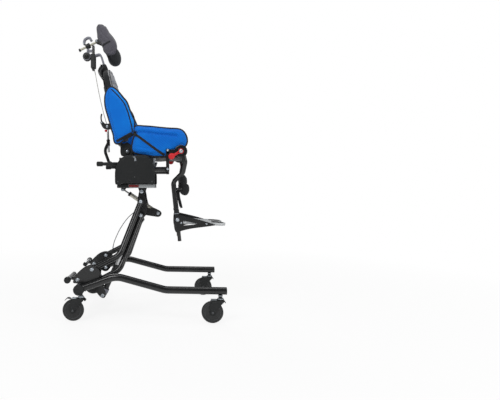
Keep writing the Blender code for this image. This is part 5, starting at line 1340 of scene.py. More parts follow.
cover = {"inner": 0.1723, "thick": 0.017, "catch": (-0.039, 0.769)}
coverOutline = (
    (-0.138, 0.65), (-0.1388, 0.7), (-0.1345, 0.727), (-0.1255, 0.749), (-0.1125, 0.767),
    (-0.098, 0.778), (-0.08, 0.7842), (-0.03, 0.7842), (0.009, 0.7842), (0.0265, 0.778), (0.0395, 0.765),
    (0.05, 0.745), (0.056, 0.715), (0.0575, 0.665), (0.056, 0.648), (0.045, 0.64), (0.028, 0.644),
    (0.012, 0.649),
    (-0.025, 0.6492), (-0.06, 0.649), (-0.095, 0.649), (-0.112, 0.643), (-0.13, 0.641),
)
for label, tail, side in sides:
    name = "side_cover_" + tail
    inner, outer = side * cover["inner"], side * (cover["inner"] + cover["thick"])
    ends = sorted((inner, outer - side * 0.003))
    shellPart = sheetPlate("shell", coverOutline, ends[0], ends[1], 0.005, 3, 5)
    middleX = sum(x for x, z in coverOutline) / len(coverOutline)
    middleZ = sum(z for x, z in coverOutline) / len(coverOutline)
    field = [
        (middleX + (x - middleX) * 0.93, middleZ + (z - middleZ) * 0.9) for x, z in coverOutline
    ]
    ends = sorted((inner + side * 0.01, outer - side * 0.0008))
    face = sheetPlate("face", field, ends[0], ends[1], 0.003, 3, 4)
    standIn(joined("sideCover" + label, [shellPart, face]), blackMoulding, "seat_unit", name)
    cx, cz = cover["catch"]
    face = outer - side * 0.0008
    ends = sorted((face - side * 0.001, face + side * 0.0016))
    catch = sheetPlate("coverCatch" + label, (
        (cx - 0.004, cz - 0.013), (cx + 0.0045, cz - 0.013), (cx + 0.0045, cz + 0.001),
        (cx + 0.001, cz + 0.001), (cx + 0.001, cz + 0.0085), (cx - 0.0105, cz + 0.0085),
        (cx - 0.0105, cz + 0.0045), (cx - 0.004, cz + 0.0045),
    ), ends[0], ends[1], 0.0007, 1)
    dress(catch, zincSteel, "seat_unit", name)
    boltRow("coverScrews" + label, "seat_unit", name, [
        (spot, face, side) for spot in ((-0.124, 0.656), (0.043, 0.656), (-0.042, 0.678))
    ], 0.0026, 0.0012, greyMoulding)
print("tray and covers made")

# seat frame, handles and pan

seatFrame = {"tube": 0.012, "height": 0.717, "half": 0.16, "back": -0.125, "front": 0.112}
kneePin, strutPin = (0.183, 0.802), (-0.191, 0.757)
pieces = []
for side in (-1, 1):
    y = side * seatFrame["half"]
    pieces.append(roundedRod("tube", at((seatFrame["back"], seatFrame["height"]), y),
                             at((seatFrame["front"], seatFrame["height"]), y), seatFrame["tube"], 0.0015, 40))
    pieces.append(block("wall", (-0.12, y - 0.0025, 0.6448), (0.048, y + 0.0025, 0.7745), 0.0012))
    footEnds = span(side, 0.154, 0.183)
    pieces.append(block("foot", (0.111, footEnds[0], 0.705), (0.127, footEnds[1], 0.729), 0.0025, 4))
    postEnds = span(side, 0.174, 0.183)
    pieces.append(block("post", (0.111, postEnds[0], 0.704), (0.127, postEnds[1], 0.815), 0.0022, 4))
    flangeEnds = span(side, 0.118, 0.16)
    pieces.append(block("flange", (-0.07, flangeEnds[0], 0.7707), (0.048, flangeEnds[1], 0.7747), 0.0008, 2))
    kneeArm = swept("kneeArm", [at((0.111, 0.8), side * 0.1785), at(kneePin, side * 0.1785)],
                    barSection(0.009, 0.022, 0.3, 4))
    boss = crossRod("boss", kneePin, postEnds[0], postEnds[1], 0.016, 0.0012, 40)
    pin = crossRod("pin", kneePin, side * 0.1785, side * 0.2078, 0.006, 0.0006, 32)
    pieces += [kneeArm, boss, pin]
gussets = []
for side in (-1, 1):
    gussets.append(sheetPlate("gusset", (
        (0.03, 0.7712), (0.03, 0.764), (0.037, 0.752), (0.047, 0.743), (0.0545, 0.748), (0.059, 0.76),
        (0.06, 0.7712),
    ), *span(side, 0.15, 0.1535), 0.0008, 2))
dress(joined("seatGussets", gussets), zincSteel, "seat_unit", "seat_frame")
for x in (-0.085, 0.02):
    pieces.append(crossRod("cross", (x, seatFrame["height"]), -0.158, 0.158, 0.0108, 0.0005, 40))
strutLug = (
    (-0.201, 0.754), (-0.196, 0.747), (-0.18, 0.738), (-0.13, 0.711), (-0.092, 0.707),
    (-0.092, 0.726), (-0.13, 0.733), (-0.172, 0.76), (-0.186, 0.768), (-0.197, 0.767),
)
for near in (-0.0134, 0.0084):
    pieces.append(sheetPlate("strutLug", strutLug, near, near + 0.005, 0.001, 3))
pieces.append(crossRod("strutPin", strutPin, -0.0134, 0.0134, 0.004))
standIn(joined("seatFrameWork", pieces), blackPaint, "seat_unit", "seat_frame")
boltRow("frameBolts", "seat_unit", "seat_frame", [
    (spot, side * 0.183, side) for spot in ((0.119, 0.808), (0.119, 0.717)) for side in (-1, 1)
] + [(strutPin, side * 0.0134, side) for side in (-1, 1)], 0.005, 0.0022)

handle = {"height": 0.744, "back": -0.232, "front": -0.1203, "half": 0.16, "rod": 0.0085, "grip": 0.0118}
for label, tail, side in sides:
    name = "push_handle_" + tail
    start = at((handle["back"], handle["height"]), side * handle["half"])
    length = handle["front"] - handle["back"]
    barPart = turned("bar", start, (1, 0, 0), (
        (0.028, 0.007), (0.029, handle["rod"]), (length - 0.001, handle["rod"]), (length, 0.0078),
    ), 40)
    gripPart = turned("grip", start, (1, 0, 0), (
        (0.0004, 0.001), (0.0006, 0.006), (0.0, 0.0082), (0.0012, 0.011), (0.003, 0.012),
        (0.006, handle["grip"]),
        (0.026, handle["grip"]), (0.0285, 0.0115), (0.03, 0.01), (0.0302, 0.0084),
    ), 40)
    standIn(joined("pushHandle" + label, [barPart, gripPart]), blackMoulding, "seat_unit", name)
    ribs = repeated("gripRibs" + label, hoops, [start + Vector((0.0055, 0, 0))], blackMoulding, {
        "Count": 6, "Step": 0.0038, "Hoop Radius": 0.0117, "Bead Radius": 0.0009,
    }, [(1.0, 0.0, 0.0)])
    dress(ribs, None, "seat_unit", name)

pan = {"back": -0.07, "front": 0.205, "half": 0.132, "low": 0.775, "high": 0.785, "hip": (-0.083, 0.809)}
pieces = [block("pan", (pan["back"], -pan["half"], pan["low"]), (pan["front"], pan["half"], pan["high"]),
    0.003, 4)]
earOutline = (
    (-0.06, 0.78), (-0.105, 0.784), (-0.115, 0.792), (-0.118, 0.808), (-0.117, 0.825), (-0.11, 0.841),
    (-0.097, 0.85), (-0.082, 0.852), (-0.069, 0.845), (-0.062, 0.83), (-0.06, 0.815),
)
for side in (-1, 1):
    pieces.append(sheetPlate("ear", earOutline, *span(side, 0.126, 0.131), 0.0012))
    pieces.append(turned("disc", at(pan["hip"], side * 0.1305), (0, side, 0), (
        (0.0, 0.016), (0.0022, 0.0162), (0.0036, 0.0152), (0.0042, 0.0135), (0.004, 0.009), (0.0032, 0.008),
        (0.0034, 0.0005),
    ), 48))
    pieces.append(crossRod("pin", pan["hip"], side * 0.116, side * 0.128, 0.008, 0.0008, 32))
standIn(joined("seatPan", pieces), blackMoulding, "seat_unit", "seat_shell")
boltRow("hipBolts", "seat_unit", "seat_shell", [(pan["hip"], side * 0.1338, side) for side in (-1, 1)], 0.006,
    0.0026)
print("seat frame, handles and pan made")


# leg supports and footplate

knee = {"pivot": kneePin, "inner": 0.184, "radius": 0.031, "tube": 0.0115, "bend": 0.026, "slider": 0.0091,
        "low": 0.363, "rings": ((0.002, 0.0126), (0.083, 0.0104))}
legRoute = ((0.196, 0.779), (0.203, 0.75), (0.193, 0.7), (0.148, 0.656), (0.164, 0.502))
legHalves = (0.195, 0.195, 0.172, 0.125, 0.125)
footHinge = (0.1675, 0.468)
footBracketOutline = (
    (0.153, 0.488), (0.162, 0.493), (0.18, 0.49), (0.23, 0.479), (0.29, 0.464),
    (0.348, 0.4458), (0.352, 0.4425), (0.348, 0.44), (0.3, 0.433), (0.24, 0.425), (0.195, 0.415),
    (0.17, 0.406), (0.157, 0.41), (0.15, 0.44),
)
footWindow = (
    (0.1975, 0.4625), (0.23, 0.4565), (0.262, 0.4495), (0.27, 0.4468), (0.262, 0.445), (0.23, 0.4425),
    (0.1975, 0.4402), (0.1945, 0.444), (0.1945, 0.459),
)
leverSpan = 0.05148


def arc(middle, radius, first, last, steps=10):
    return [
        (middle + radius * math.cos(math.radians(first + (last - first) * k / steps)),
         radius * math.sin(math.radians(first + (last - first) * k / steps)))
        for k in range(steps + 1)
    ]


leverHalf = [(0.016, 0.002), (-0.0122, 0.0021)] + arc(0.0, 0.0125, 168, 42)
leverHalf += [(0.015, 0.0062), (0.02, 0.0055), (0.029, 0.0055), (0.0345, 0.0062)] + arc(leverSpan, 0.015, 143,
    0)
leverLocal = leverHalf + [(u, -v) for u, v in reversed(leverHalf[:-1])]
leverWay = Vector((-0.045, -0.025)).normalized()
leverOutline = [
    (knee["pivot"][0] + leverWay.x * u - leverWay.y * v, knee["pivot"][1] + leverWay.y * u + leverWay.x * v)
    for u, v in leverLocal
]
for label, tail, side in sides:
    hanger, sliderName, bracket = "leg_hanger_" + tail, "leg_slider_" + tail, "foot_bracket_" + tail
    disc = turned("disc", at(knee["pivot"], side * knee["inner"]), (0, side, 0), (
        (0.0, 0.029), (0.001, 0.0306), (0.0022, 0.031), (0.0125, 0.031), (0.0148, 0.0302), (0.016, 0.0284),
        (0.016, 0.0242), (0.015, 0.0234), (0.015, 0.019), (0.0162, 0.0182), (0.0168, 0.012), (0.0168, 0.0005),
    ), 72)
    corners = [at(spot, side * half) for spot, half in zip(legRoute, legHalves)]
    leg = tube("leg", corners, knee["tube"], knee["bend"], 44, 12)
    standIn(joined("legHanger" + label, [disc, leg]), blackPaint, "leg_support", hanger)
    legLow = corners[-1]
    legWay = (corners[-1] - corners[-2]).normalized()
    collar = turned("legCollar" + label, legLow - legWay * 0.015, legWay, (
        (0.0, 0.0114), (0.0006, 0.0124), (0.0018, 0.0128), (0.0138, 0.0128), (0.0152, 0.0122),
        (0.0156, 0.0092),
    ), 40)
    dress(collar, blackMoulding, "leg_support", hanger)
    length = 0.08 + (legLow.z - knee["low"]) / -legWay.z
    slider = roundedRod("legSlider" + label, legLow - legWay * 0.08, legLow + legWay * (length - 0.08),
                        knee["slider"], 0.001, 40)
    standIn(slider, blackPaint, "leg_sliders", sliderName)
    rings = [
        turned("ring", legLow + legWay * reach, legWay, (
            (0.0, 0.0085), (0.0004, radius - 0.0008), (0.001, radius), (0.003, radius),
            (0.0036, radius - 0.0008),
            (0.004, 0.0085),
        ), 40) for reach, radius in knee["rings"]
    ]
    dress(joined("legRings" + label, rings), zincSteel, "leg_sliders", sliderName)
    plug = turned("legPlug" + label, legLow + legWay * (length - 0.0805), legWay, (
        (0.0, 0.0085), (0.0004, 0.0094), (0.0016, 0.0094), (0.003, 0.0084), (0.0034, 0.0005),
    ), 32)
    dress(plug, blackMoulding, "leg_sliders", sliderName)

    ends = span(side, 0.1385, 0.1445)
    wedge = sheetPlate("wedge", footBracketOutline, ends[0], ends[1], 0)
    window = sheetPlate("window", footWindow, ends[0] - 0.004, ends[1] + 0.004, 0, 3)
    minus(wedge, window)
    softened(wedge, 0.0012, 3, 50.0)
    pin = crossRod("pin", footHinge, side * 0.111, side * 0.144, 0.005)
    standIn(joined("footBracket" + label, [wedge, pin]), blackPaint, "foot_support", bracket)
    boltRow("footBolts" + label, "foot_support", bracket, [(footHinge, side * 0.1445, side)])
    boltRow("plateScrews" + label, "foot_support", bracket, [
        (spot, side * 0.1445, side) for spot in ((0.186, 0.452), (0.31, 0.4475))
    ], 0.0036, 0.0016)

    lever = sheetPlate("lever", leverOutline, *span(side, 0.2014, 0.2074), 0.0014, 1, 4)
    thumb = turned("thumb", at((0.138, 0.777), side * 0.207), (0, side, 0), (
        (0.0, 0.0112), (0.001, 0.011), (0.0015, 0.0102), (0.0012, 0.008), (0.0006, 0.005), (0.0005, 0.0005),
    ), 40)
    name = "knee_lever_" + tail
    standIn(joined("kneeLever" + label, [lever, thumb]), redPlastic, name, name)
boltRow("kneeBolts", "seat_unit", "seat_frame", [(knee["pivot"], side * 0.2078, side) for side in (-1, 1)])

footplate = {"back": 0.18, "tip": 0.409, "half": 0.138, "height": 0.462, "slope": math.radians(3.0),
    "thick": 0.01}
planShares = (
    (0.0, -0.9), (0.0, -0.97), (0.012, -1.0), (0.06, -1.0), (0.36, -1.0), (0.72, -1.0), (0.86, -0.965),
    (0.945, -0.88), (0.99, -0.74), (1.0, -0.6), (0.987, -0.42), (0.935, -0.22), (0.865, -0.07), (0.84, 0.0),
    (0.865, 0.07), (0.935, 0.22), (0.987, 0.42), (1.0, 0.6), (0.99, 0.74), (0.945, 0.88), (0.86, 0.965),
    (0.72, 1.0), (0.36, 1.0), (0.06, 1.0), (0.012, 1.0), (0.0, 0.97), (0.0, 0.9), (0.0, 0.4), (0.0, -0.4),
)


def onPlate(share, sideways, rise=0.0):
    u = (footplate["tip"] - footplate["back"]) * share
    z = footplate["height"] - u * math.tan(footplate["slope"]) + rise
    return Vector((footplate["back"] + u + centring, footplate["half"] * sideways, z))


plan = smoothLoop(planShares, 4)
deck = fromRings("footDeck", [[onPlate(u, v, drop) for u, v in plan] for drop in (0.0, -footplate["thick"])])
pegs = repeated("pegs", bowedHoles, [Vector((0, 0, 0))], None, {
    "Rows": 7, "Columns": 11, "Row Step": 0.0185, "Column Step": 0.0205, "Bow": 2.6, "Hole Radius": 0.0029,
    "Depth": 0.05,
})
pegs.data.transform(Matrix.Translation(onPlate(0.475, 0.0)))
minus(deck, pegs)
softened(deck, 0.0022, 3, 55.0)
rim = fromRings("rim", [
    [onPlate(0.5 + (u - 0.5) * 0.985, v * 0.985, rise) for u, v in plan] for rise in (-0.0098, -0.0135)
])
inner = fromRings("inner", [
    [onPlate(0.5 + (u - 0.5) * 0.955, v * 0.95, rise) for u, v in plan] for rise in (-0.008, -0.02)
])
minus(rim, inner)
standIn(joined("footDeck", [deck, rim]), paleAlloy, "foot_support", "footplate")
tipShares = (
    (0.7, -0.5), (0.72, -0.84), (0.85, -0.885), (0.92, -0.8), (0.962, -0.66), (0.962, -0.54), (0.935, -0.38),
    (0.88, -0.235), (0.8, -0.2), (0.73, -0.26),
)
for label, tail, side in sides:
    outline = smoothLoop([(u, -v * side) for u, v in tipShares], 5)
    pad = fromRings("footGrip" + label, [[onPlate(u, v, rise) for u, v in outline]
        for rise in (-0.001, 0.0014)])
    softened(pad, 0.0008, 2, 40.0)
    ribs = []
    for k in range(6):
        share = 0.745 + 0.034 * k
        line = [onPlate(share + 0.02 * math.sin(math.pi * t / 8), side * (0.34 + 0.042 * t), 0.0014)
            for t in range(10)]
        ribs.append(swept("rib", line, roundSection(0.0011, 8)))
    dress(joined("footGrip" + label, [pad] + ribs), tyreRubber, "foot_support", "footplate")
print("leg supports and footplate made")

# recline strut, its rod and the release lever

leverPin = (-0.229, 0.972)
strut = {"foot": strutPin, "bow": (-0.216, 0.825), "top": (-0.2, 0.952), "width": 0.016, "depth": 0.015}
strutWay = (at(strut["top"]) - at(strut["foot"])).normalized()


def onStrut(height):
    return at(strut["foot"]) + strutWay * (height - strut["foot"][1]) / strutWay.z


low, high = onStrut(0.85), onStrut(0.8825)
bar = swept("bar", filleted([at(strut["foot"]), at(strut["bow"]), (low + high) / 2], 0.045, 12),
            barSection(strut["width"], strut["depth"], 0.28, 4))
eyePart = crossRod("eye", strut["foot"], -0.008, 0.008, 0.011, 0.0012, 40)
sleevePart = turned("sleeve", low, strutWay, (
    (0.0, 0.007), (0.0012, 0.0085), (0.025, 0.0085), (0.026, 0.0094), (0.0315, 0.0094), (0.0327, 0.0084),
    (0.0327, 0.0056),
), 40)
standIn(joined("reclineStrut", [bar, eyePart, sleevePart]), blackPaint, "recline_strut", "recline_strut")
rodPart = roundedRod("rod", onStrut(0.8155), at(strut["top"]), 0.0055, 0.0008, 36)
eyePart = crossRod("eye", strut["top"], -0.008, 0.008, 0.011, 0.0014, 40)
standIn(joined("reclineRod", [rodPart, eyePart]), drawnSteel, "recline_rod", "recline_rod")
knobStart = onStrut(0.93)
knob = turned("reclineKnob", knobStart - Vector((0.0165, 0, 0)), (1, 0, 0), (
    (0.0, 0.0004), (0.0002, 0.0032), (0.0012, 0.0053), (0.0032, 0.0064), (0.006, 0.0066), (0.0105, 0.0064),
    (0.012, 0.0056), (0.0135, 0.0048), (0.0165, 0.0046),
), 40)
dress(knob, redPlastic, "recline_rod", "recline_rod")
leverLine = smoothLine([at(spot) for spot in (
    leverPin, (-0.233, 0.984), (-0.235, 0.995), (-0.2345, 1.008), (-0.2315, 1.02),
)], 6)
sizes = [1.0 if k < len(leverLine) - 4 else 1.0 - 0.16 * (k - len(leverLine) + 4) ** 2 / 9
    for k in range(len(leverLine))]
bar = swept("bar", leverLine, barSection(0.015, 0.0062, 0.45, 4), sizes=sizes)
eyePart = crossRod("eye", leverPin, -0.0078, 0.0078, 0.0058, 0.0008, 28)
standIn(joined("reclineLever", [bar, eyePart]), blackMoulding, "recline_lever", "recline_lever")

# back shell and the stay wire behind it

lean = math.radians(12.8)
back = {"low": 0.85, "high": 1.278, "rear": -0.1403, "half": 0.132, "topHalf": 0.105, "thick": 0.011}


def backRear(height):
    return back["rear"] - (height - back["low"]) * math.tan(lean)


def arched(item, start, top, drop, half):
    # Lets the upper edge fall away to both sides, along the lean of the back
    for vertex in item.data.vertices:
        share = max(0.0, min(1.0, (vertex.co.z - start) / (top - start)))
        fall = drop * share * (vertex.co.y / half) ** 2
        vertex.co.z -= fall
        vertex.co.x += fall * math.tan(lean)
    return item


rings = []
for height, half in ((0.85, 0.128), (0.854, 0.1315), (0.87, 0.132), (1.115, 0.132), (1.13, 0.129),
                     (1.142, 0.119), (1.155, 0.1075), (1.17, 0.105), (1.25, 0.105), (1.268, 0.1),
                     (1.276, 0.09)):
    ring = []
    curl = 0.009 if height > 1.135 else 0.0
    for k in range(24):
        u = -1 + 2 * k / 23
        bow = 0.0016 * (1 - u * u) - curl * u * u
        ring.append(at((backRear(height) - bow + 0.0016, height), half * u))
    for k in range(24):
        u = 1 - 2 * k / 23
        ring.append(at((backRear(height) + 0.01128, height), half * u))
    rings.append(ring)
pieces = [arched(softened(fromRings("panel", rings), 0.0022, 3, 50.0), 1.18, 1.285, 0.034, 0.105)]
backEarOutline = (
    (-0.09, 0.793), (-0.076, 0.796), (-0.0725, 0.81), (-0.079, 0.826), (-0.098, 0.843),
    (-0.133, 0.864), (-0.14, 0.86), (-0.136, 0.852), (-0.115, 0.837), (-0.098, 0.815),
)
strutCheek = (
    (-0.218, 0.941), (-0.17, 0.938), (-0.16, 0.94), (-0.163, 0.962), (-0.175, 0.968),
    (-0.208, 0.966), (-0.22, 0.974), (-0.228, 0.98), (-0.235, 0.978), (-0.237, 0.97),
    (-0.233, 0.962),
)
for side in (-1, 1):
    pieces.append(sheetPlate("ear", backEarOutline, *span(side, 0.1206, 0.1256), 0.0011))
    ends = span(side, 0.0084, 0.0134)
    pieces.append(sheetPlate("cheek", strutCheek, ends[0], ends[1], 0.0011))
pieces.append(crossRod("pin", strut["top"], -0.0105, 0.0105, 0.004))
pieces.append(crossRod("pin", leverPin, -0.0105, 0.0105, 0.0025, 0.0004))
for k in (0, 2, 3):
    height = 0.905 + k * 0.052
    rib = [at((backRear(height) + 0.0012, height), -0.098 + 0.196 * t / 12) for t in range(13)]
    pieces.append(swept("rib", rib, barSection(0.0052, 0.0036, 0.45, 3), guide=(0, 0, 1)))
neck = smoothLine([at(spot) for spot in (
    (-0.217, 1.245), (-0.218, 1.272), (-0.227, 1.305), (-0.235, 1.327), (-0.243, 1.3335), (-0.255, 1.332),
    (-0.268, 1.328),
)], 5)
neckPart = swept("neckBracket", neck, barSection(0.03, 0.0095, 0.3, 4))
socket = block("socket", (-0.288, -0.018, 1.262), (-0.264, 0.018, 1.336), 0.0026, 4)
slotCut = block("slot", (-0.2824, -0.0114, 1.2), (-0.2696, 0.0114, 1.4), 0)
minus(socket, slotCut)
standIn(joined("backShell", pieces + [socket]), blackMoulding, "backrest", "back_shell")
dress(neckPart, silverPaint, "backrest", "back_shell")
boltRow("strutBolts", "backrest", "back_shell", [(strut["top"], side * 0.0134, side) for side in (-1, 1)],
        0.0066, 0.0024)
boltRow("leverBolts", "backrest", "back_shell", [(leverPin, side * 0.0134, side) for side in (-1, 1)],
        0.0042, 0.0018)
boltRow("hipPins", "backrest", "back_shell", [(pan["hip"], side * 0.1206, -side) for side in (-1, 1)],
        0.0074, 0.0024)
wire = smoothLine([at(spot, y) for spot, y in (
    ((-0.276, 1.285), 0.019), ((-0.274, 1.264), 0.0178), ((-0.266, 1.225), 0.016), ((-0.248, 1.13), 0.014),
    ((-0.226, 1.035), 0.0146), ((-0.21, 0.978), 0.0148), ((-0.204, 0.96), 0.0146),
)], 6)
stay = joined("backStayWire", [
    swept("wire", wire, roundSection(0.0015, 14)),
    crossRod("anchor", (-0.204, 0.96), 0.013, 0.0166, 0.0032, 0.0006, 20),
])
dress(stay, warmSteel, "backrest", "back_shell")

# head support metalwork

neckPost = {"x": -0.276, "low": 1.25, "high": 1.383, "depth": 0.012, "width": 0.022}
post = block("headPost", (neckPost["x"] - 0.006, -0.011, neckPost["low"]),
    (neckPost["x"] + 0.006, 0.011, neckPost["high"]),
             0.0022, 4)
standIn(post, blackPaint, "head_mount", "head_post")
marks = repeated("headPostNotches", boltHeads, [
    Vector((neckPost["x"] - 0.0059 + centring, 0, 1.343 + 0.01 * k)) for k in range(4)
], greyMoulding, {"Head Radius": 0.0022, "Head Height": 0.0005}, [(-1.0, 0.0, 0.0)] * 4)
dress(marks, None, "head_mount", "head_post")

headBar = {"back": (-0.345, 1.362), "front": (-0.256, 1.4037), "radius": 0.006}
barStart, barFinish = at(headBar["back"]), at(headBar["front"])
barWay = (barFinish - barStart).normalized()
barLength = (barFinish - barStart).length
barUp = Vector((-barWay.z, 0, barWay.x))
clampMiddle = barStart + barWay * barLength * 0.45
stemX = clampMiddle.x - centring
dialSpot = (-0.3102, 1.325)
dial = turned("dial", at(dialSpot, -0.014), (0, 1, 0), (
    (0.0, 0.0005), (0.0, 0.015), (0.0012, 0.0185), (0.003, 0.021), (0.006, 0.0215), (0.022, 0.0215),
    (0.025, 0.021), (0.0268, 0.0185), (0.028, 0.015), (0.028, 0.0005),
), 56)
flutes = []
for k in range(14):
    angle = math.tau * k / 14
    spot = (dialSpot[0] + 0.0212 * math.cos(angle), dialSpot[1] + 0.0212 * math.sin(angle))
    flutes.append(crossRod("flute", spot, -0.0105, 0.0105, 0.0015, 0.0005, 8))
stem = roundedRod("stem", at((stemX, dialSpot[1])), clampMiddle, 0.007, 0.0008, 32)
barrelPart = turned("barrel", clampMiddle - barWay * 0.013, barWay, (
    (0.0, 0.0064), (0.0, 0.0122), (0.0014, 0.0138), (0.0028, 0.014), (0.0232, 0.014), (0.0246, 0.0138),
    (0.026, 0.0122), (0.026, 0.0064),
), 44)
earLow = dialSpot[1] + 0.0215 + 0.00175
ear = block("ear", (stemX, -0.0035, earLow), (neckPost["x"] - 0.0063, 0.0035, earLow + 0.014), 0.001)
standIn(joined("headClamp", [dial, barrelPart] + flutes), blackMoulding, "head_mount", "head_clamp")
dress(joined("clampStem", [stem, ear]), silverPaint, "head_mount", "head_clamp")
dialRims = repeated("clampDialRims", hoops, [at(dialSpot, -0.013)], silverPaint, {
    "Count": 2, "Step": 0.026, "Hoop Radius": 0.0196, "Bead Radius": 0.0016,
}, [(0.0, 1.0, 0.0)])
dress(dialRims, None, "head_mount", "head_clamp")
boltRow("clampBolts", "head_mount", "head_clamp", [(dialSpot, side * 0.014, side) for side in (-1, 1)],
        0.007, 0.0028, blackMoulding)
barPart = roundedRod("bar", barStart, barFinish, headBar["radius"], 0.0008, 40)
eyePart = crossRod("eye", headBar["front"], -0.008, 0.008, 0.0068, 0.001, 32)
standIn(joined("headBar", [barPart, eyePart]), champagneSteel, "head_bar", "head_bar")
cap = turned("headBarCap", barStart - barWay * 0.01, barWay, (
    (0.0, 0.0005), (0.0002, 0.0052), (0.0012, 0.0074), (0.003, 0.0084), (0.009, 0.0085), (0.0102, 0.0078),
    (0.0104, 0.0058),
), 36)
dress(cap, blackMoulding, "head_bar", "head_bar")
camStart = clampMiddle + barUp * (0.014 + 0.006 + 0.0003) - barWay * 0.013
camLine = smoothLine([
    camStart, at((-0.325, 1.406)), at((-0.32, 1.417)), at((-0.306, 1.4245)), at((-0.295, 1.4235)),
    at((-0.2885, 1.413)), at((-0.285, 1.407)),
], 6)
sizes = [0.8, 0.86] + [1.0] * (len(camLine) - 5) + [0.95, 0.86, 0.66]
handlePart = swept("cam", camLine, barSection(0.018, 0.013, 0.42, 5), sizes=sizes)
eyePart = crossRod("eye", (camStart.x - centring, camStart.z), -0.009, 0.009, 0.006, 0.001, 32)
standIn(joined("headCam", [handlePart, eyePart]), silverPaint, "head_cam", "head_cam_lever")
boltRow("camPins", "head_cam", "head_cam_lever", [
    ((camStart.x - centring, camStart.z), side * 0.0088, side) for side in (-1, 1)
], 0.0038, 0.0014)
print("recline, back shell and head metalwork made")


# soft goods: stuffed forms, sewn lines and straps laid on them


def grown(outline, amount):
    # The outline moved outwards, for what the cloth draws in
    area = sum(x * outline[k - 1][1] - z * outline[k - 1][0] for k, (x, z) in enumerate(outline))
    wider = []
    for k, (x, z) in enumerate(outline):
        before, after = outline[k - 1], outline[(k + 1) % len(outline)]
        along = Vector((after[0] - before[0], after[1] - before[1])).normalized()
        side = -1 if area < 0 else 1
        wider.append((x - side * along.y * amount, z + side * along.x * amount))
    return wider


def stuffedForm(name, outline, near, far, draw=0.42, full=0.72, rings=8, steps=4, grow=0.0):
    # An outline seen from the side, rounded over towards both faces
    loop = grown(smoothLoop(outline, steps), grow)
    middleX = sum(x for x, z in loop) / len(loop)
    middleZ = sum(z for x, z in loop) / len(loop)
    half = (far - near) / 2
    loops = []
    for k in range(-rings, rings + 1):
        turn = math.pi / 2 * k / rings
        y = (near + far) / 2 + half * math.copysign(abs(math.sin(turn)) ** full, turn)
        scale = 1 - draw * (1 - math.cos(turn))
        loops.append([at((middleX + (x - middleX) * scale, middleZ + (z - middleZ) * scale), y) for x,
            z in loop])
    return fromRings(name, loops, sharp=80.0)


def cushionForm(name, origin, lengthWay, widthWay, riseWay, size, corner=0.03, edge=0.012, crown=0.0):
    # A stuffed block: rounded plan, sides drawn in at the seams, crowned on top
    length, width, thickness = size
    plan = roundedPlan(length, width, corner, 8)
    profile = (
        (1.6, 0.0), (0.7, 0.02), (0.22, 0.08), (0.04, 0.18), (0.0, 0.34), (0.0, 0.55), (0.05, 0.7),
        (0.24, 0.82),
        (0.65, 0.905), (1.4, 0.955), (2.6, 0.98), (4.2, 0.993), (6.0, 1.0), (8.0, 1.0 + crown),
    )
    rings = []
    for inset, height in profile:
        scaleU, scaleV = 1 - 2 * inset * edge / length, 1 - 2 * inset * edge / width
        rings.append([
            origin + lengthWay * (u * scaleU) + widthWay * (v * scaleV) + riseWay * (thickness * height)
            for u, v in plan
        ])
    return fromRings(name, rings, sharp=80.0)


def stuffed(item, voxel=0.005, pressure=4.0, limit=0.006, frames=20, low=None, high=None):
    # Evens the mesh, blows it up as cloth and holds it near its form and inside its space
    even = item.modifiers.new("even", "REMESH")
    even.mode = "VOXEL"
    even.voxel_size = voxel
    even.use_smooth_shade = True
    settled(item)
    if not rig.quick():
        before = [vertex.co.copy() for vertex in item.data.vertices]
        cloth = item.modifiers.new("cloth", "CLOTH")
        cloth.settings.use_pressure = True
        cloth.settings.uniform_pressure_force = pressure
        cloth.settings.effector_weights.gravity = 0.0
        cloth.settings.quality = 4
        cloth.point_cache.frame_start = 1
        cloth.point_cache.frame_end = frames
        for count in range(1, frames + 1):
            bpy.context.scene.frame_set(count)
        settled(item)
        bpy.context.scene.frame_set(1)
        for vertex, start in zip(item.data.vertices, before):
            move = vertex.co - start
            if move.length > limit:
                vertex.co = start + move * (limit / move.length)
    for vertex in item.data.vertices:
        for axis in range(3):
            if low is not None and low[axis] is not None:
                vertex.co[axis] = max(vertex.co[axis], low[axis])
            if high is not None and high[axis] is not None:
                vertex.co[axis] = min(vertex.co[axis], high[axis])
    calm = item.modifiers.new("calm", "SMOOTH")
    calm.factor = 0.5
    calm.iterations = 3
    finer = item.modifiers.new("finer", "SUBSURF")
    finer.levels = finer.render_levels = 1
    settled(item)
    item.data.shade_smooth()
    return item


def pressed(item, line, width, depth, pucker=0.0, spacing=0.009):
    # Draws a sewn channel into the surface along a line, with small puckers beside it
    count = len(item.data.vertices)
    spots = np.empty(count * 3)
    item.data.vertices.foreach_get("co", spots)
    spots = spots.reshape(-1, 3)
    normals = np.array([tuple(vertex.normal) for vertex in item.data.vertices])
    starts = np.array([tuple(point) for point in line[:-1]])
    finishes = np.array([tuple(point) for point in line[1:]])
    nearest = np.full(count, 1.0)
    travel = np.zeros(count)
    run = 0.0
    for start, finish in zip(starts, finishes):
        along = finish - start
        length = float(np.linalg.norm(along)) or 1e-9
        share = np.clip((spots - start) @ along / length ** 2, 0.0, 1.0)
        away = np.linalg.norm(spots - (start + share[:, None] * along), axis=1)
        closer = away < nearest
        nearest[closer] = away[closer]
        travel[closer] = run + share[closer] * length
        run += length
    groove = np.exp(-(nearest / width) ** 2) * depth
    ripple = np.exp(-((nearest - 1.4 * width) / (1.3 * width)) ** 2) * pucker * np.sin(travel * math.tau / spacing)
    spots = spots - normals * (groove + ripple)[:, None]
    item.data.vertices.foreach_set("co", spots.reshape(-1))
    item.data.update()
    return item


def skin(item):
    return BVHTree.FromPolygons(
        [vertex.co.copy() for vertex in item.data.vertices],
        [tuple(face.vertices) for face in item.data.polygons],
    )


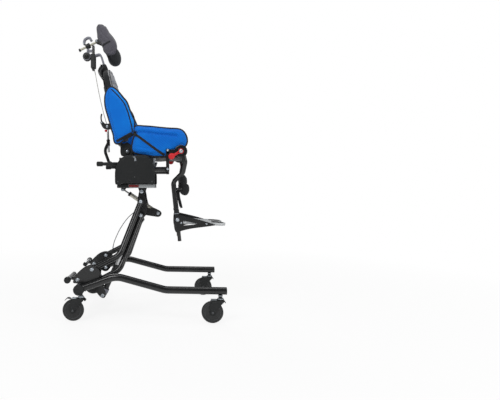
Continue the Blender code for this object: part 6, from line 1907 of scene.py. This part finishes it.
def laidOn(surface, points, way, lift=0.0):
    # Points dropped onto a surface against the way it faces
    way = Vector(way).normalized()
    line = []
    for point in points:
        hit, normal = surface.ray_cast(point + way * 0.5, -way)[:2]
        if hit is not None:
            line.append(hit + normal * lift)
    return line


def sideLine(surface, spots, side, lift=0.0, steps=10):
    return laidOn(surface, smoothLine([at(spot) for spot in spots], steps), (0, side, 0), lift)


def rimLine(surface, outline, y, lift=0.0, steps=6, spread=1.25):
    # The outer edge of a stuffed form, found on its surface at one distance from the middle
    loop = smoothLoop(outline, steps)
    middle = at((sum(x for x, z in loop) / len(loop), sum(z for x, z in loop) / len(loop)), y)
    line = []
    for spot in loop:
        away = (at(spot, y) - middle) * spread
        hit, normal = surface.ray_cast(middle + away, -away.normalized())[:2]
        if hit is not None:
            line.append(hit + normal * lift)
    return line


def strap(name, surface, spots, way, width, thick, material, steps=8):
    # Webbing that follows a surface
    centre = smoothLine([Vector(spot) for spot in spots], steps)
    way = Vector(way).normalized()
    rings = []
    for k, point in enumerate(centre):
        along = (centre[min(k + 1, len(centre) - 1)] - centre[max(k - 1, 0)]).normalized()
        across = along.cross(way).normalized() * (width / 2)
        upper, lower = [], []
        for u in (-1.0, -0.5, 0.0, 0.5, 1.0):
            hit, normal = surface.ray_cast(point + across * u + way * 0.5, -way)[:2]
            if hit is None:
                hit, normal = surface.find_nearest(point + across * u + way * 0.16)[:2]
            upper.append(hit + normal * thick)
            lower.append(hit - normal * thick * 0.4)
        rings.append(upper + lower[::-1])
    item = softened(fromRings(name, rings, sharp=60.0), thick * 0.3, 2, 60.0)
    item.data.materials.append(material)
    return item


def mirrored(item, name):
    # The same piece sewn for the other side
    mesh = item.data.copy()
    mesh.transform(Matrix.Scale(-1.0, 4, (0.0, 1.0, 0.0)))
    mesh.flip_normals()
    return newItem(name, mesh)


def pairUp(item, body, stem, node=False):
    # Keeps the right-hand piece and adds its mirror image on the left
    other = mirrored(item, item.name.replace("Right", "Left"))
    for piece, tail in ((item, "right"), (other, "left")):
        name = stem + "_" + tail
        dress(piece, None, body, name, *((name,) if node else ()))
    return other


# side wings of the seat and the back

longStitch = {"Pitch": 0.0042, "Length": 0.003, "Thickness": 0.0006}
thinStitch = {"Pitch": 0.0042, "Length": 0.003, "Thickness": 0.0005}
fineStitch = {"Pitch": 0.004, "Length": 0.0028, "Thickness": 0.0005}
wing = {"near": 0.1328, "far": 0.1732, "piping": 0.0045, "pipeAt": -0.1565, "lift": 0.0022, "strap": 0.0115,
        "grow": 0.004}
seatWingOutline = (
    (-0.044, 0.928), (0.0, 0.93), (0.06, 0.925), (0.125, 0.917), (0.172, 0.911),
    (0.195, 0.899), (0.209, 0.876), (0.212, 0.848), (0.197, 0.824), (0.156, 0.799),
    (0.106, 0.783), (0.045, 0.782), (-0.015, 0.789), (-0.048, 0.8), (-0.055, 0.818),
    (-0.054, 0.84), (-0.05, 0.862), (-0.044, 0.89),
)
backWingOutline = (
    (-0.165, 1.121), (-0.147, 1.116), (-0.128, 1.099), (-0.086, 1.05), (-0.065, 1.0), (-0.048, 0.956),
    (-0.047, 0.93), (-0.051, 0.892), (-0.09, 0.868), (-0.132, 0.844), (-0.15, 0.89),
    (-0.166, 0.945), (-0.182, 1.005), (-0.188, 1.05), (-0.183, 1.095),
)
wingLow, wingHigh = (None, -wing["far"] - 0.004, None), (None, -wing["near"], None)

seatWing = stuffedForm("seatWingRight", seatWingOutline, -wing["far"], -wing["near"], 0.34, 0.62,
    grow=wing["grow"])
stuffed(seatWing, 0.005, 4.5, 0.0055, 20, wingLow, wingHigh)
surface = skin(seatWing)
rollSpots = ((-0.042, 0.896), (0.0, 0.8975), (0.06, 0.8915), (0.115, 0.884), (0.162, 0.879))
roll = sideLine(surface, rollSpots, -1)
pressed(seatWing, roll, 0.0065, 0.007, 0.0006, 0.014)
lowSpots = ((-0.045, 0.83), (0.02, 0.818), (0.09, 0.806), (0.15, 0.813), (0.19, 0.84))
pressed(seatWing, sideLine(surface, lowSpots, -1), 0.005, 0.0022, 0.0004, 0.012)
edgeSeam = rimLine(surface, seatWingOutline, -0.169)
pressed(seatWing, edgeSeam + edgeSeam[:1], 0.0035, 0.001, 0.0007, 0.011)
seatWing.data.materials.append(blueMesh)
surface = skin(seatWing)
seatPiping = repeated("seatPipingRight", piping, rimLine(surface, seatWingOutline, wing["pipeAt"],
    wing["lift"]), blackTape, {
    "Radius": wing["piping"], "Step": 0.004, "Uneven": 0.08, "Seed": 3,
}, closed=True)
seatStitches = repeated("seatStitchesRight", stitches, sideLine(surface, rollSpots, -1, 0.0002), threadBlue,
    longStitch)
hem = [
    (0.106 + (x - 0.106) * 0.955 - 0.004, 0.855 + (z - 0.855) * 0.905) for x, z in seatWingOutline
]
hemStitches = repeated("seatHemRight", stitches, sideLine(surface, hem[:9], -1, 0.0002, 14), threadBlue,
    thinStitch)
seatStrap = strap("seatStrapRight", surface, [at(spot) for spot in (
    (-0.04, 0.888), (-0.008, 0.865), (0.035, 0.833), (0.075, 0.804), (0.103, 0.786),
)], (0, -1, 0), wing["strap"], 0.0016, blackTape)
buckle = block("seatBuckleRight", (-0.0475, -0.1748, 0.8795), (-0.0345, -0.17, 0.8935), 0.0018, 3)
buckle.data.materials.append(blackMoulding)

backWing = stuffedForm("backWingRight", backWingOutline, -wing["far"], -wing["near"], 0.34, 0.62,
    grow=wing["grow"])
stuffed(backWing, 0.005, 4.5, 0.0055, 20, wingLow, wingHigh)
surface = skin(backWing)
zipSpots = (
    (-0.158, 1.112), (-0.129, 1.083), (-0.096, 1.043), (-0.079, 1.005), (-0.068, 0.97), (-0.059, 0.935),
    (-0.053, 0.9),
)
rearSpots = (
    (-0.172, 1.09), (-0.174, 1.05), (-0.168, 1.005), (-0.154, 0.95), (-0.14, 0.899), (-0.129, 0.862),
)
pressed(backWing, sideLine(surface, zipSpots, -1), 0.005, 0.0034, 0.0005, 0.012)
pressed(backWing, sideLine(surface, rearSpots, -1), 0.0042, 0.0026, 0.0004, 0.012)
edgeSeam = rimLine(surface, backWingOutline, -0.169)
pressed(backWing, edgeSeam + edgeSeam[:1], 0.0035, 0.001, 0.0006, 0.011)
backWing.data.materials.append(blueMesh)
backWing.data.materials.append(brightMesh)
heights, places = [z for x, z in reversed(zipSpots)], [x for x, z in reversed(zipSpots)]
for face in backWing.data.polygons:
    ahead = face.center.x - centring > float(np.interp(face.center.z, heights, places))
    face.material_index = 1 if ahead else 0
surface = skin(backWing)
backPiping = repeated("backPipingRight", piping, rimLine(surface, backWingOutline, wing["pipeAt"],
    wing["lift"]), blackTape, {
    "Radius": wing["piping"], "Step": 0.004, "Uneven": 0.08, "Seed": 5,
}, closed=True)
zipTape = strap("zipTapeRight", surface, [at(spot) for spot in zipSpots], (0, -1, 0), 0.0056, 0.001,
    blackTape)
zipTeeth = repeated("zipTeethRight", stitches, sideLine(surface, zipSpots, -1, 0.0014), blackMoulding, {
    "Pitch": 0.002, "Length": 0.0012, "Thickness": 0.0011, "Flatness": 0.8,
})
rearStitches = repeated("backStitchesRight", stitches, sideLine(surface, rearSpots, -1, 0.0002), threadBlue,
    longStitch)
lowBand = strap("backBandRight", surface, [at(spot) for spot in (
    (-0.133, 0.8535), (-0.112, 0.865), (-0.086, 0.8795), (-0.0565, 0.896),
)], (0, -1, 0), 0.0115, 0.0016, blackTape)
for body, stem, items in (
    ("seat_unit", "seat_wing", (seatWing, seatPiping, seatStitches, hemStitches, seatStrap, buckle)),
    ("backrest", "back_wing", (backWing, backPiping, zipTape, zipTeeth, rearStitches, lowBand)),
):
    for item in items:
        stuffing = item is items[0]
        other = pairUp(item, body, stem, stuffing)
        if stuffing:
            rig.padded(item, 0.8)
            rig.padded(other, 0.8)
print("wings made")

# seat and back cushions

seatPad = {"back": -0.059, "front": 0.206, "half": 0.1318, "low": 0.7853, "thick": 0.0595}
origin = at(((seatPad["back"] + seatPad["front"]) / 2, seatPad["low"]))
length = seatPad["front"] - seatPad["back"]
seatCushion = cushionForm(
    "seatCushion", origin, Vector((1, 0, 0)), Vector((0, 1, 0)), Vector((0, 0, 1)),
    (length - 0.006, 2 * seatPad["half"] - 0.006, seatPad["thick"] - 0.004), 0.03, 0.01,
)
stuffed(seatCushion, 0.006, 4.0, 0.005, 20, (None, -seatPad["half"], seatPad["low"]),
    (None, seatPad["half"], None))
seatCushion.data.materials.append(seatMesh)
surface = skin(seatCushion)
standIn(seatCushion, None, "seat_unit", "seat_cushion")
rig.padded(seatCushion, 0.8)


def planRim(origin, lengthWay, widthWay, riseWay, length, width, height, corner=0.03):
    # The seam round a cushion at one height, in even steps; each corner ends on a doubled point
    line = []
    for k, (u, v) in enumerate(roundedPlan(length, width, corner, 6)):
        point = origin + lengthWay * u + widthWay * v + riseWay * height
        line += [point] * (2 if k % 7 == 6 else 1)
    even = []
    for start, finish in zip(line, line[1:] + line[:1]):
        steps = max(1, int((finish - start).length / 0.008))
        even += [start.lerp(finish, k / steps) for k in range(steps)]
    return even


def cordRound(name, surface, rim, middle, body, slotName, material):
    line = []
    for point in rim:
        away = point - middle
        hit, normal = surface.ray_cast(middle + away * 1.3, -away.normalized())[:2]
        if hit is not None:
            line.append(hit + normal * 0.0004)
    item = repeated(name, piping, line, material, {"Radius": 0.0021, "Step": 0.004, "Uneven": 0.1, "Seed": 7},
        closed=True)
    return dress(item, None, body, slotName)


rim = planRim(origin, Vector((1, 0, 0)), Vector((0, 1, 0)), Vector((0, 0, 1)), length, 2 * seatPad["half"],
    0.048)
cordRound("seatCushionPiping", surface, rim, origin + Vector((0, 0, 0.044)), "seat_unit", "seat_cushion",
    blackTape)

backPad = {"low": 0.869, "high": 1.245, "half": 0.1318, "thick": 0.0455}
backUp, backOut = Vector((-math.sin(lean), 0, math.cos(lean))), Vector((math.cos(lean), 0, math.sin(lean)))
middleHeight = (backPad["low"] + backPad["high"]) / 2
origin = at((backRear(middleHeight) + 0.0116, middleHeight))
length = (backPad["high"] - backPad["low"]) / math.cos(lean)
backCushion = cushionForm("backCushion", origin, backUp, Vector((0, 1, 0)), backOut,
                          (length - 0.006, 2 * backPad["half"] - 0.006, backPad["thick"] - 0.004), 0.034,
                          0.01, 0.14)
stuffed(backCushion, 0.006, 4.0, 0.005, 20, (None, -backPad["half"], None), (None, backPad["half"], None))
for vertex in backCushion.data.vertices:
    depth = (vertex.co - origin).dot(backOut)
    if depth < 0.0:
        vertex.co -= backOut * depth
arched(backCushion, 1.1, 1.25, 0.035, 0.132)
surface = skin(backCushion)
channels = []
for share in (0.2, 0.38, 0.56, 0.74, 0.88):
    base = origin + backUp * (length * (share - 0.5))
    points = [
        base + Vector((0, -0.11 + 0.22 * t / 12, 0)) + backUp * (0.005 * math.sin(math.pi * t / 12))
        for t in range(13)
    ]
    channels.append(laidOn(surface, points, backOut))
    pressed(backCushion, channels[-1], 0.0065, 0.0052, 0.0006, 0.014)
backCushion.data.materials.append(greyCloth)
backCushion.data.materials.append(blackCloth)
for face in backCushion.data.polygons:
    facing = face.normal.dot(backOut)
    depth = (face.center - origin).dot(backOut)
    face.material_index = 0 if facing > 0.25 and depth > 0.024 and face.center.z > 0.925 else 1
surface = skin(backCushion)
standIn(backCushion, None, "backrest", "back_cushion")
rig.padded(backCushion, 0.8)
for k, channel in enumerate(channels):
    dress(repeated("backChannelStitches%d" % (k + 1), stitches, laidOn(surface, channel, backOut, 0.0002),
        threadGrey, longStitch), None, "backrest", "back_cushion")
rim = planRim(origin, backUp, Vector((0, 1, 0)), backOut, length, 2 * backPad["half"], 0.034, 0.034)
cordRound("backCushionPiping", surface, rim, origin + backOut * 0.031, "backrest", "back_cushion", blackTape)

# black cover drawn over the top of the back shell, fuller behind
hood = {"levels": (
    (1.118, 0.0, 0.0, 0.133), (1.13, 0.003, 0.0, 0.131), (1.145, 0.003, 0.0, 0.122),
    (1.16, 0.002, 0.0, 0.114), (1.185, 0.0015, 0.0, 0.11), (1.2, 0.007, 0.0, 0.1095),
    (1.22, 0.018, 0.0, 0.1085), (1.237, 0.0215, 0.001, 0.1075), (1.25, 0.017, 0.01, 0.1055),
    (1.262, 0.008, 0.019, 0.1015), (1.272, -0.002, 0.022, 0.094), (1.279, -0.013, 0.019, 0.082),
)}
rings = []
for height, bulge, lip, half in hood["levels"]:
    rearmost, foremost = backRear(height) - bulge, backRear(height) + 0.0113 + lip
    middle, reach = (rearmost + foremost) / 2, (foremost - rearmost) / 2
    ring = []
    for k in range(56):
        angle = math.tau * k / 56
        front = math.cos(angle) > 0
        v = math.copysign(abs(math.sin(angle)) ** (0.36 if front else 0.8), math.sin(angle))
        u = math.cos(angle) ** 0.5 if front else v * v - 1
        ring.append(at((middle + reach * u, height), half * v))
    rings.append(ring)
topCover = fromRings("backTopCover", rings, sharp=80.0)
finer = topCover.modifiers.new("finer", "SUBSURF")
finer.levels = finer.render_levels = 2
arched(settled(topCover), 1.18, 1.285, 0.034, 0.105)
topCover.data.materials.append(blackHide)
surface = skin(topCover)
for k, y in enumerate((-0.06, 0.06)):
    line = laidOn(surface, [
        at((backRear(z), z), y * (1 - 0.12 * (z - 1.14) / 0.12))
        for z in (1.14, 1.16, 1.18, 1.2, 1.22, 1.24, 1.255)
    ], (-1, 0, 0))
    pressed(topCover, line, 0.004, 0.0024, 0.0004, 0.01)
topCover.data.shade_smooth()
dress(topCover, None, "backrest", "back_shell")
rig.padded(topCover, 0.8)
hemLine = [at((backRear(1.121) - 0.0052, 1.121), -0.118 + 0.236 * t / 24) for t in range(25)]
dress(repeated("backCoverHem", stitches, laidOn(skin(topCover), hemLine, (-1, 0, 0), 0.0002), threadGrey,
    thinStitch), None, "backrest", "back_shell")
print("cushions and back cover made")

# head support pad

headOutline = (
    (-0.2293, 1.4601), (-0.2066, 1.4487), (-0.1952, 1.4351), (-0.1815, 1.41), (-0.161, 1.3873),
    (-0.1473, 1.3668),
    (-0.1405, 1.3418), (-0.1427, 1.319), (-0.1564, 1.305), (-0.18, 1.305), (-0.198, 1.32), (-0.213, 1.3554),
    (-0.228, 1.3828), (-0.231, 1.4101), (-0.2345, 1.4488),
)
head = {"inner": 0.078, "outer": 0.115, "wall": 0.032, "top": 1.493, "drop": 0.034}
wallRear = ((-0.238, 1.445), (-0.234, 1.4), (-0.222, 1.366))
wallTurn = math.radians(8.0)
half = (head["inner"] + head["outer"]) / 2
rings = []
for k in range(13):
    y = half * (k / 6 - 1)
    rear = [(-0.2355, head["top"] - head["drop"] * (y / half) ** 2)] + list(wallRear)
    front = [
        (x + head["wall"] * math.cos(wallTurn), z + head["wall"] * math.sin(wallTurn)) for x,
        z in reversed(wallRear)
    ] + [(rear[0][0] + head["wall"] * 0.72, rear[0][1] - 0.002)]
    rings.append([at(spot, y) for spot in rear + front])
wall = softened(fromRings("wall", rings), 0.008, 4)
headPad = joined("headPad", [
    stuffedForm("lobe", headOutline, -head["outer"], -head["inner"], 0.34, 0.66, 8, 4, 0.004),
    stuffedForm("lobe", headOutline, head["inner"], head["outer"], 0.34, 0.66, 8, 4, 0.004), wall,
])
stuffed(headPad, 0.005, 4.5, 0.005, 20, None, (None, None, 1.4945))
surface = skin(headPad)
headSeams = (
    ((-0.23, 1.44), (-0.2191, 1.4173), (-0.198, 1.393), (-0.1772, 1.3716)),
    ((-0.231, 1.405), (-0.223, 1.39), (-0.212, 1.376), (-0.199, 1.364)),
    ((-0.17, 1.364), (-0.1655, 1.35), (-0.1615, 1.3384), (-0.164, 1.323)),
    ((-0.206, 1.329), (-0.193, 1.318), (-0.174, 1.315), (-0.16, 1.322), (-0.152, 1.336)),
)
seamLines = []
for side in (-1, 1):
    for spots in headSeams:
        line = sideLine(surface, spots, side, 0.0, 6)
        seamLines.append((line, side))
        pressed(headPad, line, 0.0036, 0.0024, 0.0003, 0.01)
headPad.data.materials.append(charcoalCloth)
headPad.data.materials.append(darkCloth)
# Inward-facing faces, and the front faces between the two lobes, take the darker copy of the charcoal cloth as painted
# shade
for face in headPad.data.polygons:
    inward = -face.normal.y if face.center.y > 0 else face.normal.y
    face.material_index = 1 if inward > 0.25 or face.normal.x > 0.5 and abs(face.center.y) < head["inner"] else 0
surface = skin(headPad)
standIn(headPad, None, "head_rest", "head_pad")
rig.padded(headPad, 0.8)
for k, (line, side) in enumerate(seamLines):
    if k % 4 in (0, 1):
        continue
    raised = laidOn(surface, line, (0, side, 0), 0.0002)
    dress(repeated("headStitches%d" % (k + 1), stitches, raised, threadGrey, fineStitch), None, "head_rest",
        "head_pad")
for label, tail, side in sides:
    dress(strap("headStrap" + label, surface, [at(spot) for spot in (
        (-0.211, 1.344), (-0.198, 1.351), (-0.184, 1.359), (-0.1715, 1.366),
    )], (0, side, 0), 0.0085, 0.0014, blackTape), None, "head_rest", "head_pad")
    rim = rimLine(surface, headOutline, side * 0.0965, 0.0004)
    dress(repeated("headPiping" + label, piping, rim, blackTape, {
        "Radius": 0.0014, "Step": 0.004, "Uneven": 0.1, "Seed": 11,
    }, closed=True), None, "head_rest", "head_pad")
headLug = (
    (-0.264, 1.403), (-0.26, 1.396), (-0.252, 1.393), (-0.224, 1.385), (-0.227, 1.418),
    (-0.254, 1.413), (-0.262, 1.411),
)
pieces = []
for side in (-1, 1):
    pieces.append(sheetPlate("lug", headLug, *span(side, 0.0084, 0.0134), 0.001))
pieces.append(crossRod("pin", headBar["front"], -0.0105, 0.0105, 0.003, 0.0004))
dress(joined("headHinge", pieces), blackMoulding, "head_rest", "head_pad")
boltRow("headHingeBolts", "head_rest", "head_pad", [(headBar["front"], side * 0.0134, side)
    for side in (-1, 1)],
        0.004, 0.0018)
print("head support made")

# calf supports

calf = {"inner": 0.014, "outer": 0.107, "bar": 0.006}
upperPad = (
    (0.18, 0.696), (0.193, 0.701), (0.206, 0.69), (0.213, 0.67), (0.213, 0.652), (0.203, 0.64),
    (0.189, 0.643), (0.18, 0.66),
)
lowerPad = (
    (0.183, 0.656), (0.196, 0.66), (0.212, 0.653), (0.224, 0.633), (0.228, 0.608),
    (0.217, 0.588), (0.199, 0.587), (0.185, 0.605), (0.179, 0.632),
)
for label, tail, side in sides:
    ends = span(side, calf["inner"], calf["outer"])
    pad = joined("calfPad" + label, [
        stuffedForm("upper", upperPad, ends[0], ends[1], 0.3, 0.45, 9, 4, 0.0),
        stuffedForm("lower", lowerPad, ends[0], ends[1], 0.3, 0.45, 9, 4, 0.0),
    ])
    stuffed(pad, 0.005, 4.0, 0.004, 16)
    surface = skin(pad)
    groove = laidOn(surface, [at((0.2, 0.648), side * (0.018 + 0.084 * t / 10)) for t in range(11)],
        (1, 0, 0))
    pressed(pad, groove, 0.005, 0.004, 0.0005, 0.012)
    pad.data.materials.append(blackCloth)
    surface = skin(pad)
    nodes = ("calf_support",) if side < 0 else ()
    dress(pad, None, "leg_support", "calf_support", *nodes)
    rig.padded(pad, 0.8)
    dress(repeated("calfPiping" + label, piping, rimLine(surface, lowerPad, side * 0.096, 0.0003), blackTape, {
        "Radius": 0.0015, "Step": 0.004, "Uneven": 0.1, "Seed": 13,
    }, closed=True), None, "leg_support", "calf_support")
    dress(repeated("calfStitches" + label, stitches, laidOn(surface, groove, (1, 0, 0), 0.0002), threadGrey,
        fineStitch), None, "leg_support", "calf_support")
route = [
    at((0.155, 0.62), -0.114), at((0.192, 0.62), -0.1115), at((0.192, 0.62), 0.1115),
    at((0.155, 0.62), 0.114),
]
barPart = swept("calfBar", filleted(route, 0.012, 8), roundSection(calf["bar"], 28), guide=(0, 0, 1))
dress(barPart, blackPaint, "leg_support", "calf_support")
for label, tail, side in sides:
    webbing = swept("calfStrapTail" + label, smoothLine([at(spot, side * 0.09) for spot in (
        (0.181, 0.623), (0.174, 0.608), (0.176, 0.58), (0.183, 0.55), (0.189, 0.524),
    )], 6), barSection(0.0018, 0.012, 0.4, 2))
    dress(webbing, blackTape, "leg_support", "calf_support")
print("calf supports made")

# release cable on the left upper arm

cable = {"radius": 0.0022, "points": 22, "middle": (
    ((-0.19, 0.32), 0.97), ((-0.156, 0.39), 0.805), ((-0.108, 0.456), 0.55),
), "ends": (0.36, 0.78)}


def besideArm(start, finish, share):
    along = (finish - start).normalized()
    aside = Vector((-along.z, 0, along.x)).normalized()
    return start.lerp(finish, share) + aside * (arm["radius"] + cable["radius"] + 0.0003)


kneeSpot = at(arm["knee"], arm["baseHalf"])
route = [besideArm(at(leaf["upper"], arm["baseHalf"]), kneeSpot, cable["ends"][0])]
for spot, share in cable["middle"]:
    route.append(at(spot, arm["topHalf"] + (arm["baseHalf"] - arm["topHalf"]) * share))
route.append(besideArm(kneeSpot, at(armShoulder, arm["topHalf"]), cable["ends"][1]))
line = []
for k in range(cable["points"] + 1):
    span = (len(route) - 1) * k / cable["points"]
    index = min(int(span), len(route) - 2)
    part = span - index
    before, start = route[max(index - 1, 0)], route[index]
    finish, after = route[index + 1], route[min(index + 2, len(route) - 1)]
    line.append(
        start * (2 * part ** 3 - 3 * part ** 2 + 1) + (finish - before) / 2 * (part ** 3 - 2 * part ** 2 + part)
        + finish * (3 * part ** 2 - 2 * part ** 3) + (after - start) / 2 * (part ** 3 - part ** 2)
    )
cableLength = sum((b - a).length for a, b in zip(line, line[1:]))
sheath = swept("releaseCable", line, roundSection(cable["radius"], 16))
standIn(sheath, cableSheath, "lift_arm_left", "release_cable")
ferrules = []
for end, other in ((0, 1), (-1, -2)):
    way = (line[end] - line[other]).normalized()
    ferrules.append(roundedRod("ferrule", line[end] - way * 0.009, line[end] + way * 0.0004, 0.0033, 0.0006,
        20))
dress(joined("cableFerrules", ferrules), zincSteel, "lift_arm_left", "release_cable")
clips = []
for foot, top, share in ((at(leaf["upper"], arm["baseHalf"]), kneeSpot, cable["ends"][0]),
                         (kneeSpot, at(armShoulder, arm["topHalf"]), cable["ends"][1])):
    along = (top - foot).normalized()
    middle = foot.lerp(top, share)
    clips.append(turned("clip", middle - along * 0.004, along, (
        (0.0, 0.0142), (0.0004, 0.015), (0.002, 0.0153), (0.006, 0.0153), (0.0076, 0.015), (0.008, 0.0142),
    ), 32))
dress(joined("cableClips", clips), blackMoulding, "lift_arm_left", "upper_arm_left")
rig.cord(sheath, line[0], cableLength, 2 * cable["radius"], "object", "medium", "loose", path=line)
print("release cable made")

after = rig.bounds()
sizes = {"solids": [list(part) for part in cadBox], "scene": [list(part) for part in after]}
with open("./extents.json", "w") as out:
    json.dump(sizes, out)
